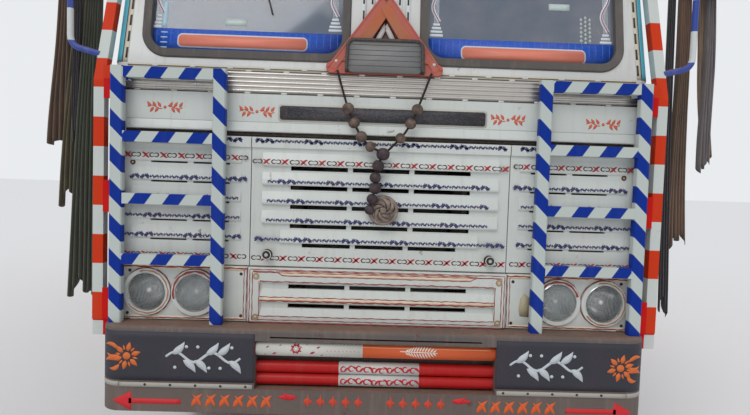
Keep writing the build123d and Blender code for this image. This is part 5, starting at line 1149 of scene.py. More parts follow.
print("ties:", len(ties))

# %% [markdown]
# ## Lining out
# The panels are lined out in brown-red by a steady but not perfect hand. A line is a few corner points,
# filled in at even steps and shaken by two small sines. A filled mark is given by stations along x with
# a low and a high edge at each, which covers plates, arrows, leaves and discs alike.

# %% Lines and filled marks
def hand(points, step=9.0, shake=0.6, seed=0.0):
    """Points at even steps along a route, moved sideways by shake * (sin(s / 17 + seed) + sin(s / 6))."""
    points = np.array(points, float)
    run = np.concatenate([[0], np.cumsum(np.linalg.norm(np.diff(points, axis=0), axis=1))])
    s = np.linspace(0, run[-1], max(3, int(run[-1] / step) + 1))
    line = np.column_stack([np.interp(s, run, points[:, k]) for k in (0, 1)])
    ahead = np.gradient(line, axis=0)
    ahead /= np.linalg.norm(ahead, axis=1, keepdims=True)
    wave = shake * (np.sin(s / 17.0 + seed) + np.sin(s / 6.1 + 2 * seed))
    return line + np.column_stack([-ahead[:, 1], ahead[:, 0]]) * wave[:, None]


def stroke(points, width, place, film=0.6, seed=0.0, shake=0.6, step=9.0):
    """A hand-drawn line whose width swells and thins by a quarter."""
    line = hand(points, step, shake, seed)
    swell = 1 + 0.25 * np.sin(np.arange(len(line)) * 0.9 + seed)
    return brush(line, width * swell, place, film)


def filled(x, low, high, place, film=0.5, count=4):
    """A closed film between two edges: each station x has points from low to high, in front and behind."""
    x, low, high = np.broadcast_arrays(np.asarray(x, float), low, high)
    share = np.linspace(0, 1, count)
    z = low[:, None] + (high - low)[:, None] * share
    flat = np.stack([np.broadcast_to(x[:, None], z.shape), z], -1)
    front = place(flat.reshape(-1, 2), film).reshape(len(x), count, 3)
    back = place(flat[:, ::-1].reshape(-1, 2), -0.3).reshape(len(x), count, 3)
    return closed(np.concatenate([front, back], 1))


def plate_mark(x, z, place, film=0.5, corner=0.0, step=24.0):
    """A filled rectangle with round corners: the edges draw in by r - sqrt(r^2 - (r - d)^2) at distance d."""
    count = max(2, int((x[1] - x[0]) / step) + 1)
    across = np.linspace(x[0], x[1], count)
    if corner:
        bend = corner * (1 - np.cos(np.linspace(0, np.pi / 2, 7)))
        across = np.unique(np.concatenate([x[0] + bend, x[1] - bend,
                                           across[(across > x[0] + corner) & (across < x[1] - corner)]]))
    near = np.clip(corner - np.minimum(across - x[0], x[1] - across), 0, None)
    draw = corner - np.sqrt(np.clip(corner**2 - near**2, 0, None))
    return filled(across, z[0] + draw, z[1] - draw, place, film, max(2, int((z[1] - z[0]) / 30) + 2))


def leaf(base, tip, wide, place, film=0.7, bend=0.0, count=9):
    """A leaf from base to tip: half width w * sin(pi t^0.8), its spine bent sideways by bend * sin(pi t)."""
    base, tip = np.array(base, float), np.array(tip, float)
    t = np.linspace(0, 1, count)
    ahead = tip - base
    side = np.array([-ahead[1], ahead[0]]) / np.linalg.norm(ahead)
    spine = base + t[:, None] * ahead + (bend * np.sin(np.pi * t))[:, None] * side
    return brush(spine, np.maximum(2 * wide * np.sin(np.pi * t**0.8), 0.6), place, film)


def disc(centre, radius, place, film=0.6, count=13):
    """A filled circle: at x the edges are z +- sqrt(r^2 - x^2)."""
    x = -np.cos(np.linspace(0.06, np.pi - 0.06, count)) * radius
    reach = np.sqrt(radius**2 - x**2)
    return filled(centre[0] + x, centre[1] - reach, centre[1] + reach, place, film, 3)


def circle(centre, radius, count=36, start=0.0, stop=2 * np.pi):
    """Points round a circle from one angle to another."""
    turn = np.linspace(start, stop, count)
    return np.column_stack([centre[0] + radius * np.cos(turn), centre[1] + radius * np.sin(turn)])


def hoop(profile, centre, axis, sides=40):
    """A closed ring from a closed outline of (distance along the axis, radius) pairs; no end faces."""
    points, faces = surface(swept(profile, centre, axis, sides), close_u=True, close_v=True)
    return points * MM, turned_out(points - points.mean(0), faces)


def box_line(x, z, inset=0):
    """A rectangle's four corners, drawn in by the inset, and the first again, so that a line runs right round it."""
    low, high = (x[0] + inset, z[0] + inset), (x[1] - inset, z[1] - inset)
    return [low, (low[0], high[1]), high, (high[0], low[1]), low]


def on_back(y):
    """A plane across the truck that looks backwards: (x, z) -> (x, y + lift, z)."""
    return lambda flat, lift: np.column_stack([flat[:, 0], np.full(len(flat), y + lift), flat[:, 1]])


def eight_petals(centre, near, far, width, place, tones, film):
    """Eight leaves round a centre, from a near to a far distance at angles k pi / 4, in two tones by turns."""
    marks = []
    for k in range(8):
        way = np.array([math.cos(k * math.pi / 4), math.sin(k * math.pi / 4)])
        marks += tinted([leaf(centre + way * near, centre + way * far, width, place, film)], tones[k % 2])
    return marks


GRILLE_FACE = 99
GRILLE = on_face(GRILLE_FACE)
BROWN_RED = srgb(148, 48, 42)
CREAM = srgb(226, 208, 184)
grille_marks = []
for inset, seed in ((0, 0.0), (12, 2.0)):
    grille_marks += tinted([stroke(box_line((-571, 571), (874, 1112), inset), 3.6, GRILLE, seed=seed)], BROWN_RED)
step = [(-556, 1104), (-461, 1104), (-421, 1086), (415, 1084), (447, 1101), (556, 1101)]
grille_marks += tinted([filled([-440, -421, 415, 440], [1094, 1087, 1085, 1094], [1105] * 4, GRILLE, 0.4)], CREAM)
grille_marks += tinted([stroke(step, 3.4, GRILLE, 0.9, seed=1.0),
                        stroke([(-455, 1107), (447, 1106)], 3.6, GRILLE, 0.9, 3.0)], BROWN_RED)
grille_marks += tinted([plate_mark((-522, 522), (971, 991), GRILLE, 0.4)], CREAM)
for z, width, seed in ((1059, 4.5, 0.5), (989.5, 3.6, 1.5), (973, 6.5, 2.5), (903, 3.4, 3.5), (867, 8.0, 4.0)):
    grille_marks += tinted([stroke([(-526, z), (526, z)], width, GRILLE, 0.9, seed, 0.9)], BROWN_RED)
for side in (-1, 1):
    grille_marks += tinted([stroke([(side * 529, 1059), (side * 529, 903)], 3.4, GRILLE, 0.9, side)], BROWN_RED)
painted("grille_lines", grille_marks)

grille_bolts = [(x, Y0 + GRILLE_FACE, z) for x in (-543, 546) for z in (1081, 897)]
brass = weathered("brass", srgb(176, 150, 104), rough=0.4, metal=0.7, soil=0.15, rust=0.2)
dark_steel = weathered("dark_steel", srgb(44, 42, 42), rough=0.5, metal=0.6, soil=0.15, rust=0.3)
piece("grille_washers", repeated(hoop([(0, 7), (2.5, 8), (3, 13), (0, 15)], (0, 0, 0), (0, -1, 0), 20), grille_bolts),
      brass)
piece("grille_bolts", bolts(grille_bolts, radius=6, tall=5), stainless)
print("lined out the lower grille with", len(grille_marks), "marks")

# %% [markdown]
# ## Headlamps
# A lamp is a silvered bowl, a bulb with a cap before it, a clear lens with fine upright flutes, and a bright
# rim that holds it in the bezel. The bowl is a paraboloid, and its colour carries a painted reflection: a painted
# highlight round the bulb that darkens to a painted dark reflection towards the rim.

# %% Lamps
LAMPS = [(x, Y0 + PANEL_FACE, 998) for x in (-1028, -816, 816, 1028)]
radii = np.linspace(82, 1, 14)
bowl = [(96 - 98 * (r / 82) ** 2, r) for r in radii[::-1]] + [(-2, 85), (17, 85), (17.8, 96.5), (32, 96.5), (84, 72),
                                                              (102, 32), (102, 1)]
bowls = gather([turned(bowl, centre, (0, 1, 0), 40) for centre in LAMPS])


def bowl_painted_reflection(f):
    """Painted reflection on the silvering: a painted highlight, white near the lamp's axis, darkening to a painted
    dark reflection from r = 20 to 70 mm, its edge waved by faint facets.
    """
    wide, rise = f.maths("ABSOLUTE", f.axes[0]), f.maths("SUBTRACT", f.axes[2], 0.998)
    outer = f.maths("ABSOLUTE", f.maths("SUBTRACT", wide, 1.028))
    inner = f.maths("ABSOLUTE", f.maths("SUBTRACT", wide, 0.816))
    near = f.maths("MINIMUM", outer, inner)
    far = f.maths("SQRT", f.maths("ADD", f.maths("MULTIPLY", near, near), f.maths("MULTIPLY", rise, rise)))
    facet = f.maths("MULTIPLY", f.maths("SINE", f.maths("MULTIPLY", f.axes[0], 2 * math.pi / 0.011)), 0.005)
    painted_dark_share = f.between(f.maths("ADD", far, facet), 0.02, 0.07)
    return f.mix(painted_dark_share, srgb(250, 250, 250), srgb(34, 36, 37))


# The bowls' colour is a painted highlight and a painted dark reflection over the mirror metal.
silvered = weathered("silvered", bowl_painted_reflection, rough=0.14, metal=1.0, soil=0.0, streaks=0.12, fade=0.2, ledge=0.0,
                     grain=0.5)
lamp_bowls = piece("lamp_bowls", bowls, silvered, smooth=50)
rim = [(-9, 81), (-11, 83), (-9, 86.6), (3, 86.6), (3, 81)]
piece("lamp_rims", gather([hoop(rim, c, (0, 1, 0), 48) for c in LAMPS]), chrome, smooth=50)
bulb = [(88, 15), (60, 15), (56, 12), (34, 12), (22, 10), (16, 1)]
bulb_white = weathered("bulb_white", srgb(246, 246, 242), rough=0.15, soil=0.0, streaks=0.0, fade=0.0, ledge=0.0,
                       coat=0.5)
piece("lamp_bulbs", gather([turned(bulb, c, (0, 1, 0), 16) for c in LAMPS]), bulb_white)
gasket = [(-1, 86.8), (-7, 88), (-8, 93), (-2, 95.5), (2, 95.5), (2, 86.8)]
piece("lamp_gaskets", gather([hoop(gasket, LAMPS[k], (0, 1, 0), 48) for k in (0, 3)]), black_rubber,
      smooth=50)


def lens_glass(name, alpha, dust):
    """Clear pressed glass with upright flutes 7 mm wide and a film of dust."""
    f = Finish(name)
    film = f.between(f.noise(14.0, 6.0), 0.35, 0.75, 0.0, dust)
    flutes = f.maths("SINE", f.maths("MULTIPLY", f.axes[0], 2 * math.pi / 0.007))
    f.feed("Base Color", f.mix(film, srgb(214, 222, 222), DUST))
    f.feed("Alpha", f.maths("ADD", f.maths("MULTIPLY", film, 0.8), alpha, clamp=True))
    f.feed("Roughness", f.between(film, 0.0, 0.4, 0.05, 0.4))
    f.feed("Specular IOR Level", 0.8)
    f.relief(flutes, 0.0012)
    return f.material


lens = [(-3, 82.5), (-9, 74), (-13, 50), (-15, 22), (-15.2, 0.5), (-12.2, 0.5), (-12, 22), (-10, 50), (-6, 73),
        (0, 82.5)]
clear_lens, dusty_lens = lens_glass("lens_clear", 0.05, 0.05), lens_glass("lens_dusty", 0.1, 0.2)
for name, glass, pair in (("lenses_outer", clear_lens, (0, 3)), ("lenses_inner", dusty_lens, (1, 2))):
    piece(name, gather([turned(lens, LAMPS[k], (0, 1, 0), 40) for k in pair]), glass, smooth=60)
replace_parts(lamp_bowls, "headlamps")

lamp_marks = []
BEZEL_FACE = PANEL_FACE - 12
for side in (-1, 1):
    for k, x in enumerate((816, 1028)):
        ring = circle((side * x, 998), 106, 60, 0.3 + k, 0.3 + k + 2 * np.pi * (0.98 if k else 0.8))
        lamp_marks += tinted([stroke(ring, 4.5, on_face(PANEL_FACE), seed=side + k, shake=1.0)], BROWN_RED)
        crescent = circle((side * x, 998), 95, 40, (0.1, 1.2)[k] * np.pi, (1.1, 2.6)[k] * np.pi)
        lamp_marks += tinted([stroke(crescent, (9, 6)[k], on_face(BEZEL_FACE), seed=side - k, shake=0.8)],
                             BROWN_RED if k == 0 else srgb(176, 120, 92))
    place = on_face(PANEL_FACE)
    lamp_marks += tinted([plate_mark(sorted((side * 590, side * 1138)), (1100, 1119), place, 0.3),
                          plate_mark(sorted((side * 590, side * 1138)), (879, 890), place, 0.3)], CREAM)
    lamp_marks += tinted([stroke([(side * 1138, 1109), (side * 586, 1112)], 6.0, place, seed=side, shake=0.9),
                          stroke([(side * 586, 1116), (side * 588, 878)], 3.4, place, seed=2 + side),
                          stroke([(side * 598, 1104), (side * 600, 888)], 3.2, place, seed=3 + side),
                          stroke([(side * 598, 882), (side * 1120, 880)], 4.4, place, seed=4 + side, shake=0.9)],
                          BROWN_RED)
patch = [(648, 930), (690, 926), (696, 970), (690, 1016), (664, 1036), (648, 1010), (642, 960)]
patch = np.array(patch, float)
lamp_marks += tinted([closed([on_face(PANEL_FACE)(patch, 0.5), on_face(PANEL_FACE)(patch, -0.2)])],
                     srgb(178, 168, 138))
painted("lamp_panel_lines", lamp_marks)
panel_corners = ((612, 1087), (610, 898), (1106, 1090), (1116, 899))
panel_bolts = [(s * x, Y0 + PANEL_FACE, z) for s in (-1, 1) for x, z in panel_corners]
piece("panel_bolts", bolts(panel_bolts, radius=5, tall=4), dark_steel)
print("lamps:", len(LAMPS))

# %% [markdown]
# ## The bumper
# The bumper's upper face carries a dark panel on each side, with the signwriter's ornament on it: here a
# sixfold flower with trailing leaves and a spray of white leaves. Below a pale riveted strip runs an apron with
# red arrows and small orange leaves. The plain grey-brown paint shows at the ledge and round the recess.

# %% Bumper ornament
WRAP = on_bumper()
STRIP = on_bumper(4.0)
SLATE = srgb(38, 38, 50)
LEAF_WHITE = srgb(196, 202, 206)
BRIGHT_RED = srgb(206, 24, 36)
FLOWER_ORANGE = srgb(214, 106, 40)
STRIP_GREY = srgb(168, 164, 156)


def flower(centre, reach, place, petals=6, turn=0.3):
    """A ring of leaf petals round a disc, with a bud between each two: a generic painted flower."""
    shapes = [disc(centre, reach * 0.26, place, 0.9)]
    for angle in turn + np.arange(petals) * 2 * np.pi / petals:
        way = np.array([np.cos(angle), np.sin(angle)])
        between = np.array([np.cos(angle + np.pi / petals), np.sin(angle + np.pi / petals)])
        shapes.append(leaf(centre + way * reach * 0.34, centre + way * reach, reach * 0.17, place))
        shapes.append(leaf(centre + between * reach * 0.42, centre + between * reach * 0.8, reach * 0.07, place, 0.8))
    return shapes


def trailing_leaves(centre, reach, side, place):
    """Curled leaves that trail from the flower towards the bumper's corner."""
    shapes = []
    for rise, far, bend in ((0.62, 1.75, 14), (0.1, 1.6, -12), (-0.45, 1.8, 12), (-0.85, 1.3, -10)):
        start = centre + np.array([side * reach * 0.5, rise * reach * 0.7])
        tip = centre + np.array([side * reach * far, rise * reach * 1.1])
        shapes.append(leaf(start, tip, reach * 0.15, place, bend=side * bend))
    return shapes


def spray(x, z, place):
    """Five bold leaves that lean by turns to either side of a waving stem, between two x and two z."""
    centre = (z[0] + z[1]) / 2
    tall = z[1] - z[0]
    across = np.linspace(x[0], x[1], 40)
    wave = centre + 0.16 * tall * np.sin((across - x[0]) / (x[1] - x[0]) * 4 * np.pi)
    shapes = [brush(np.column_stack([across, wave]), 9 + 3 * np.sin(np.linspace(0, np.pi, 40)), place, 0.7)]
    for share in np.linspace(0.08, 0.84, 6):
        at = x[0] + share * (x[1] - x[0])
        way = 1 if round(share * 10) % 2 else -1
        base = (at, centre + 0.1 * tall * way)
        shapes.append(leaf(base, (at + 0.17 * (x[1] - x[0]), centre + way * 0.5 * tall), 15, place, 0.9,
                           bend=-way * 8))
        shapes.append(disc((at + 14, centre - way * 0.34 * tall), 7, place, 0.9, 9))
    return shapes


bumper_marks = []
for side in (-1, 1):
    span = sorted((side * 524, side * 1330))
    bumper_marks += tinted([plate_mark(span, (632, 846), WRAP, 0.5, step=16)], SLATE)
    flower_at = np.array([side * 1072.0, 738.0])
    blossom = flower(flower_at, 62, on_bumper(0.6)) + trailing_leaves(flower_at, 62, side, on_bumper(0.6))
    bumper_marks += tinted(blossom, FLOWER_ORANGE)
    bumper_marks += tinted(spray(sorted((side * 585, side * 905)), (672, 806), on_bumper(0.6)), LEAF_WHITE)
    bumper_marks += tinted([plate_mark(sorted((side * 531, side * 1101)), (605.5, 625.5), STRIP, 0.4)], STRIP_GREY)
    bumper_marks += tinted([plate_mark(sorted((side * 1104, side * 1330)), (605.5, 625.5), WRAP, 1.2, step=12)],
                           STRIP_GREY)
    shaft = sorted((side * 838, side * 1062))
    bumper_marks += tinted([plate_mark(shaft, (531, 553), WRAP, 0.6)], BRIGHT_RED)
    head = side * 1050.0, side * 1132.0
    bumper_marks += tinted([filled(np.linspace(*head, 9), np.linspace(498, 541, 9), np.linspace(586, 543, 9), WRAP,
                                   0.6)], BRIGHT_RED)
    for at in np.linspace(0, 1, 6):
        x = side * (470 + 300 * at)
        bumper_marks += tinted([leaf((x - 22, 522), (x + 24, 580), 11, WRAP, bend=4),
                                leaf((x + 20, 524), (x - 18, 576), 7, WRAP, 0.9, bend=-4)], ORANGE)
    for at in np.linspace(0, 1, 5):
        x = side * (70 + 220 * at)
        bumper_marks += tinted([leaf((x - 20, 556), (x + 20, 556), 15, WRAP), leaf((x, 530), (x, 590), 6, WRAP, 0.9)],
                               srgb(206, 66, 40))
    bumper_marks += tinted([leaf((side * 335, 573), (side * 425, 573), 13, WRAP),
                            leaf((side * 362, 560), (side * 400, 596), 7, WRAP, 0.9)], BRIGHT_RED)
wrap_film = paint_film("wrap_film", rough=0.5, wear=0.08)
painted("bumper_ornament", bumper_marks, finish=wrap_film)
rivet_x = np.concatenate([np.arange(560, 1100, 108), [1170]])
rivets = [(s * x, Y0 - (4.4 if x < 1101 else -5), 616) for s in (-1, 1) for x in rivet_x[:-1]]
piece("strip_rivets", bolts(rivets, radius=4, tall=2.5), dark_steel)

# %% [markdown]
# The three tubes in the recess: the top one is white at one end with a red flower, then slanting red strokes,
# then orange with a pale fern. The lower two are red with a white sleeve in the middle and red scrolls on it.

# %% Tubes
TOP_TUBE = (780, 38, 34)
LOW_TUBES = ((691, 60.5, 26.5), (636, 60.5, 26.5))


def sleeve(x, tube, proud=0.5):
    """A thin skin round a tube from one x to another."""
    z, deep, radius = tube
    return turned([(x[0], radius), (x[0], radius + proud), (x[1], radius + proud), (x[1], radius)],
                  (0, Y0 + deep, z), (1, 0, 0), 36)


FERN_PALE = srgb(226, 218, 206)
tube_marks = tinted([sleeve((-521, -58), TOP_TUBE)], srgb(206, 204, 196))
tube_marks += tinted([sleeve((-58, 521), TOP_TUBE)], srgb(206, 88, 40))
TOP = on_tube(*TOP_TUBE)
tube_marks += tinted(flower(np.array([-347.0, 6.0]), 27, TOP, 8), srgb(176, 28, 48))
tube_marks += tinted([disc((-347, 6), 6, TOP, 1.4, 9)], WHITE)
for x, s, size in ((-470, 12, 7), (-440, -16, 9), (-415, 20, 5), (-275, -10, 11), (-250, 14, 8), (-300, 26, 4),
                   (-480, -24, 5), (-235, -22, 6)):
    tube_marks += tinted([leaf((x - size, s - size / 2), (x + size, s + size / 2), size * 0.45, TOP, 0.9)],
                         srgb(168, 48, 70))
for k in range(9):
    x = -212 + 17 * k
    tube_marks += tinted([brush([(x - 22, -32), (x, 0), (x + 22, 32)], 7.5, TOP, 0.9)], srgb(206, 46, 38))
tube_marks += tinted([plate_mark((-60, 500), (18, 50), TOP, 0.8, step=18)], srgb(214, 178, 138))
for k in range(11):
    x = 128 + 12 * k
    tall = 26 * math.sin((k + 1) / 12 * math.pi) + 6
    tube_marks += tinted([leaf((x, 4), (x + 16, 4 + tall), 3.0, TOP, 1.2),
                          leaf((x, 2), (x + 16, 2 - tall), 3.0, TOP, 1.2)], FERN_PALE)
tube_marks += tinted([brush([(104, 6), (180, 4), (268, 2)], 4.0, TOP, 1.2)], FERN_PALE)
for tube in LOW_TUBES:
    place = on_tube(*tube)
    tube_marks += tinted([sleeve((-161, 194), tube)], srgb(202, 200, 196))
    for k in range(10):
        x = -140 + 34 * k
        turn = circle((x, 0), 11, 14, 0.2 * np.pi, 1.8 * np.pi)
        turn[:, 1] += 4 * np.sin(k)
        tube_marks += tinted([brush(turn, 2 + 5 * np.sin(np.linspace(0, np.pi, 14)), place, 1.0),
                              leaf((x + 4, -12 * (-1) ** k), (x + 30, 9 * (-1) ** k), 5, place, 1.0, bend=5)],
                              srgb(190, 30, 46))
painted("tube_ornament", tube_marks, finish=wrap_film)
print("marks on bumper", len(bumper_marks), "and tubes", len(tube_marks))

# %% [markdown]
# ## The belt, the bright band and the flap's knobs
# Plates and strips on the face are slabs: a ring of flat points lifted to two heights above the surface they
# lie on. The band of bright flutes has a slotted lip above and below, held by small pale clips; its slots are painted
# shade.

# %% Belt and band
def slab(outline, low, high, place):
    """A closed plate from a ring of flat points, between two heights above the surface it lies on."""
    outline = np.asarray(outline, float)
    return closed([place(outline, low), place(outline, high)])


def round_box(x, z, corner, count=6):
    """A ring of points round a rectangle: centre of each corner + r (cos a, sin a)."""
    turn = np.linspace(0, np.pi / 2, count)
    middles = ((x[1] - corner, z[1] - corner), (x[0] + corner, z[1] - corner), (x[0] + corner, z[0] + corner),
               (x[1] - corner, z[0] + corner))
    return np.vstack([
        np.column_stack([cx + corner * np.cos(turn + k * np.pi / 2), cz + corner * np.sin(turn + k * np.pi / 2)])
        for k, (cx, cz) in enumerate(middles)
    ])


def sprig(centre, reach, place):
    """A small generic flourish: a bud between two waving stems with leaves above and below."""
    centre = np.array(centre, float)
    shapes = [disc(centre, 7, place, 0.8, 9)]
    for side in (-1, 1):
        s = np.linspace(0.16, 1, 12)
        stem = centre + np.column_stack([side * reach * s, 7 * np.sin(s * 2 * np.pi) * side])
        shapes.append(brush(stem, 4.6, place, 0.6))
        for at, rise in ((0.24, 1), (0.38, -1), (0.52, 1), (0.66, -1), (0.82, 1)):
            start = centre + (side * reach * at, 0)
            shapes.append(leaf(start, start + (side * 0.2 * reach, rise * 0.32 * reach), 0.085 * reach, place, 0.8))
    return shapes


BELT = on_face(PANEL_FACE)
belt_marks = tinted([slab(round_box((-463, 463), (1772, 1848), 14), -0.3, 1.6, BELT)], srgb(198, 196, 184))
belt_marks += tinted([slab(round_box((-456, 456), (1779, 1841), 12), 1.4, 3.2, BELT)], srgb(40, 44, 54))
for x, z in ((-960, 1817), (-557, 1811), (557, 1812), (985, 1806)):
    belt_marks += tinted(sprig((x, z), 76, BELT), srgb(210, 96, 66))
belt_marks += tinted([disc((x, 1743), 4, BELT, 0.5, 7) for x in (-900, -640, -386, -61, 421, 787, 916)],
                     srgb(70, 64, 58))
belt_marks += tinted([stroke([(x - 22, 1741), (x - 4, 1748), (x + 22, 1744)], 2.4, BELT) for x in (-640, 924)],
                     srgb(110, 100, 88))
# The grey line along the belt's crease is painted shade.
belt_marks += tinted([plate_mark((-1128, 1128), (1765, 1767.5), BELT, 0.3)], srgb(170, 172, 168))
# The dark brown strip on the cab face in the gap between flap and belt is painted shade.
belt_marks += tinted([plate_mark((-1136, 1136), (1702, 1722), on_face(129.6), 0.4)], srgb(44, 34, 32))
painted("belt_plates", belt_marks)

BAND, WALL = on_face(122), on_face(WALL_FACE)
# The slots in the lips and in the corner strips are not cut: dark strips of painted shade stand for them.
SLOT_PAINTED_SHADE, CLIP = srgb(30, 28, 28), srgb(214, 214, 208)
TRIM_CREAM = srgb(206, 200, 180)
band_marks = tinted([plate_mark((-1136, 1136), (1891, 1896), BAND, 0.5),
                     plate_mark((-1136, 1136), (1986.4, 1990.5), BAND, 0.5)], SLOT_PAINTED_SHADE)
band_marks += tinted([plate_mark((-1132, 1132), (1994, 2008), WALL, 0.8)], TRIM_CREAM)
band_marks += tinted([plate_mark((-1132, 1132), (1999, 2002.5), WALL, 1.2)], SLOT_PAINTED_SHADE)
clip_rows = ((np.arange(-1085, 1100, 161), 1893, BAND), (np.arange(-1100, 1100, 167), 1988, BAND),
             (np.arange(-1010, 1080, 164), 2001, WALL))
for xs, z, place in clip_rows:
    band_marks += tinted([slab(round_box((x - 13, x + 13), (z - 4.5, z + 4.5), 3, 3), 0, 4.0, place) for x in xs],
                         CLIP)
enamel = paint_film("enamel", rough=0.35, wear=0.3)
painted("band_clips", band_marks, finish=enamel)

rusty_steel = weathered("rusty_steel", srgb(96, 52, 40), rough=0.6, metal=0.4, soil=0.2, rust=0.6)
knob = [(-0.3, 22.4), (29, 22.4), (33.5, 20), (35.2, 14), (35.2, 9), (37, 8.6), (37, 0.6)]
piece("flap_knobs", gather([turned(knob, (x, Y0 + PANEL_FACE, 1181), (0, -1, 0), 28) for x in (-497, 497)]),
      black_rubber, "grille_flap")
caps = [turned([(36.8, 8.2), (37.6, 7.6), (37.8, 0.5)], (x, Y0 + PANEL_FACE, 1181), (0, -1, 0), 20)
        for x in (-497, 497)]
piece("knob_caps", gather(caps), stainless, "grille_flap")
lock_places = [(x, Y0 + PANEL_FACE, z) for x, z in ((-1098, 1572), (1092, 1570), (1090, 1250))]
piece("panel_locks", repeated(hoop([(0, 4), (3, 4.5), (4, 10), (0, 12)], (0, 0, 0), (0, -1, 0), 20), lock_places),
      rusty_steel)
print("belt marks", len(belt_marks), "band marks", len(band_marks))

# %% [markdown]
# ## The warning triangle
# The triangle is a red-brown moulding with a raised outer rim, two ribbed reflector strips and a small white
# triangle deep inside. A grey slatted plate in a black rubber rim stands before its foot, and is left blank.

# %% Triangle and plate
def up(z):
    """Distance up the slanted front for a height z: (z - 2007) / cos(slope)."""
    return (z - 2007) / math.cos(SLOPE)


FRAME_PLACE = on_screen(14.0)
arms = [
    [(-240, -24), (-256, -4), (0, 369), (0, 237), (-116, 46)],
    [(0, 369), (256, -4), (240, -24), (116, 46), (0, 237)],
    [(-240, -24), (-116, 46), (116, 46), (240, -24)],
]
triangle = [slab(arm, 0, 12, FRAME_PLACE) for arm in arms]
triangle += [slab(circle((x, 2), 26, 24)[:-1], -0.5, 15, FRAME_PLACE) for x in (-232, 232)]
for side in (-1, 1):
    triangle.append(brush(hand([(side * 233, -2), (0, 336)], shake=0.0), 36, FRAME_PLACE, 16.5))
    triangle.append(brush(hand([(side * 250, 0), (side * 2, 360)], shake=0.0), 7, FRAME_PLACE, 19.0))
for x, s in ((0, 330), (-120, 30), (120, 30)):
    triangle.append(slab(round_box((x - 15, x + 15), (s - 15, s + 15), 3, 3), 0.3, 14.4, on_screen(0)))
triangle_piece = piece("triangle_frame", gather(triangle), triangle_paint, smooth=20)
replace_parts(triangle_piece, "warning_triangle")


def reflector(name, colour):
    """Reflector plastic: a fine honeycomb of two slanted waves under a clear skin."""
    f = Finish(name)
    x, z = f.axes[0], f.axes[2]
    first = f.maths("SINE", f.maths("MULTIPLY", f.maths("ADD", x, z), 2 * math.pi / 0.005))
    second = f.maths("SINE", f.maths("MULTIPLY", f.maths("SUBTRACT", x, z), 2 * math.pi / 0.005))
    cells = f.maths("MULTIPLY", first, second)
    dark = tuple(c * 0.62 for c in colour[:3]) + (1.0,)
    base = f.mix(f.between(cells, -1.0, 1.0, 0.45, 0.0), colour, dark)
    f.feed("Base Color", f.mix(f.between(f.noise(9.0, 6.0), 0.4, 0.75, 0.0, 0.45), base, DUST))
    f.feed("Roughness", 0.3)
    f.feed("Coat Weight", 0.5)
    f.relief(cells, 0.0012)
    return f.material


orange_reflector = reflector("orange_reflector", srgb(226, 122, 72))
strips = [slab([(-187, 30), (-124, 32), (0, 237), (-22, 274), (-30, 274)], 12, 17.5, FRAME_PLACE),
          slab([(191, 30), (124, 32), (0, 237), (-22, 274), (-12, 300), (11, 300)], 12, 20.0, FRAME_PLACE)]
piece("triangle_reflectors", gather(strips), orange_reflector, smooth=20)
inner = tinted([slab([(-118, 40), (118, 40), (0, 240)], -10, -8, FRAME_PLACE)], srgb(52, 36, 34))
inner += tinted([slab(ring, -8, 1, FRAME_PLACE) for ring in (
    [(-60, 112), (-6, 218), (4, 192), (-34, 112)], [(60, 112), (6, 218), (-4, 192), (34, 112)])], srgb(206, 200, 200))
inner += tinted([disc((x, s), 6.5, FRAME_PLACE, 17.5, 9) for x, s in ((-214, 30), (218, 27))], srgb(206, 204, 200))
painted("triangle_inside", inner, finish=enamel)

NAME_PLACE = on_screen(28.3)
board = round_box((-171, 171), (-22, 128), 34, 8)
board_marks = tinted([slab(board, 0, 20, NAME_PLACE)], srgb(120, 122, 122))
board_marks += tinted([plate_mark((-158, 158), (z, z + 2.2), NAME_PLACE, 20.6) for z in (4, 29, 52, 75, 99)],
                      srgb(56, 54, 54))
rim_line = np.vstack([[(168, -20)], round_box((-166, 166), (-120, 123), 32, 9)[:18], [(-168, -20)]])
board_marks += tinted([brush(hand(rim_line, 7, 0.0), 13, NAME_PLACE, 25.0)], srgb(44, 38, 40))
painted("name_plate", board_marks, finish=enamel)
print("triangle done")

# %% [markdown]
# ## Windscreen films
# Each screen carries a blue mesh banner along its foot with a salmon plate on it, left blank, a small pale sticker,
# and a painted column with a ribbon at either edge. All are films on the slanted glass. The wipers hang from
# the top edge, as an arm, a bridge and a rubber blade.

# %% Films on the screens
GLASS = on_screen(-17.0)
SCREEN_INNER, SCREEN_OUTER = 194, 1039


def screen_film(top):
    """The ring of a film from the glass's foot to a height, its lower corners rounded as the seal's are."""
    radius, low = 74.0, 68.5
    turn = np.linspace(-np.pi / 2, 0, 8)
    right_arc = np.column_stack([SCREEN_OUTER - radius + radius * np.cos(turn), low + radius + radius * np.sin(turn)])
    left_arc = np.column_stack([SCREEN_INNER + radius - radius * np.cos(turn[::-1]),
                                low + radius + radius * np.sin(turn[::-1])])
    return np.vstack([left_arc, right_arc, [(SCREEN_OUTER, up(top)), (SCREEN_INNER, up(top))]])


def column(x, foot, place):
    """A painted column: three steps at its foot, a fluted shaft, and a ribbon wound round it as a sine."""
    shapes = []
    base = up(foot)
    for k, wide in enumerate((30, 27, 21, 16)):
        shapes.append(plate_mark((x - wide, x + wide), (base + 17 * k, base + 12 + 17 * k), place, 0.5, 3, 12))
    for shift in (-9, -3, 3, 9):
        flute = [(x + shift, base + 62), (x + shift, base + 330), (x + shift, up(2640))]
        shapes.append(brush(flute, 3.2, place, 0.5))
    s = np.linspace(base + 70, up(2640), 80)
    wave = x + 17 * np.sin((s - base) / 30.0)
    shapes.append(brush(np.column_stack([wave, s]), 17.0, place, 0.9))
    return shapes, [brush(np.column_stack([wave, s]), 4.4, place, 1.3)]


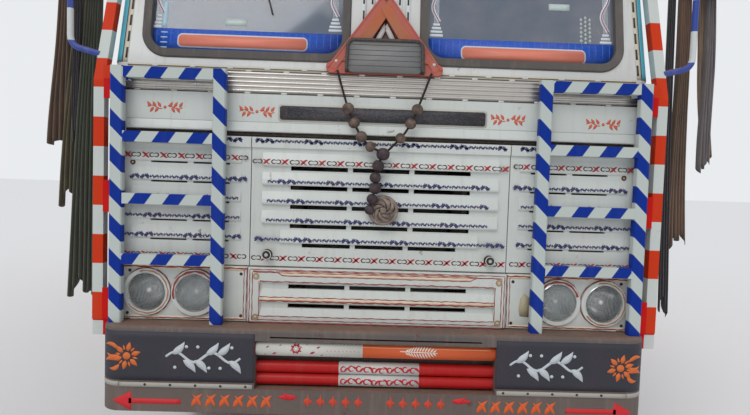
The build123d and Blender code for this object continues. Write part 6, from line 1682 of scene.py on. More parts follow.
screen_marks = []
FILM_WHITE, FILM_BLUE, SALMON = srgb(214, 220, 226), srgb(20, 84, 192), srgb(226, 128, 106)
for side, banner_top, plate, badge, feet in (
    (-1, 2175, ((-928, -347), (2090, 2154)), ((-721, -623), (2198, 2227)), ((-226, 2186), (-1008, 2176))),
    (1, 2174, ((343, 911), (2078, 2144)), ((744, 840), (2326, 2356)), ((231, 2182), (1004, 2160))),
):
    ring = screen_film(banner_top)
    screen_marks += tinted([slab(ring * (side, 1), -0.2, 0.6, GLASS)], FILM_BLUE)
    for k in range(27):
        x = side * (214 + 31 * k)
        screen_marks += tinted([plate_mark((x - 1, x + 1), (96, up(banner_top) - 3), GLASS, 0.8)], srgb(70, 116, 206))
    x, z = plate
    low, high = up(z[0]), up(z[1])
    screen_marks += tinted([slab(round_box(x, (low, high), 22), 0.4, 1.1, GLASS)], FILM_WHITE)
    screen_marks += tinted([slab(round_box((x[0] + 6, x[1] - 6), (low + 6, high - 6), 17), 0.9, 1.6, GLASS)], SALMON)
    x, z = badge
    screen_marks += tinted([plate_mark(x, (up(z[0]), up(z[1])), GLASS, 0.6)], srgb(190, 206, 200))
    for at, foot in feet:
        white, wound = column(at, foot, GLASS)
        screen_marks += tinted(white, FILM_WHITE) + tinted(wound, srgb(150, 40, 84))
screen_marks += tinted([plate_mark((-1003, -978), (up(2178), up(2300)), GLASS, 0.6)], srgb(176, 206, 220))
for z in (2085, 2108, 2131, 2154):
    screen_marks += tinted([plate_mark((-1003, -973), (up(z), up(z) + 5), GLASS, 1.2)], srgb(190, 214, 236))
for k in range(7):
    for x in (892, 912, 932):
        at = up(2160) + 20 * k + (x == 912) * 10
        screen_marks += tinted([leaf((x, at), (x, at + 17), 6.5, GLASS, 0.6)], srgb(178, 190, 188))
film_vinyl = paint_film("film_vinyl", rough=0.3, wear=0.25)
painted("screen_films", screen_marks, finish=film_vinyl)


def wiper(pivot, tip, heel):
    """A wiper on one screen: a domed pivot, a bar to the middle of the blade, and the blade from heel to tip."""
    middle = (np.array(tip, float) + heel) / 2
    arm = np.linspace(pivot, middle, 10)
    lift = np.interp(np.linspace(0, 1, 10), [0, 0.15, 1], [2, 22, 16])
    arm_line = np.vstack([on_screen(-6)(arm[k:k + 1], lift[k]) for k in range(10)])
    blade = np.linspace(heel, tip, 14)
    lift = 14 + 3 * np.cos(np.linspace(-np.pi, np.pi, 14))
    bridge = np.vstack([GLASS(blade[k:k + 1], lift[k]) for k in range(14)])
    hub = on_screen(-2)(np.array([pivot], float), 0)[0]
    axis = (0, -math.cos(SLOPE), math.sin(SLOPE))
    return [bar(arm_line, np.linspace(6.5, 3.6, 10), 8), bar(bridge, 3.4, 8), brush(blade, 7, GLASS, 9),
            turned([(-6, 15), (10, 15), (17, 11), (20, 1)], hub, axis, 16)]


wipers = wiper((-640, 706), (-510, up(2257)), (-600, up(2560)))
wipers += wiper((640, 706), (906, up(2590)), (560, up(2620)))
piece("wipers", gather(wipers), black_rubber, smooth=40)
print("films on the screens:", len(screen_marks))

# %% [markdown]
# ## Cab corners
# The corner is a quarter circle of radius 66 mm in plan, drawn in as the front slants back. Three strips run up it: a
# cream slotted one, a turquoise one, and the dark seam between them.

# %% Corner strips and mirrors
def on_corner(side):
    """The cab's corner above the belt: run is measured round the arc, x = 1134 + 66 sin(run / 66)."""
    def place(flat, lift):
        turn = np.clip(flat[:, 0] / CORNER_R, 0, np.pi / 2)
        past = np.clip(flat[:, 0] - CORNER_R * np.pi / 2, 0, None)
        rise = np.clip(flat[:, 1] - BELT_TOP, 0, None) / SLANT_TALL
        x = CAB_HALF - CORNER_R + (CORNER_R + lift) * np.sin(turn) - SLANT_IN * rise
        y = Y0 + WALL_FACE + CORNER_R - (CORNER_R + lift) * np.cos(turn) + past + SLANT_BACK * rise
        return np.column_stack([side * x, y, flat[:, 1]])

    return place


corner_marks = []
for side in (-1, 1):
    place = on_corner(side)
    corner_marks += tinted([plate_mark((-8, 22), (2012, 2690), place, 1.4, step=8)], TRIM_CREAM)
    corner_marks += tinted([plate_mark((28, 96), (2012, 2690), place, 1.8, step=6)], srgb(66, 168, 190))
    corner_marks += tinted([plate_mark((22, 28), (2012, 2690), place, 0.6, step=3)], srgb(66, 60, 56))
    # Below the belt a dark brown film on the corner is painted shade, for the shadowed gap between the pole and the
    # ladder's post.
    corner_marks += tinted([plate_mark((12, 112), (884, 1716), place, 0.5, step=6),
                            plate_mark((12, 112), (1768, 1884), place, 0.5, step=6)], srgb(82, 66, 58))
    # The dark slots in the cream strip and in the pale strips on the screen posts are painted shade.
    for k in range(9):
        corner_marks += tinted([plate_mark((2, 12), (2030 + 74 * k, 2078 + 74 * k), place, 1.8, step=5)], SLOT_PAINTED_SHADE)
    for x in (side * 100, side * 62):
        post = on_screen(0.0)
        corner_marks += tinted([plate_mark((x - 13, x + 13), (22, 660), post, 1.0, step=12)], srgb(214, 220, 220))
        for k in range(7):
            corner_marks += tinted([plate_mark((x - 4, x + 4), (60 + 84 * k, 112 + 84 * k), post, 1.4, step=6)],
                                   SLOT_PAINTED_SHADE)
painted("corner_strips", corner_marks, finish=enamel)


def mirror_skin(f):
    """Bands on the arm, which stands forward of the head; the head itself is black."""
    arm = f.maths("LESS_THAN", f.axes[1], FRONT_Y + 0.1815)
    band = banded(f, f.maths("MULTIPLY", f.axes[2], 1 / 0.28), 0.5, srgb(28, 62, 150), srgb(206, 210, 208), 0.006)
    return f.mix(arm, srgb(34, 34, 36), band)


dress("mirrors", weathered("mirror_paint", mirror_skin, rough=0.42, soil=0.12, ledge=0.4, rust=0.1))
silver = weathered("mirror_silver", srgb(226, 230, 232), rough=0.05, metal=1.0, soil=0.02, streaks=0.1, fade=0.05,
                   ledge=0.0, grain=0.0)
faces = []
for side in (-1, 1):
    ring = round_box((1400, 1596), (2460, 2750), 34)
    faces.append(slab(ring * (side, 1), -0.2, 1.5, on_back(Y0 + 226)))
piece("mirror_faces", gather(faces), silver, smooth=20)
head_ribs = [slab(round_box((side * 1498 - 60, side * 1498 + 60), (z - 4, z + 4), 3, 3), -0.5, 4, on_face(186))
             for side in (-1, 1) for z in (2500, 2605, 2710)]
piece("mirror_ribs", gather(head_ribs), black_rubber)
print("corner marks", len(corner_marks))

# %% [markdown]
# ## Seats
# The seats are stuffed, so each cushion starts as a slightly small block and is blown up by a cloth simulation:
# a voxel mesh, pressure inside, no gravity, twenty steps. How far a point may move is capped. After that the sewn
# channels are pressed in as valleys, `depth * exp(-(distance / width) ** 2)`, with a raised welt round the edge.

# %% Seats
def stuffed(name, low, high, lean, cap, seams, welt, finish):
    """A stuffed pad in metres: remeshed, swollen, capped, then its channels and welt pressed in.

    lean moves y by lean * (z - low z); seams are x positions of channels, on the faces that the sitter touches."""
    low, high = np.array(low, float), np.array(high, float)
    points, faces = block(low / MM + 6, high / MM - 6, 26)
    points[:, 1] += lean * (points[:, 2] - low[2])
    made = mesh_object(name, (points, faces), smooth=0)
    grain = made.modifiers.new("grain", "REMESH")
    grain.mode, grain.voxel_size = "VOXEL", 0.0075
    graph = bpy.context.evaluated_depsgraph_get()
    dense = bpy.data.meshes.new_from_object(made.evaluated_get(graph))
    made.modifiers.clear()
    made.data = dense
    start = read_points(dense)
    moved = start.copy()
    cloth = made.modifiers.new("stuffing", "CLOTH")
    cloth.settings.use_pressure = True
    cloth.settings.uniform_pressure_force = 4.0
    cloth.settings.effector_weights.gravity = 0.0
    cloth.settings.quality = 4
    cloth.point_cache.frame_start, cloth.point_cache.frame_end = 1, 20
    for step in range(1, 21):
        bpy.context.scene.frame_set(step)
    swollen = bpy.data.meshes.new_from_object(made.evaluated_get(bpy.context.evaluated_depsgraph_get()))
    moved = read_points(swollen)
    made.modifiers.clear()
    bpy.context.scene.frame_set(1)
    shift = moved - start
    far = np.linalg.norm(shift, axis=1, keepdims=True)
    moved = start + shift * np.minimum(1, cap / np.maximum(far, 1e-6))
    x, y, z = moved.T
    straight = y - lean * (z - low[2])
    middle, half = (low + high) / 2, (high - low) / 2
    rim = np.maximum(np.abs(x - middle[0]) / half[0],
                     np.abs((z if lean else y) - (middle[2] if lean else middle[1])) / (half[2] if lean else half[1]))
    inner = np.clip((0.97 - rim) * 9, 0, 1)
    across = np.abs(x[:, None] - np.array(seams) * MM).min(1)
    valley = 0.011 * np.exp(-(across / 0.011) ** 2) * inner
    if lean:
        moved[:, 1] += valley * np.clip((middle[1] - straight) / half[1] * 2, 0, 1)
        at_edge = np.exp(-((straight - (low[1] + 0.024)) / 0.006) ** 2)
        out = np.column_stack([x - middle[0], np.zeros_like(x), z - middle[2]]) * (rim > 0.86)[:, None]
    else:
        moved[:, 2] -= valley * np.clip((z - middle[2]) / half[2] * 2, 0, 1)
        at_edge = np.exp(-((z - (high[2] - 0.026)) / 0.006) ** 2)
        out = np.column_stack([x - middle[0], y - middle[1], np.zeros_like(x)]) * (rim > 0.86)[:, None]
        moved[:, 2] = np.maximum(moved[:, 2], low[2] + 0.0008)
    out /= np.maximum(np.linalg.norm(out, axis=1, keepdims=True), 1e-6)
    moved += out * (at_edge * welt)[:, None]
    dense.vertices.foreach_set("co", np.ascontiguousarray(moved, np.float32).ravel())
    dense.update()
    dense.materials.clear()
    dense.materials.append(finish)
    dense.shade_smooth()
    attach(made, "truck")
    return made


def leathercloth(name, colour, dark):
    """Coated seat cloth: a pebbled grain of small cells, greyer where it is rubbed, darker in cloudy patches and
    between the pebbles.
    """
    f = Finish(name)
    cells = f.add("ShaderNodeTexVoronoi", f.object, feature="DISTANCE_TO_EDGE")
    cells.inputs["Scale"].default_value = 420.0
    pebble = f.between(cells.outputs[0], 0.0, 0.25)
    cloud = f.noise(7.0, 6.0)
    worn = f.noise(22.0, 6.0, roughness=0.7)
    base = f.mix(f.between(cloud, 0.35, 0.75, 0.0, 0.7), colour, dark)
    base = f.mix(f.between(worn, 0.56, 0.76, 0.0, 0.55), base, srgb(128, 112, 100))
    f.feed("Base Color", f.mix(f.between(pebble, 0.0, 0.4, 0.45, 0.0), base, dark))
    f.feed("Roughness", f.between(worn, 0.3, 0.75, 0.42, 0.7))
    f.feed("Sheen Weight", 0.15)
    f.relief(pebble, 0.0007)
    return f.material


seat_skin = leathercloth("seat_skin", srgb(104, 46, 40), srgb(58, 26, 26))
PADS = (
    ("cushion_driver", (-1.012, -3.152, 1.4305), (-0.528, -2.668, 1.556), 0.0, (-890, -770, -650)),
    ("cushion_mate", (0.478, -3.152, 1.4305), (1.082, -2.668, 1.556), 0.0, (620, 780, 940)),
    ("back_driver", (-1.008, -2.732, 1.556), (-0.532, -2.640, 2.104), 0.19, (-890, -770, -650)),
    ("back_mate", (0.482, -2.732, 1.556), (1.078, -2.640, 2.104), 0.19, (620, 780, 940)),
)
pads = [stuffed(name, low, high, lean, 0.014, seams, 0.0035, seat_skin) for name, low, high, lean, seams in PADS]
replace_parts(pads[0], "seats")
seat_frames = []
for x in ((-1020, -520), (470, 1090)):
    seat_frames += [block((x[0] + 40, Y0 + 1080, 1190), (x[1] - 40, Y0 + 1480, 1414), 8),
                    block((x[0] + 14, Y0 + 1056, 1414), (x[1] - 14, Y0 + 1524, 1430), 5)]
    for side in (x[0] + 60, x[1] - 60):
        post = [(side, Y0 + 1490, 1424), (side, Y0 + 1572, 1500), (side, Y0 + 1604, 1640), (side, Y0 + 1676, 2010)]
        seat_frames.append(bar(post, 13, 10))
    for z in (1240, 1290, 1340):
        seat_frames.append(block((x[0] + 110, Y0 + 1074, z), (x[1] - 110, Y0 + 1082, z + 22), 3))
piece("seat_frames", gather(seat_frames), weathered("seat_steel", srgb(52, 56, 58), rough=0.5, soil=0.2, rust=0.2))
print("pads:", [(p.name, len(p.data.polygons)) for p in pads])

# %% [markdown]
# ## Controls
# Dials on the dash are turned bezels round black faces with ticks, set at equal angles, and a red needle. Pedals,
# a gear lever with a long crank and a handbrake finish the driver's place.

# %% Dash, pedals and levers
def on_dash(flat, lift):
    """The dash's rear face, which leans from depth 430 at z 1800 to 400 at z 1985."""
    lean = math.atan2(30, 185)
    y = Y0 + 430 - (flat[:, 1] - 1800) * math.tan(lean)
    return np.column_stack([flat[:, 0], y + lift * math.cos(lean), flat[:, 1] + lift * math.sin(lean)])


def dial(x, z, radius, needle):
    """A dial's marks: black face, ticks every 18 degrees over 270, and a needle at a share of the sweep."""
    marks = tinted([disc((x, z), radius - 3, on_dash, 6.4, 15)], srgb(16, 16, 18))
    angles = np.radians(225 - 270 * np.linspace(0, 1, 16))
    for k, angle in enumerate(angles):
        way = np.array([math.cos(angle), math.sin(angle)])
        near = 0.66 if k % 5 == 0 else 0.76
        ends = np.array([[x, z] + way * radius * near, [x, z] + way * radius * 0.88])
        marks += tinted([brush(np.linspace(*ends, 3), 2.4 if k % 5 == 0 else 1.3, on_dash, 7.0)], srgb(214, 216, 208))
    angle = math.radians(225 - 270 * needle)
    way = np.array([math.cos(angle), math.sin(angle)])
    hand_line = np.linspace([x, z] - way * radius * 0.2, [x, z] + way * radius * 0.72, 5)
    marks += tinted([brush(hand_line, np.linspace(3.4, 1.2, 5), on_dash, 8.0)], srgb(206, 52, 34))
    return marks + tinted([disc((x, z), radius * 0.13, on_dash, 9.0, 9)], srgb(30, 30, 32))


DIALS = ((-886, 1905, 46, 0.0), (-654, 1905, 46, 0.35), (-806, 1925, 30, 0.2), (-734, 1925, 30, 0.6),
         (-770, 1868, 30, 0.1))
dial_marks = [mark for place in DIALS for mark in dial(*place)]
for x in (-600, -566, -532, -498):
    dial_marks += tinted([plate_mark((x - 11, x + 11), (1850, 1874), on_dash, 5.0, 4)], srgb(26, 26, 28))
dial_marks += tinted([disc((x, 1950), 5.5, on_dash, 3.0, 9) for x in (-560, -530)], srgb(190, 60, 40))
dial_marks += tinted([plate_mark((470, 930), (1822, 1958), on_dash, 3.0, 14)], srgb(48, 46, 46))
dial_marks += tinted([plate_mark((676, 724), (1932, 1944), on_dash, 7.0, 5)], srgb(20, 20, 22))
for x in (-240, 240):
    dial_marks += tinted([plate_mark((x - 90, x + 90), (1870, 1942), on_dash, 3.0, 8)], srgb(30, 30, 31))
    dial_marks += tinted([plate_mark((x - 80, x + 80), (z, z + 5), on_dash, 6.0) for z in (1880, 1893, 1906, 1919)],
                         srgb(58, 57, 57))
painted("dash_dials", dial_marks, finish=enamel)
bezel_ring, DASH_LEAN = [], 0.161
for x, z, radius, _ in DIALS:
    centre = on_dash(np.array([[x, z]], float), 0)[0]
    outline = [(-0.5, radius - 4), (10, radius - 3), (12, radius), (10, radius + 3.5), (-0.5, radius + 5)]
    bezel_ring.append(hoop(outline, centre, (0, math.cos(DASH_LEAN), math.sin(DASH_LEAN)), 32))
piece("dial_bezels", gather(bezel_ring), chrome, smooth=50)

gear_lever = [(-352, Y0 + 1010, 1555), (-356, Y0 + 1000, 1600), (-420, Y0 + 980, 1700), (-450, Y0 + 1000, 1800)]
gaiter = [(-4, 42), (6, 44), (14, 36), (30, 30), (34, 20), (58, 13)]
levers = [bar(gear_lever, 9, 10), turned(gaiter, (-352, Y0 + 1010, 1560), (0, 0, 1), 20)]
levers.append(turned([(-24, 8), (-18, 22), (0, 28), (18, 24), (28, 9)], (-451, Y0 + 1001, 1818), (-0.1, 0.2, 1), 20))
levers.append(bar([(-462, Y0 + 1420, 1190), (-462, Y0 + 1400, 1300), (-462, Y0 + 1330, 1440)], 8, 10))
levers.append(bar([(-462, Y0 + 1334, 1432), (-462, Y0 + 1300, 1500)], 13, 10))
for x, wide in ((-660, 34), (-770, 34), (-880, 26)):
    levers.append(bar([(x, Y0 + 330, 1420), (x, Y0 + 400, 1330), (x, Y0 + 424, 1290)], 9, 8))
    levers.append(block((x - wide, Y0 + 416, 1240), (x + wide, Y0 + 430, 1300), 4))
    levers += [block((x - wide + 6, Y0 + 429, z), (x + wide - 6, Y0 + 434, z + 6), 1.5) for z in (1248, 1264, 1280)]
levers.append(bar([(-900, Y0 + 520, 1800), (-980, Y0 + 560, 1826), (-1010, Y0 + 566, 1832)], 6, 8))
piece("levers", gather(levers), black_rubber, smooth=40)
print("dials:", len(DIALS), "controls:", len(levers))

# %% [markdown]
# ## Cab sides, roof and back
# The sides are drawn on their own planes: depth behind the bumper's face runs one way and height the other, and
# above the belt the wall leans in. Rubber frames run round each window, and a gutter and a grab rail run over it.

# %% Cab sides
def on_side(side):
    """The cab's side wall: x = half width - 35 (z - 2010) / 780 above the belt, y from the depth."""
    def place(flat, lift):
        x = CAB_HALF - SLANT_IN * np.clip(flat[:, 1] - BELT_TOP, 0, None) / SLANT_TALL + lift
        return np.column_stack([side * x, Y0 + flat[:, 0], flat[:, 1]])

    return place


def frame_line(x, z, corner, width, place, film, step=14):
    """A closed strip round a rounded rectangle, whose two ends lie over each other."""
    ring = round_box(x, z, corner, 6)
    return brush(hand(np.vstack([ring, ring[:2]]), step, 0.0), width, place, film)


def bowed(points, radius, sides=8, count=6):
    """A bar through points with its corners rounded: each corner is cut by a quadratic curve."""
    points = np.array(points, float)
    line = [points[0]]
    for a, b, c in zip(points[:-2], points[1:-1], points[2:]):
        reach = 0.35 * min(np.linalg.norm(a - b), np.linalg.norm(c - b))
        start, stop = b + (a - b) / np.linalg.norm(a - b) * reach, b + (c - b) / np.linalg.norm(c - b) * reach
        t = np.linspace(0, 1, count)[:, None]
        line += list((1 - t) ** 2 * start + 2 * t * (1 - t) * b + t**2 * stop)
    return bar(np.array(line + [points[-1]]), radius, sides)


def turned_side(shape, side):
    """A mark drawn on the face at depth 0, turned onto the side: (x, y, z) -> (side (half + Y0 - y), Y0 + x, z)."""
    points = shape[0] / MM
    moved = np.column_stack([side * (CAB_HALF + Y0 - points[:, 1]), Y0 + points[:, 0], points[:, 2]]) * MM
    return moved, turned_out(moved - moved.mean(0), shape[1])


door_rubbers, cab_rubbers, rails_up, side_film, door_film = [], [], [], [], []
for side in (-1, 1):
    place = on_side(side)
    rubber_parts = [frame_line((459, 1205), (2055, 2583), 6, 11, place, 3.2)]
    rubber_parts.append(brush(hand([(464, 2064), (1200, 2064)], 14, 0.0), 14, place, 5.0))
    door_rubbers.append(gather(rubber_parts))
    cab_rubbers.append(frame_line((1374, 1786), (2074, 2566), 8, 15, place, 4.5))
    gutter = [(1176, 372, 2668), (1172, 392, 2690), (1172, 800, 2694), (1172, 1280, 2690), (1174, 1300, 2668)]
    rails_up.append(bar([(side * x, Y0 + y, z) for x, y, z in gutter], 6, 8))
    rail = [(1194, 1330, 1500), (1236, 1330, 1500), (1236, 1330, 2030), (1194, 1330, 2030)]
    rails_up.append(bowed([(side * x, Y0 + y, z) for x, y, z in rail], 11, 10))
    for z in (1500, 2030):
        rails_up.append(turned([(0, 24), (4, 23), (6, 13)], (side * (1199.5 if z < 2010 else 1198.5), Y0 + 1330, z),
                               (side, 0, 0), 16))
    for low, shade in ((1716, BROWN_RED), (1998, BROWN_RED), (1986, NAVY)):
        film = srgb(44, 62, 126) if shade is NAVY else shade
        door_film += tinted([(side, brush(hand([(412, low), (1252, low)], 16, 0.5), 5, place, 0.6))], film)
        side_film += tinted([brush(hand([(1272, low), (1884, low)], 16, 0.5), 5, place, 0.6)], film)
    for z in (1932, 1660):
        door_film += [((side, turned_side(s, side)), NAVY) for s in vine_row((420, 1246), z, on_face(0), 20)]
        side_film += [(turned_side(s, side), NAVY) for s in vine_row((1276, 1880), z, on_face(0), 45)]
    box = np.array(box_line((470, 1194), (1290, 1610)), float)
    door_film += tinted([(side, stroke(box, 5, place, 0.6, 1.0)),
                         (side, stroke(832 + (box - 832) * (0.955, 1), 2.6, place, 0.6, 2.0))], BROWN_RED)
    for x, z in ((832, 1450), (560, 1450), (1104, 1450)):
        door_film += tinted([(side, s) for s in sprig((x, z), 76, place)], srgb(196, 92, 60))
    side_film += tinted([stroke(box_line((1330, 1860), (1200, 1620)), 5, place, 0.6, 3.0)], BROWN_RED)
    side_film += tinted(sprig((1595, 1410), 110, place), srgb(196, 92, 60))
for side, body in ((-1, "door_right"), (1, "door_left")):
    name = body.split("_")[1]
    piece("door_rubber_" + name, door_rubbers[0 if side < 0 else 1], black_rubber, body)
    painted("door_ornament_" + name, [(s, c) for (way, s), c in door_film if way == side], body)
    latch = [turned([(0, 15), (3, 15), (5, 11), (6, 3)], (side * 1199.5, Y0 + 1181, 1688), (side, 0, 0), 20)]
    latch.append(block((side * 1231 - 4, Y0 + 1128, 1724), (side * 1231 + 4, Y0 + 1234, 1746), 3))
    hinge = [(-4, 12), (0, 13), (78, 13), (82, 11), (86, 4)]
    for z in (1330, 1880):
        latch.append(turned(hinge, (side * 1210, Y0 + 402, z - 22), (0, 0, 1), 14))
    for z in (1366, 1916):
        places = [(side * 1199.6, Y0 + y, z + k) for y in (430, 462) for k in (-10, 12)]
        latch.append(bolts(places, (side, 0, 0), 5, 4))
    piece("door_latch_" + name, gather(latch), dark_steel, body)
CAB_BACK = on_back(Y0 + 1950)
side_film += tinted([stroke([(-1100, z), (1100, z)], 5, CAB_BACK, 0.6, z) for z in (1400, 2010)], BROWN_RED)
painted("cab_side_ornament", side_film)
piece("quarter_rubbers", gather(cab_rubbers), seal_rubber)
piece("cab_rails", gather(rails_up), chrome, smooth=50)

treads = []
for side in (-1, 1):
    for z in (724, 954):
        for k in range(9):
            x = 962 + 26 * k
            treads.append(block((side * x - 5, Y0 + 478, z - 0.5), (side * x + 5, Y0 + 728, z + 4), 2))
piece("step_treads", gather(treads), cast_iron)
print("cab sides: door marks", len(door_film), "side marks", len(side_film))

# %% [markdown]
# ## Panes, roof and crown
# The quarter and rear panes are thin glass in rubber. The roof carries raised ribs and the crown board, which
# gets two scalloped lines and a row of painted flowers.

# %% Panes, roof and crown
panes = []
for side in (-1, 1):
    place = lambda flat, lift, way=side: on_side(way)(flat, lift - 22)
    panes.append(slab(round_box((1379, 1781), (2079, 2561), 5, 3), -2, 2, place))
panes.append(slab(round_box((-481, 481), (2079, 2481), 5, 3), -2, 2, on_back(Y0 + 1930)))
piece("fixed_panes", gather(panes), door_pane, smooth=0)
rear_rubber = frame_line((-486, 486), (2074, 2486), 10, 15, CAB_BACK, 4.5)
piece("rear_window_rubber", rear_rubber, seal_rubber)

ribs = []
for x in (-800, -400, 0, 400, 800):
    ribs.append(block((x - 32, Y0 + 470, 2786), (x + 32, Y0 + 1740, 2796), 5))
piece("roof_ribs", gather(ribs), cab_paint)

CROWN_FACE, CROWN_HALF, CROWN_FOOT, CROWN_BLUE = on_face(350), 980, 2790, srgb(38, 84, 150)
s = np.linspace(-np.pi, np.pi, 181)
crown_marks = []
for edge, width, shade in ((0.93, 9, WHITE), (0.86, 5, CROWN_BLUE)):
    lobes = CROWN_FOOT + edge * (96 + 95 * np.cos(s / 2) + 40 * np.abs(np.cos(7 * s / 2)))
    scallops = np.column_stack([CROWN_HALF * 0.985 * s / np.pi, lobes])
    crown_marks += tinted([brush(scallops, width, CROWN_FACE, 0.7)], shade)
for x in np.linspace(-840, 840, 7):
    tall = 96 + 95 * math.cos(x / CROWN_HALF * math.pi / 2)
    centre = np.array([x, CROWN_FOOT + 0.46 * tall])
    crown_marks += eight_petals(centre, 0, 0.26 * tall + 14, 8, CROWN_FACE, (WHITE, srgb(236, 178, 60)), 0.8)
    crown_marks += tinted([disc(centre, 10, CROWN_FACE, 1.6, 9)], CROWN_BLUE)
painted("crown_ornament", crown_marks)
crown_bolts = [(x + k, Y0 + 350, 2812) for x in (-700, 0, 700) for k in (-40, 40)]
piece("crown_bolts", bolts(crown_bolts, (0, -1, 0), 7, 5), dark_steel)
print("crown marks", len(crown_marks))

# %% [markdown]
# ## The load body
# Steel posts stand along the boarded sides. Each board is bolted to each post, with a painted field between
# posts, and hooks for the ropes below. Bolts and hooks are copies of one small shape.

# %% Load body
POST_HALF, BOARD_FOOT, BOARD_TALL = 31, 1180, 231.4
post_y = np.linspace(-2130 + POST_HALF, 4130 - POST_HALF, 9)
board_z = BOARD_FOOT + BOARD_TALL * (np.arange(7) + 0.5)
grid_y, grid_z = np.meshgrid(post_y, board_z)
post_bolts = np.column_stack([np.full(grid_y.size, 1243.4), grid_y.ravel(), grid_z.ravel()])
both_rows = np.vstack([post_bolts + (0, 0, 60), post_bolts - (0, 0, 60)])
side_bolts = bolts(both_rows, (1, 0, 0), 9, 7)
straps = gather([block((1205, y - 46, z - 7), (1210, y + 46, z + 7), 2) for y in post_y[1:-1] for z in board_z])
piece("side_bolts", both(gather([side_bolts, straps])), dark_steel)

seam_dark, side_yellow = srgb(54, 30, 22), srgb(214, 160, 62)
side_blue, side_green = srgb(48, 92, 150), srgb(52, 110, 84)
side_marks = []
field = lambda flat, lift: np.column_stack([np.full(len(flat), 1206 + lift), flat[:, 0], flat[:, 1]])
for left, right_edge in zip(post_y[:-1] + POST_HALF, post_y[1:] - POST_HALF):
    y = (left + 16, right_edge - 16)
    for k, (low, high) in enumerate(((0, 2), (2, 5), (5, 7))):
        z = (BOARD_FOOT + BOARD_TALL * low + 22 + (62 if low == 0 else 0),
             BOARD_FOOT + BOARD_TALL * high - 22 - (40 if high == 7 else 0))
        for inset, width, shade in ((0, 13, side_yellow), (20, 6, side_blue)):
            side_marks += tinted([stroke(box_line(y, z, inset), width, field, 1.0, k, step=27.0)], shade)
        centre = np.array([(y[0] + y[1]) / 2, (z[0] + z[1]) / 2])
        reach = 0.30 * min(y[1] - y[0], z[1] - z[0])
        side_marks += eight_petals(centre, reach * 0.22, reach, reach * 0.17, field, (side_yellow, WHITE), 1.0)
        side_marks += tinted([disc(centre, reach * 0.2, field, 1.4, 11)], side_green)
        for way in (-1, 1):
            for tall in (-1, 1):
                corner = centre + (way * (y[1] - y[0] - 90) / 2, tall * (z[1] - z[0] - 90) / 2)
                side_marks += tinted([leaf(corner, corner - (way * 60, tall * 14), 9, field, 1.0),
                                      leaf(corner, corner - (way * 14, tall * 60), 9, field, 1.0)], side_green)
painted("body_ornament_left", side_marks)
painted("body_ornament_right", [(mirrored(s), c) for s, c in side_marks])

hooks = []
for y in np.arange(-1900, 4000, 420):
    hook = [(1244, y, 1236), (1262, y, 1228), (1262, y, 1196), (1246, y, 1190), (1240, y, 1204)]
    hooks.append(bowed(hook, 6, 6, 4))
for y in np.arange(-1980, 4100, 360):
    hooks.append(turned([(0, 17), (3, 17), (5, 10), (9, 9)], (1206, y, 1214), (1, 0, 0), 8))
    hooks.append(block((1247, y - 30, 2812), (1250, y + 30, 2828), 1.4))
piece("rope_hooks", both(gather(hooks)), dark_steel)
print("body marks a side:", len(side_marks), "hooks:", len(hooks))

# %% [markdown]
# The gate has bolted ribs with a painted field between them. The headboard is bolted as the sides are, and its
# arch gets two lines and a row of petals that faces forward over the cab.

# %% Gate, headboard and rear lamps
gate_marks, gate_iron = [], []
gate_back = on_back(4161)
for left, right_edge in ((-1092, -588), (-532, -28), (28, 532), (588, 1092)):
    z = (1306, 1982)
    for inset, width, shade in ((14, 11, side_yellow), (32, 5, side_blue)):
        border = box_line((left, right_edge), z, inset)
        gate_marks += tinted([stroke(border, width, gate_back, 0.9, left, step=27.0)], shade)
    for seam in (1520, 1750):
        line = plate_mark((left + 2, right_edge - 2), (seam - 3, seam + 3), gate_back, 0.5, step=300)
        gate_marks += tinted([line], seam_dark)
    centre = np.array([(left + right_edge) / 2, 1644])
    gate_marks += eight_petals(centre, 30, 138, 22, gate_back, (side_yellow, WHITE), 1.0)
    gate_marks += tinted([disc(centre, 26, gate_back, 1.5, 11)], side_green)
painted("gate_ornament", gate_marks, "tailgate")
for x in (-1120, -560, 0, 560, 1120):
    gate_iron.append(bolts([(x, 4172.6, z) for z in (1340, 1480, 1620, 1760, 1900)], (0, 1, 0), 9, 7))
piece("gate_iron", gather(gate_iron), dark_steel, "tailgate")

board_marks = []
front_board = on_face(2028)
BODY_HALF, ARCH_FOOT, ARCH_RISE = 1205, 2900, 160
bow = np.linspace(-1, 1, 61)
arch = ARCH_FOOT + ARCH_RISE * np.cos(bow * np.pi / 2)
for drop, width, shade in ((26, 12, side_yellow), (50, 5, WHITE)):
    board_marks += tinted([brush(np.column_stack([BODY_HALF * bow, arch - drop]), width, front_board, 0.8)], shade)
for x in np.arange(-1080, 1081, 120):
    top = ARCH_FOOT + ARCH_RISE * math.cos(x / BODY_HALF * math.pi / 2) - 74
    board_marks += tinted([leaf((x, top - 58), (x, top), 14, front_board, 0.9)],
                          (WHITE, side_yellow)[int(x / 120) % 2])
painted("headboard_ornament", board_marks)
board_bolts = [(x, -2206.4, z) for x in (-900, -450, 0, 450, 900) for z in np.arange(1300, 2880, BOARD_TALL)]
piece("headboard_bolts", bolts(board_bolts, (0, -1, 0), 9, 7), dark_steel)


def lens_plastic(name, colour):
    """Moulded lamp plastic with fine upright flutes, dusty in blotches."""
    f = Finish(name)
    flute = f.maths("SINE", f.maths("MULTIPLY", f.axes[0], 2 * math.pi / 0.006))
    f.feed("Base Color", f.mix(f.between(f.noise(14.0, 5.0), 0.45, 0.8, 0.0, 0.4), colour, DUST))
    f.feed("Roughness", 0.22)
    f.feed("Coat Weight", 0.6)
    f.relief(flute, 0.0016)
    return f.material


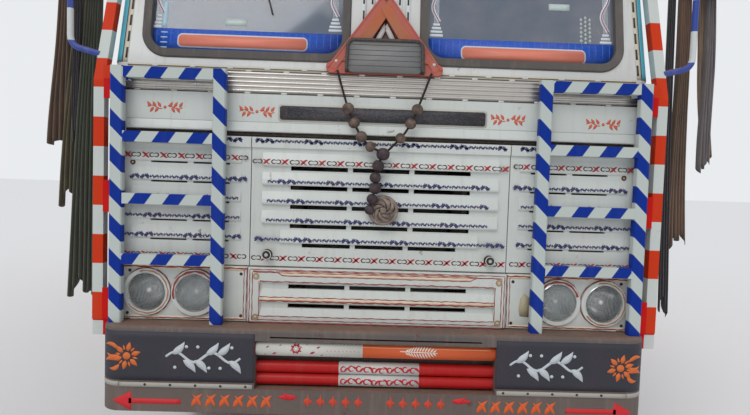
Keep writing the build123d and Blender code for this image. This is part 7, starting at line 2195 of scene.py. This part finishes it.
lens_profile = [(0.2, 41), (14, 41), (20, 37), (24, 26), (25.5, 1)]
rim_profile = [(0, 41.5), (12, 42), (14, 45.5), (0, 47)]
for x, tone, colour in ((900, "clear", (202, 202, 196)), (1010, "amber", (214, 112, 26)),
                        (1110, "red", (176, 18, 22))):
    caps = gather([turned(lens_profile, (side * x, 3983.5, 875), (0, 1, 0), 32) for side in (-1, 1)])
    piece("rear_lens_" + tone, caps, lens_plastic("lens_" + tone, srgb(*colour)), smooth=50)
rims = [hoop(rim_profile, (side * x, 3972, 875), (0, 1, 0), 32) for side in (-1, 1) for x in (900, 1010, 1110)]
bar_bolts = bolts([(side * x, 3950, z) for side in (-1, 1) for x in (500, 780) for z in (838, 912)], (0, 1, 0), 6, 5)
piece("rear_lamp_rims", gather(rims + [bar_bolts]), black_rubber, smooth=40)
bar_stripes = [plate_mark((x, x + 110), (474, 566), on_back(3950), 0.6) for x in np.arange(-1140, 1100, 220)]
painted("bar_stripes", tinted(bar_stripes, srgb(206, 208, 202)))
print("gate marks", len(gate_marks), "headboard marks", len(board_marks))

# %% [markdown]
# ## Wheels and running gear
# Wheel nuts stand on a circle, `(r cos a, r sin a)`. Hub caps, a valve, bolts bent over each spring pack and the
# plate on it, rivets along the rails and bands round the tanks finish what is seen below.

# %% Wheels and chassis
def round_axle(count, radius, x, axle_y, start=0.0):
    """Places on a circle about an axle along X."""
    turn = start + np.arange(count) * 2 * np.pi / count
    return np.column_stack([np.full(count, x), axle_y + radius * np.cos(turn), TYRE_R + radius * np.sin(turn)])


nut = [(0, 17), (4, 17), (4, 14), (20, 14), (22, 12), (22, 7), (30, 6.4), (31, 3)]
for side, name in ((-1, "right"), (1, "left")):
    axis = (side, 0, 0)
    iron = [repeated(turned(nut, (0, 0, 0), axis, 6), round_axle(8, 140, side * 1160, FRONT_AXLE, 0.2))]
    hub_cap = [(0, 60), (6, 60), (14, 52), (18, 30), (18, 1)]
    iron.append(turned(hub_cap, (side * 1189.5, FRONT_AXLE, TYRE_R), axis, 28))
    iron.append(bolts(round_axle(6, 68, side * 1189.6, FRONT_AXLE, 0.4), axis, 5, 5))
    valve = [(side * 1112, FRONT_AXLE + 190, TYRE_R + 130), (side * 1138, FRONT_AXLE + 196, TYRE_R + 134)]
    iron.append(bar(valve, 4, 8))
    piece("front_hub_" + name, gather(iron), cast_iron, "front_wheel_" + name)
    iron = [repeated(turned(nut, (0, 0, 0), axis, 6), round_axle(8, 140, side * 912, REAR_AXLE, 0.2))]
    iron.append(bolts(round_axle(8, 78, side * 1104.6, REAR_AXLE), axis, 7, 6))
    iron.append(turned([(0, 56), (5, 56), (10, 50), (12, 1)], (side * 1104.5, REAR_AXLE, TYRE_R), axis, 24))
    piece("rear_hub_" + name, gather(iron), cast_iron, "rear_wheel_" + name)

rivets = []
for z in (790, 880, 970):
    for y in np.arange(-3900, 4050, 150 if z != 880 else 600):
        rivets.append((432, y, z))
rail_rivets = bolts(rivets, (1, 0, 0), 7, 5)
u_bolts = []
for axle_y, top, low in ((FRONT_AXLE, 542, 366), (REAR_AXLE, 680, 442)):
    for shift in (-52, 52):
        u_bolts.append(bowed([(349, axle_y + shift, low), (349, axle_y + shift, top + 8),
                              (441, axle_y + shift, top + 8), (441, axle_y + shift, low)], 8, 8, 5))
        u_bolts += [turned([(0, 14), (14, 14), (16, 11)], (x, axle_y + shift, low + 2), (0, 0, 1), 6)
                    for x in (349, 441)]
    u_bolts.append(block((346, axle_y - 72, top - 1), (444, axle_y + 72, top + 6), 3))
chassis_small = both(gather([rail_rivets] + u_bolts))
piece("chassis_rivets", chassis_small, chassis_paint)

tank = []
for y in (-1450, -920):
    tank.append(bolts([(-1111, y + k, 1012) for k in (-18, 18)], (-1, 0, 0), 7, 12))
tank.append(turned([(0, 47), (10, 47), (14, 42), (17, 20), (17, 1)], (-980, -1225, 1074), (0, 0, 1), 24))
tank.append(block((-984, -1272, 1088), (-976, -1178, 1098), 3))
tank.append(turned([(0, 14), (12, 14), (14, 8)], (-800, -700, 640), (0, -1, 0), 6))
piece("tank_fittings", gather(tank), dark_steel)

bands = []
for x in (600, 880):
    for y in (-850, -540, -230):
        bands.append(hoop([(-18, 121), (-18, 124.5), (18, 124.5), (18, 121)], (x, y, 790), (0, 1, 0), 36))
    bands.append(turned([(0, 16), (14, 16), (16, 8), (20, 6)], (x, -960, 790), (0, -1, 0), 8))
for y in (-1500, -1130, -760):
    bands.append(hoop([(-14, 111), (-14, 114.5), (14, 114.5), (14, 111)], (230, y, 560), (0, 1, 0), 36))
bands += [block((452, -1640, 971), (940, -1612, 977), 2), block((452, -1128, 971), (940, -1100, 977), 2)]
bands += [block((956, y - 14, 850), (966, y + 14, 985), 3) for y in (-1540, -1200)]
piece("side_fittings", gather(bands), dark_steel)

flap_places = [(side * x, 2600.5, 1130) for side in (-1, 1) for x in (700, 820, 940, 1060, 1140)]
flap_bolts = bolts(flap_places, (0, 1, 0), 8, 6)
flap_straps = [block((side * 910 - 260, 2600, 1112), (side * 910 + 260, 2604, 1148), 2) for side in (-1, 1)]
piece("flap_straps", gather(flap_straps + [flap_bolts]), dark_steel)
print("running gear dressed")
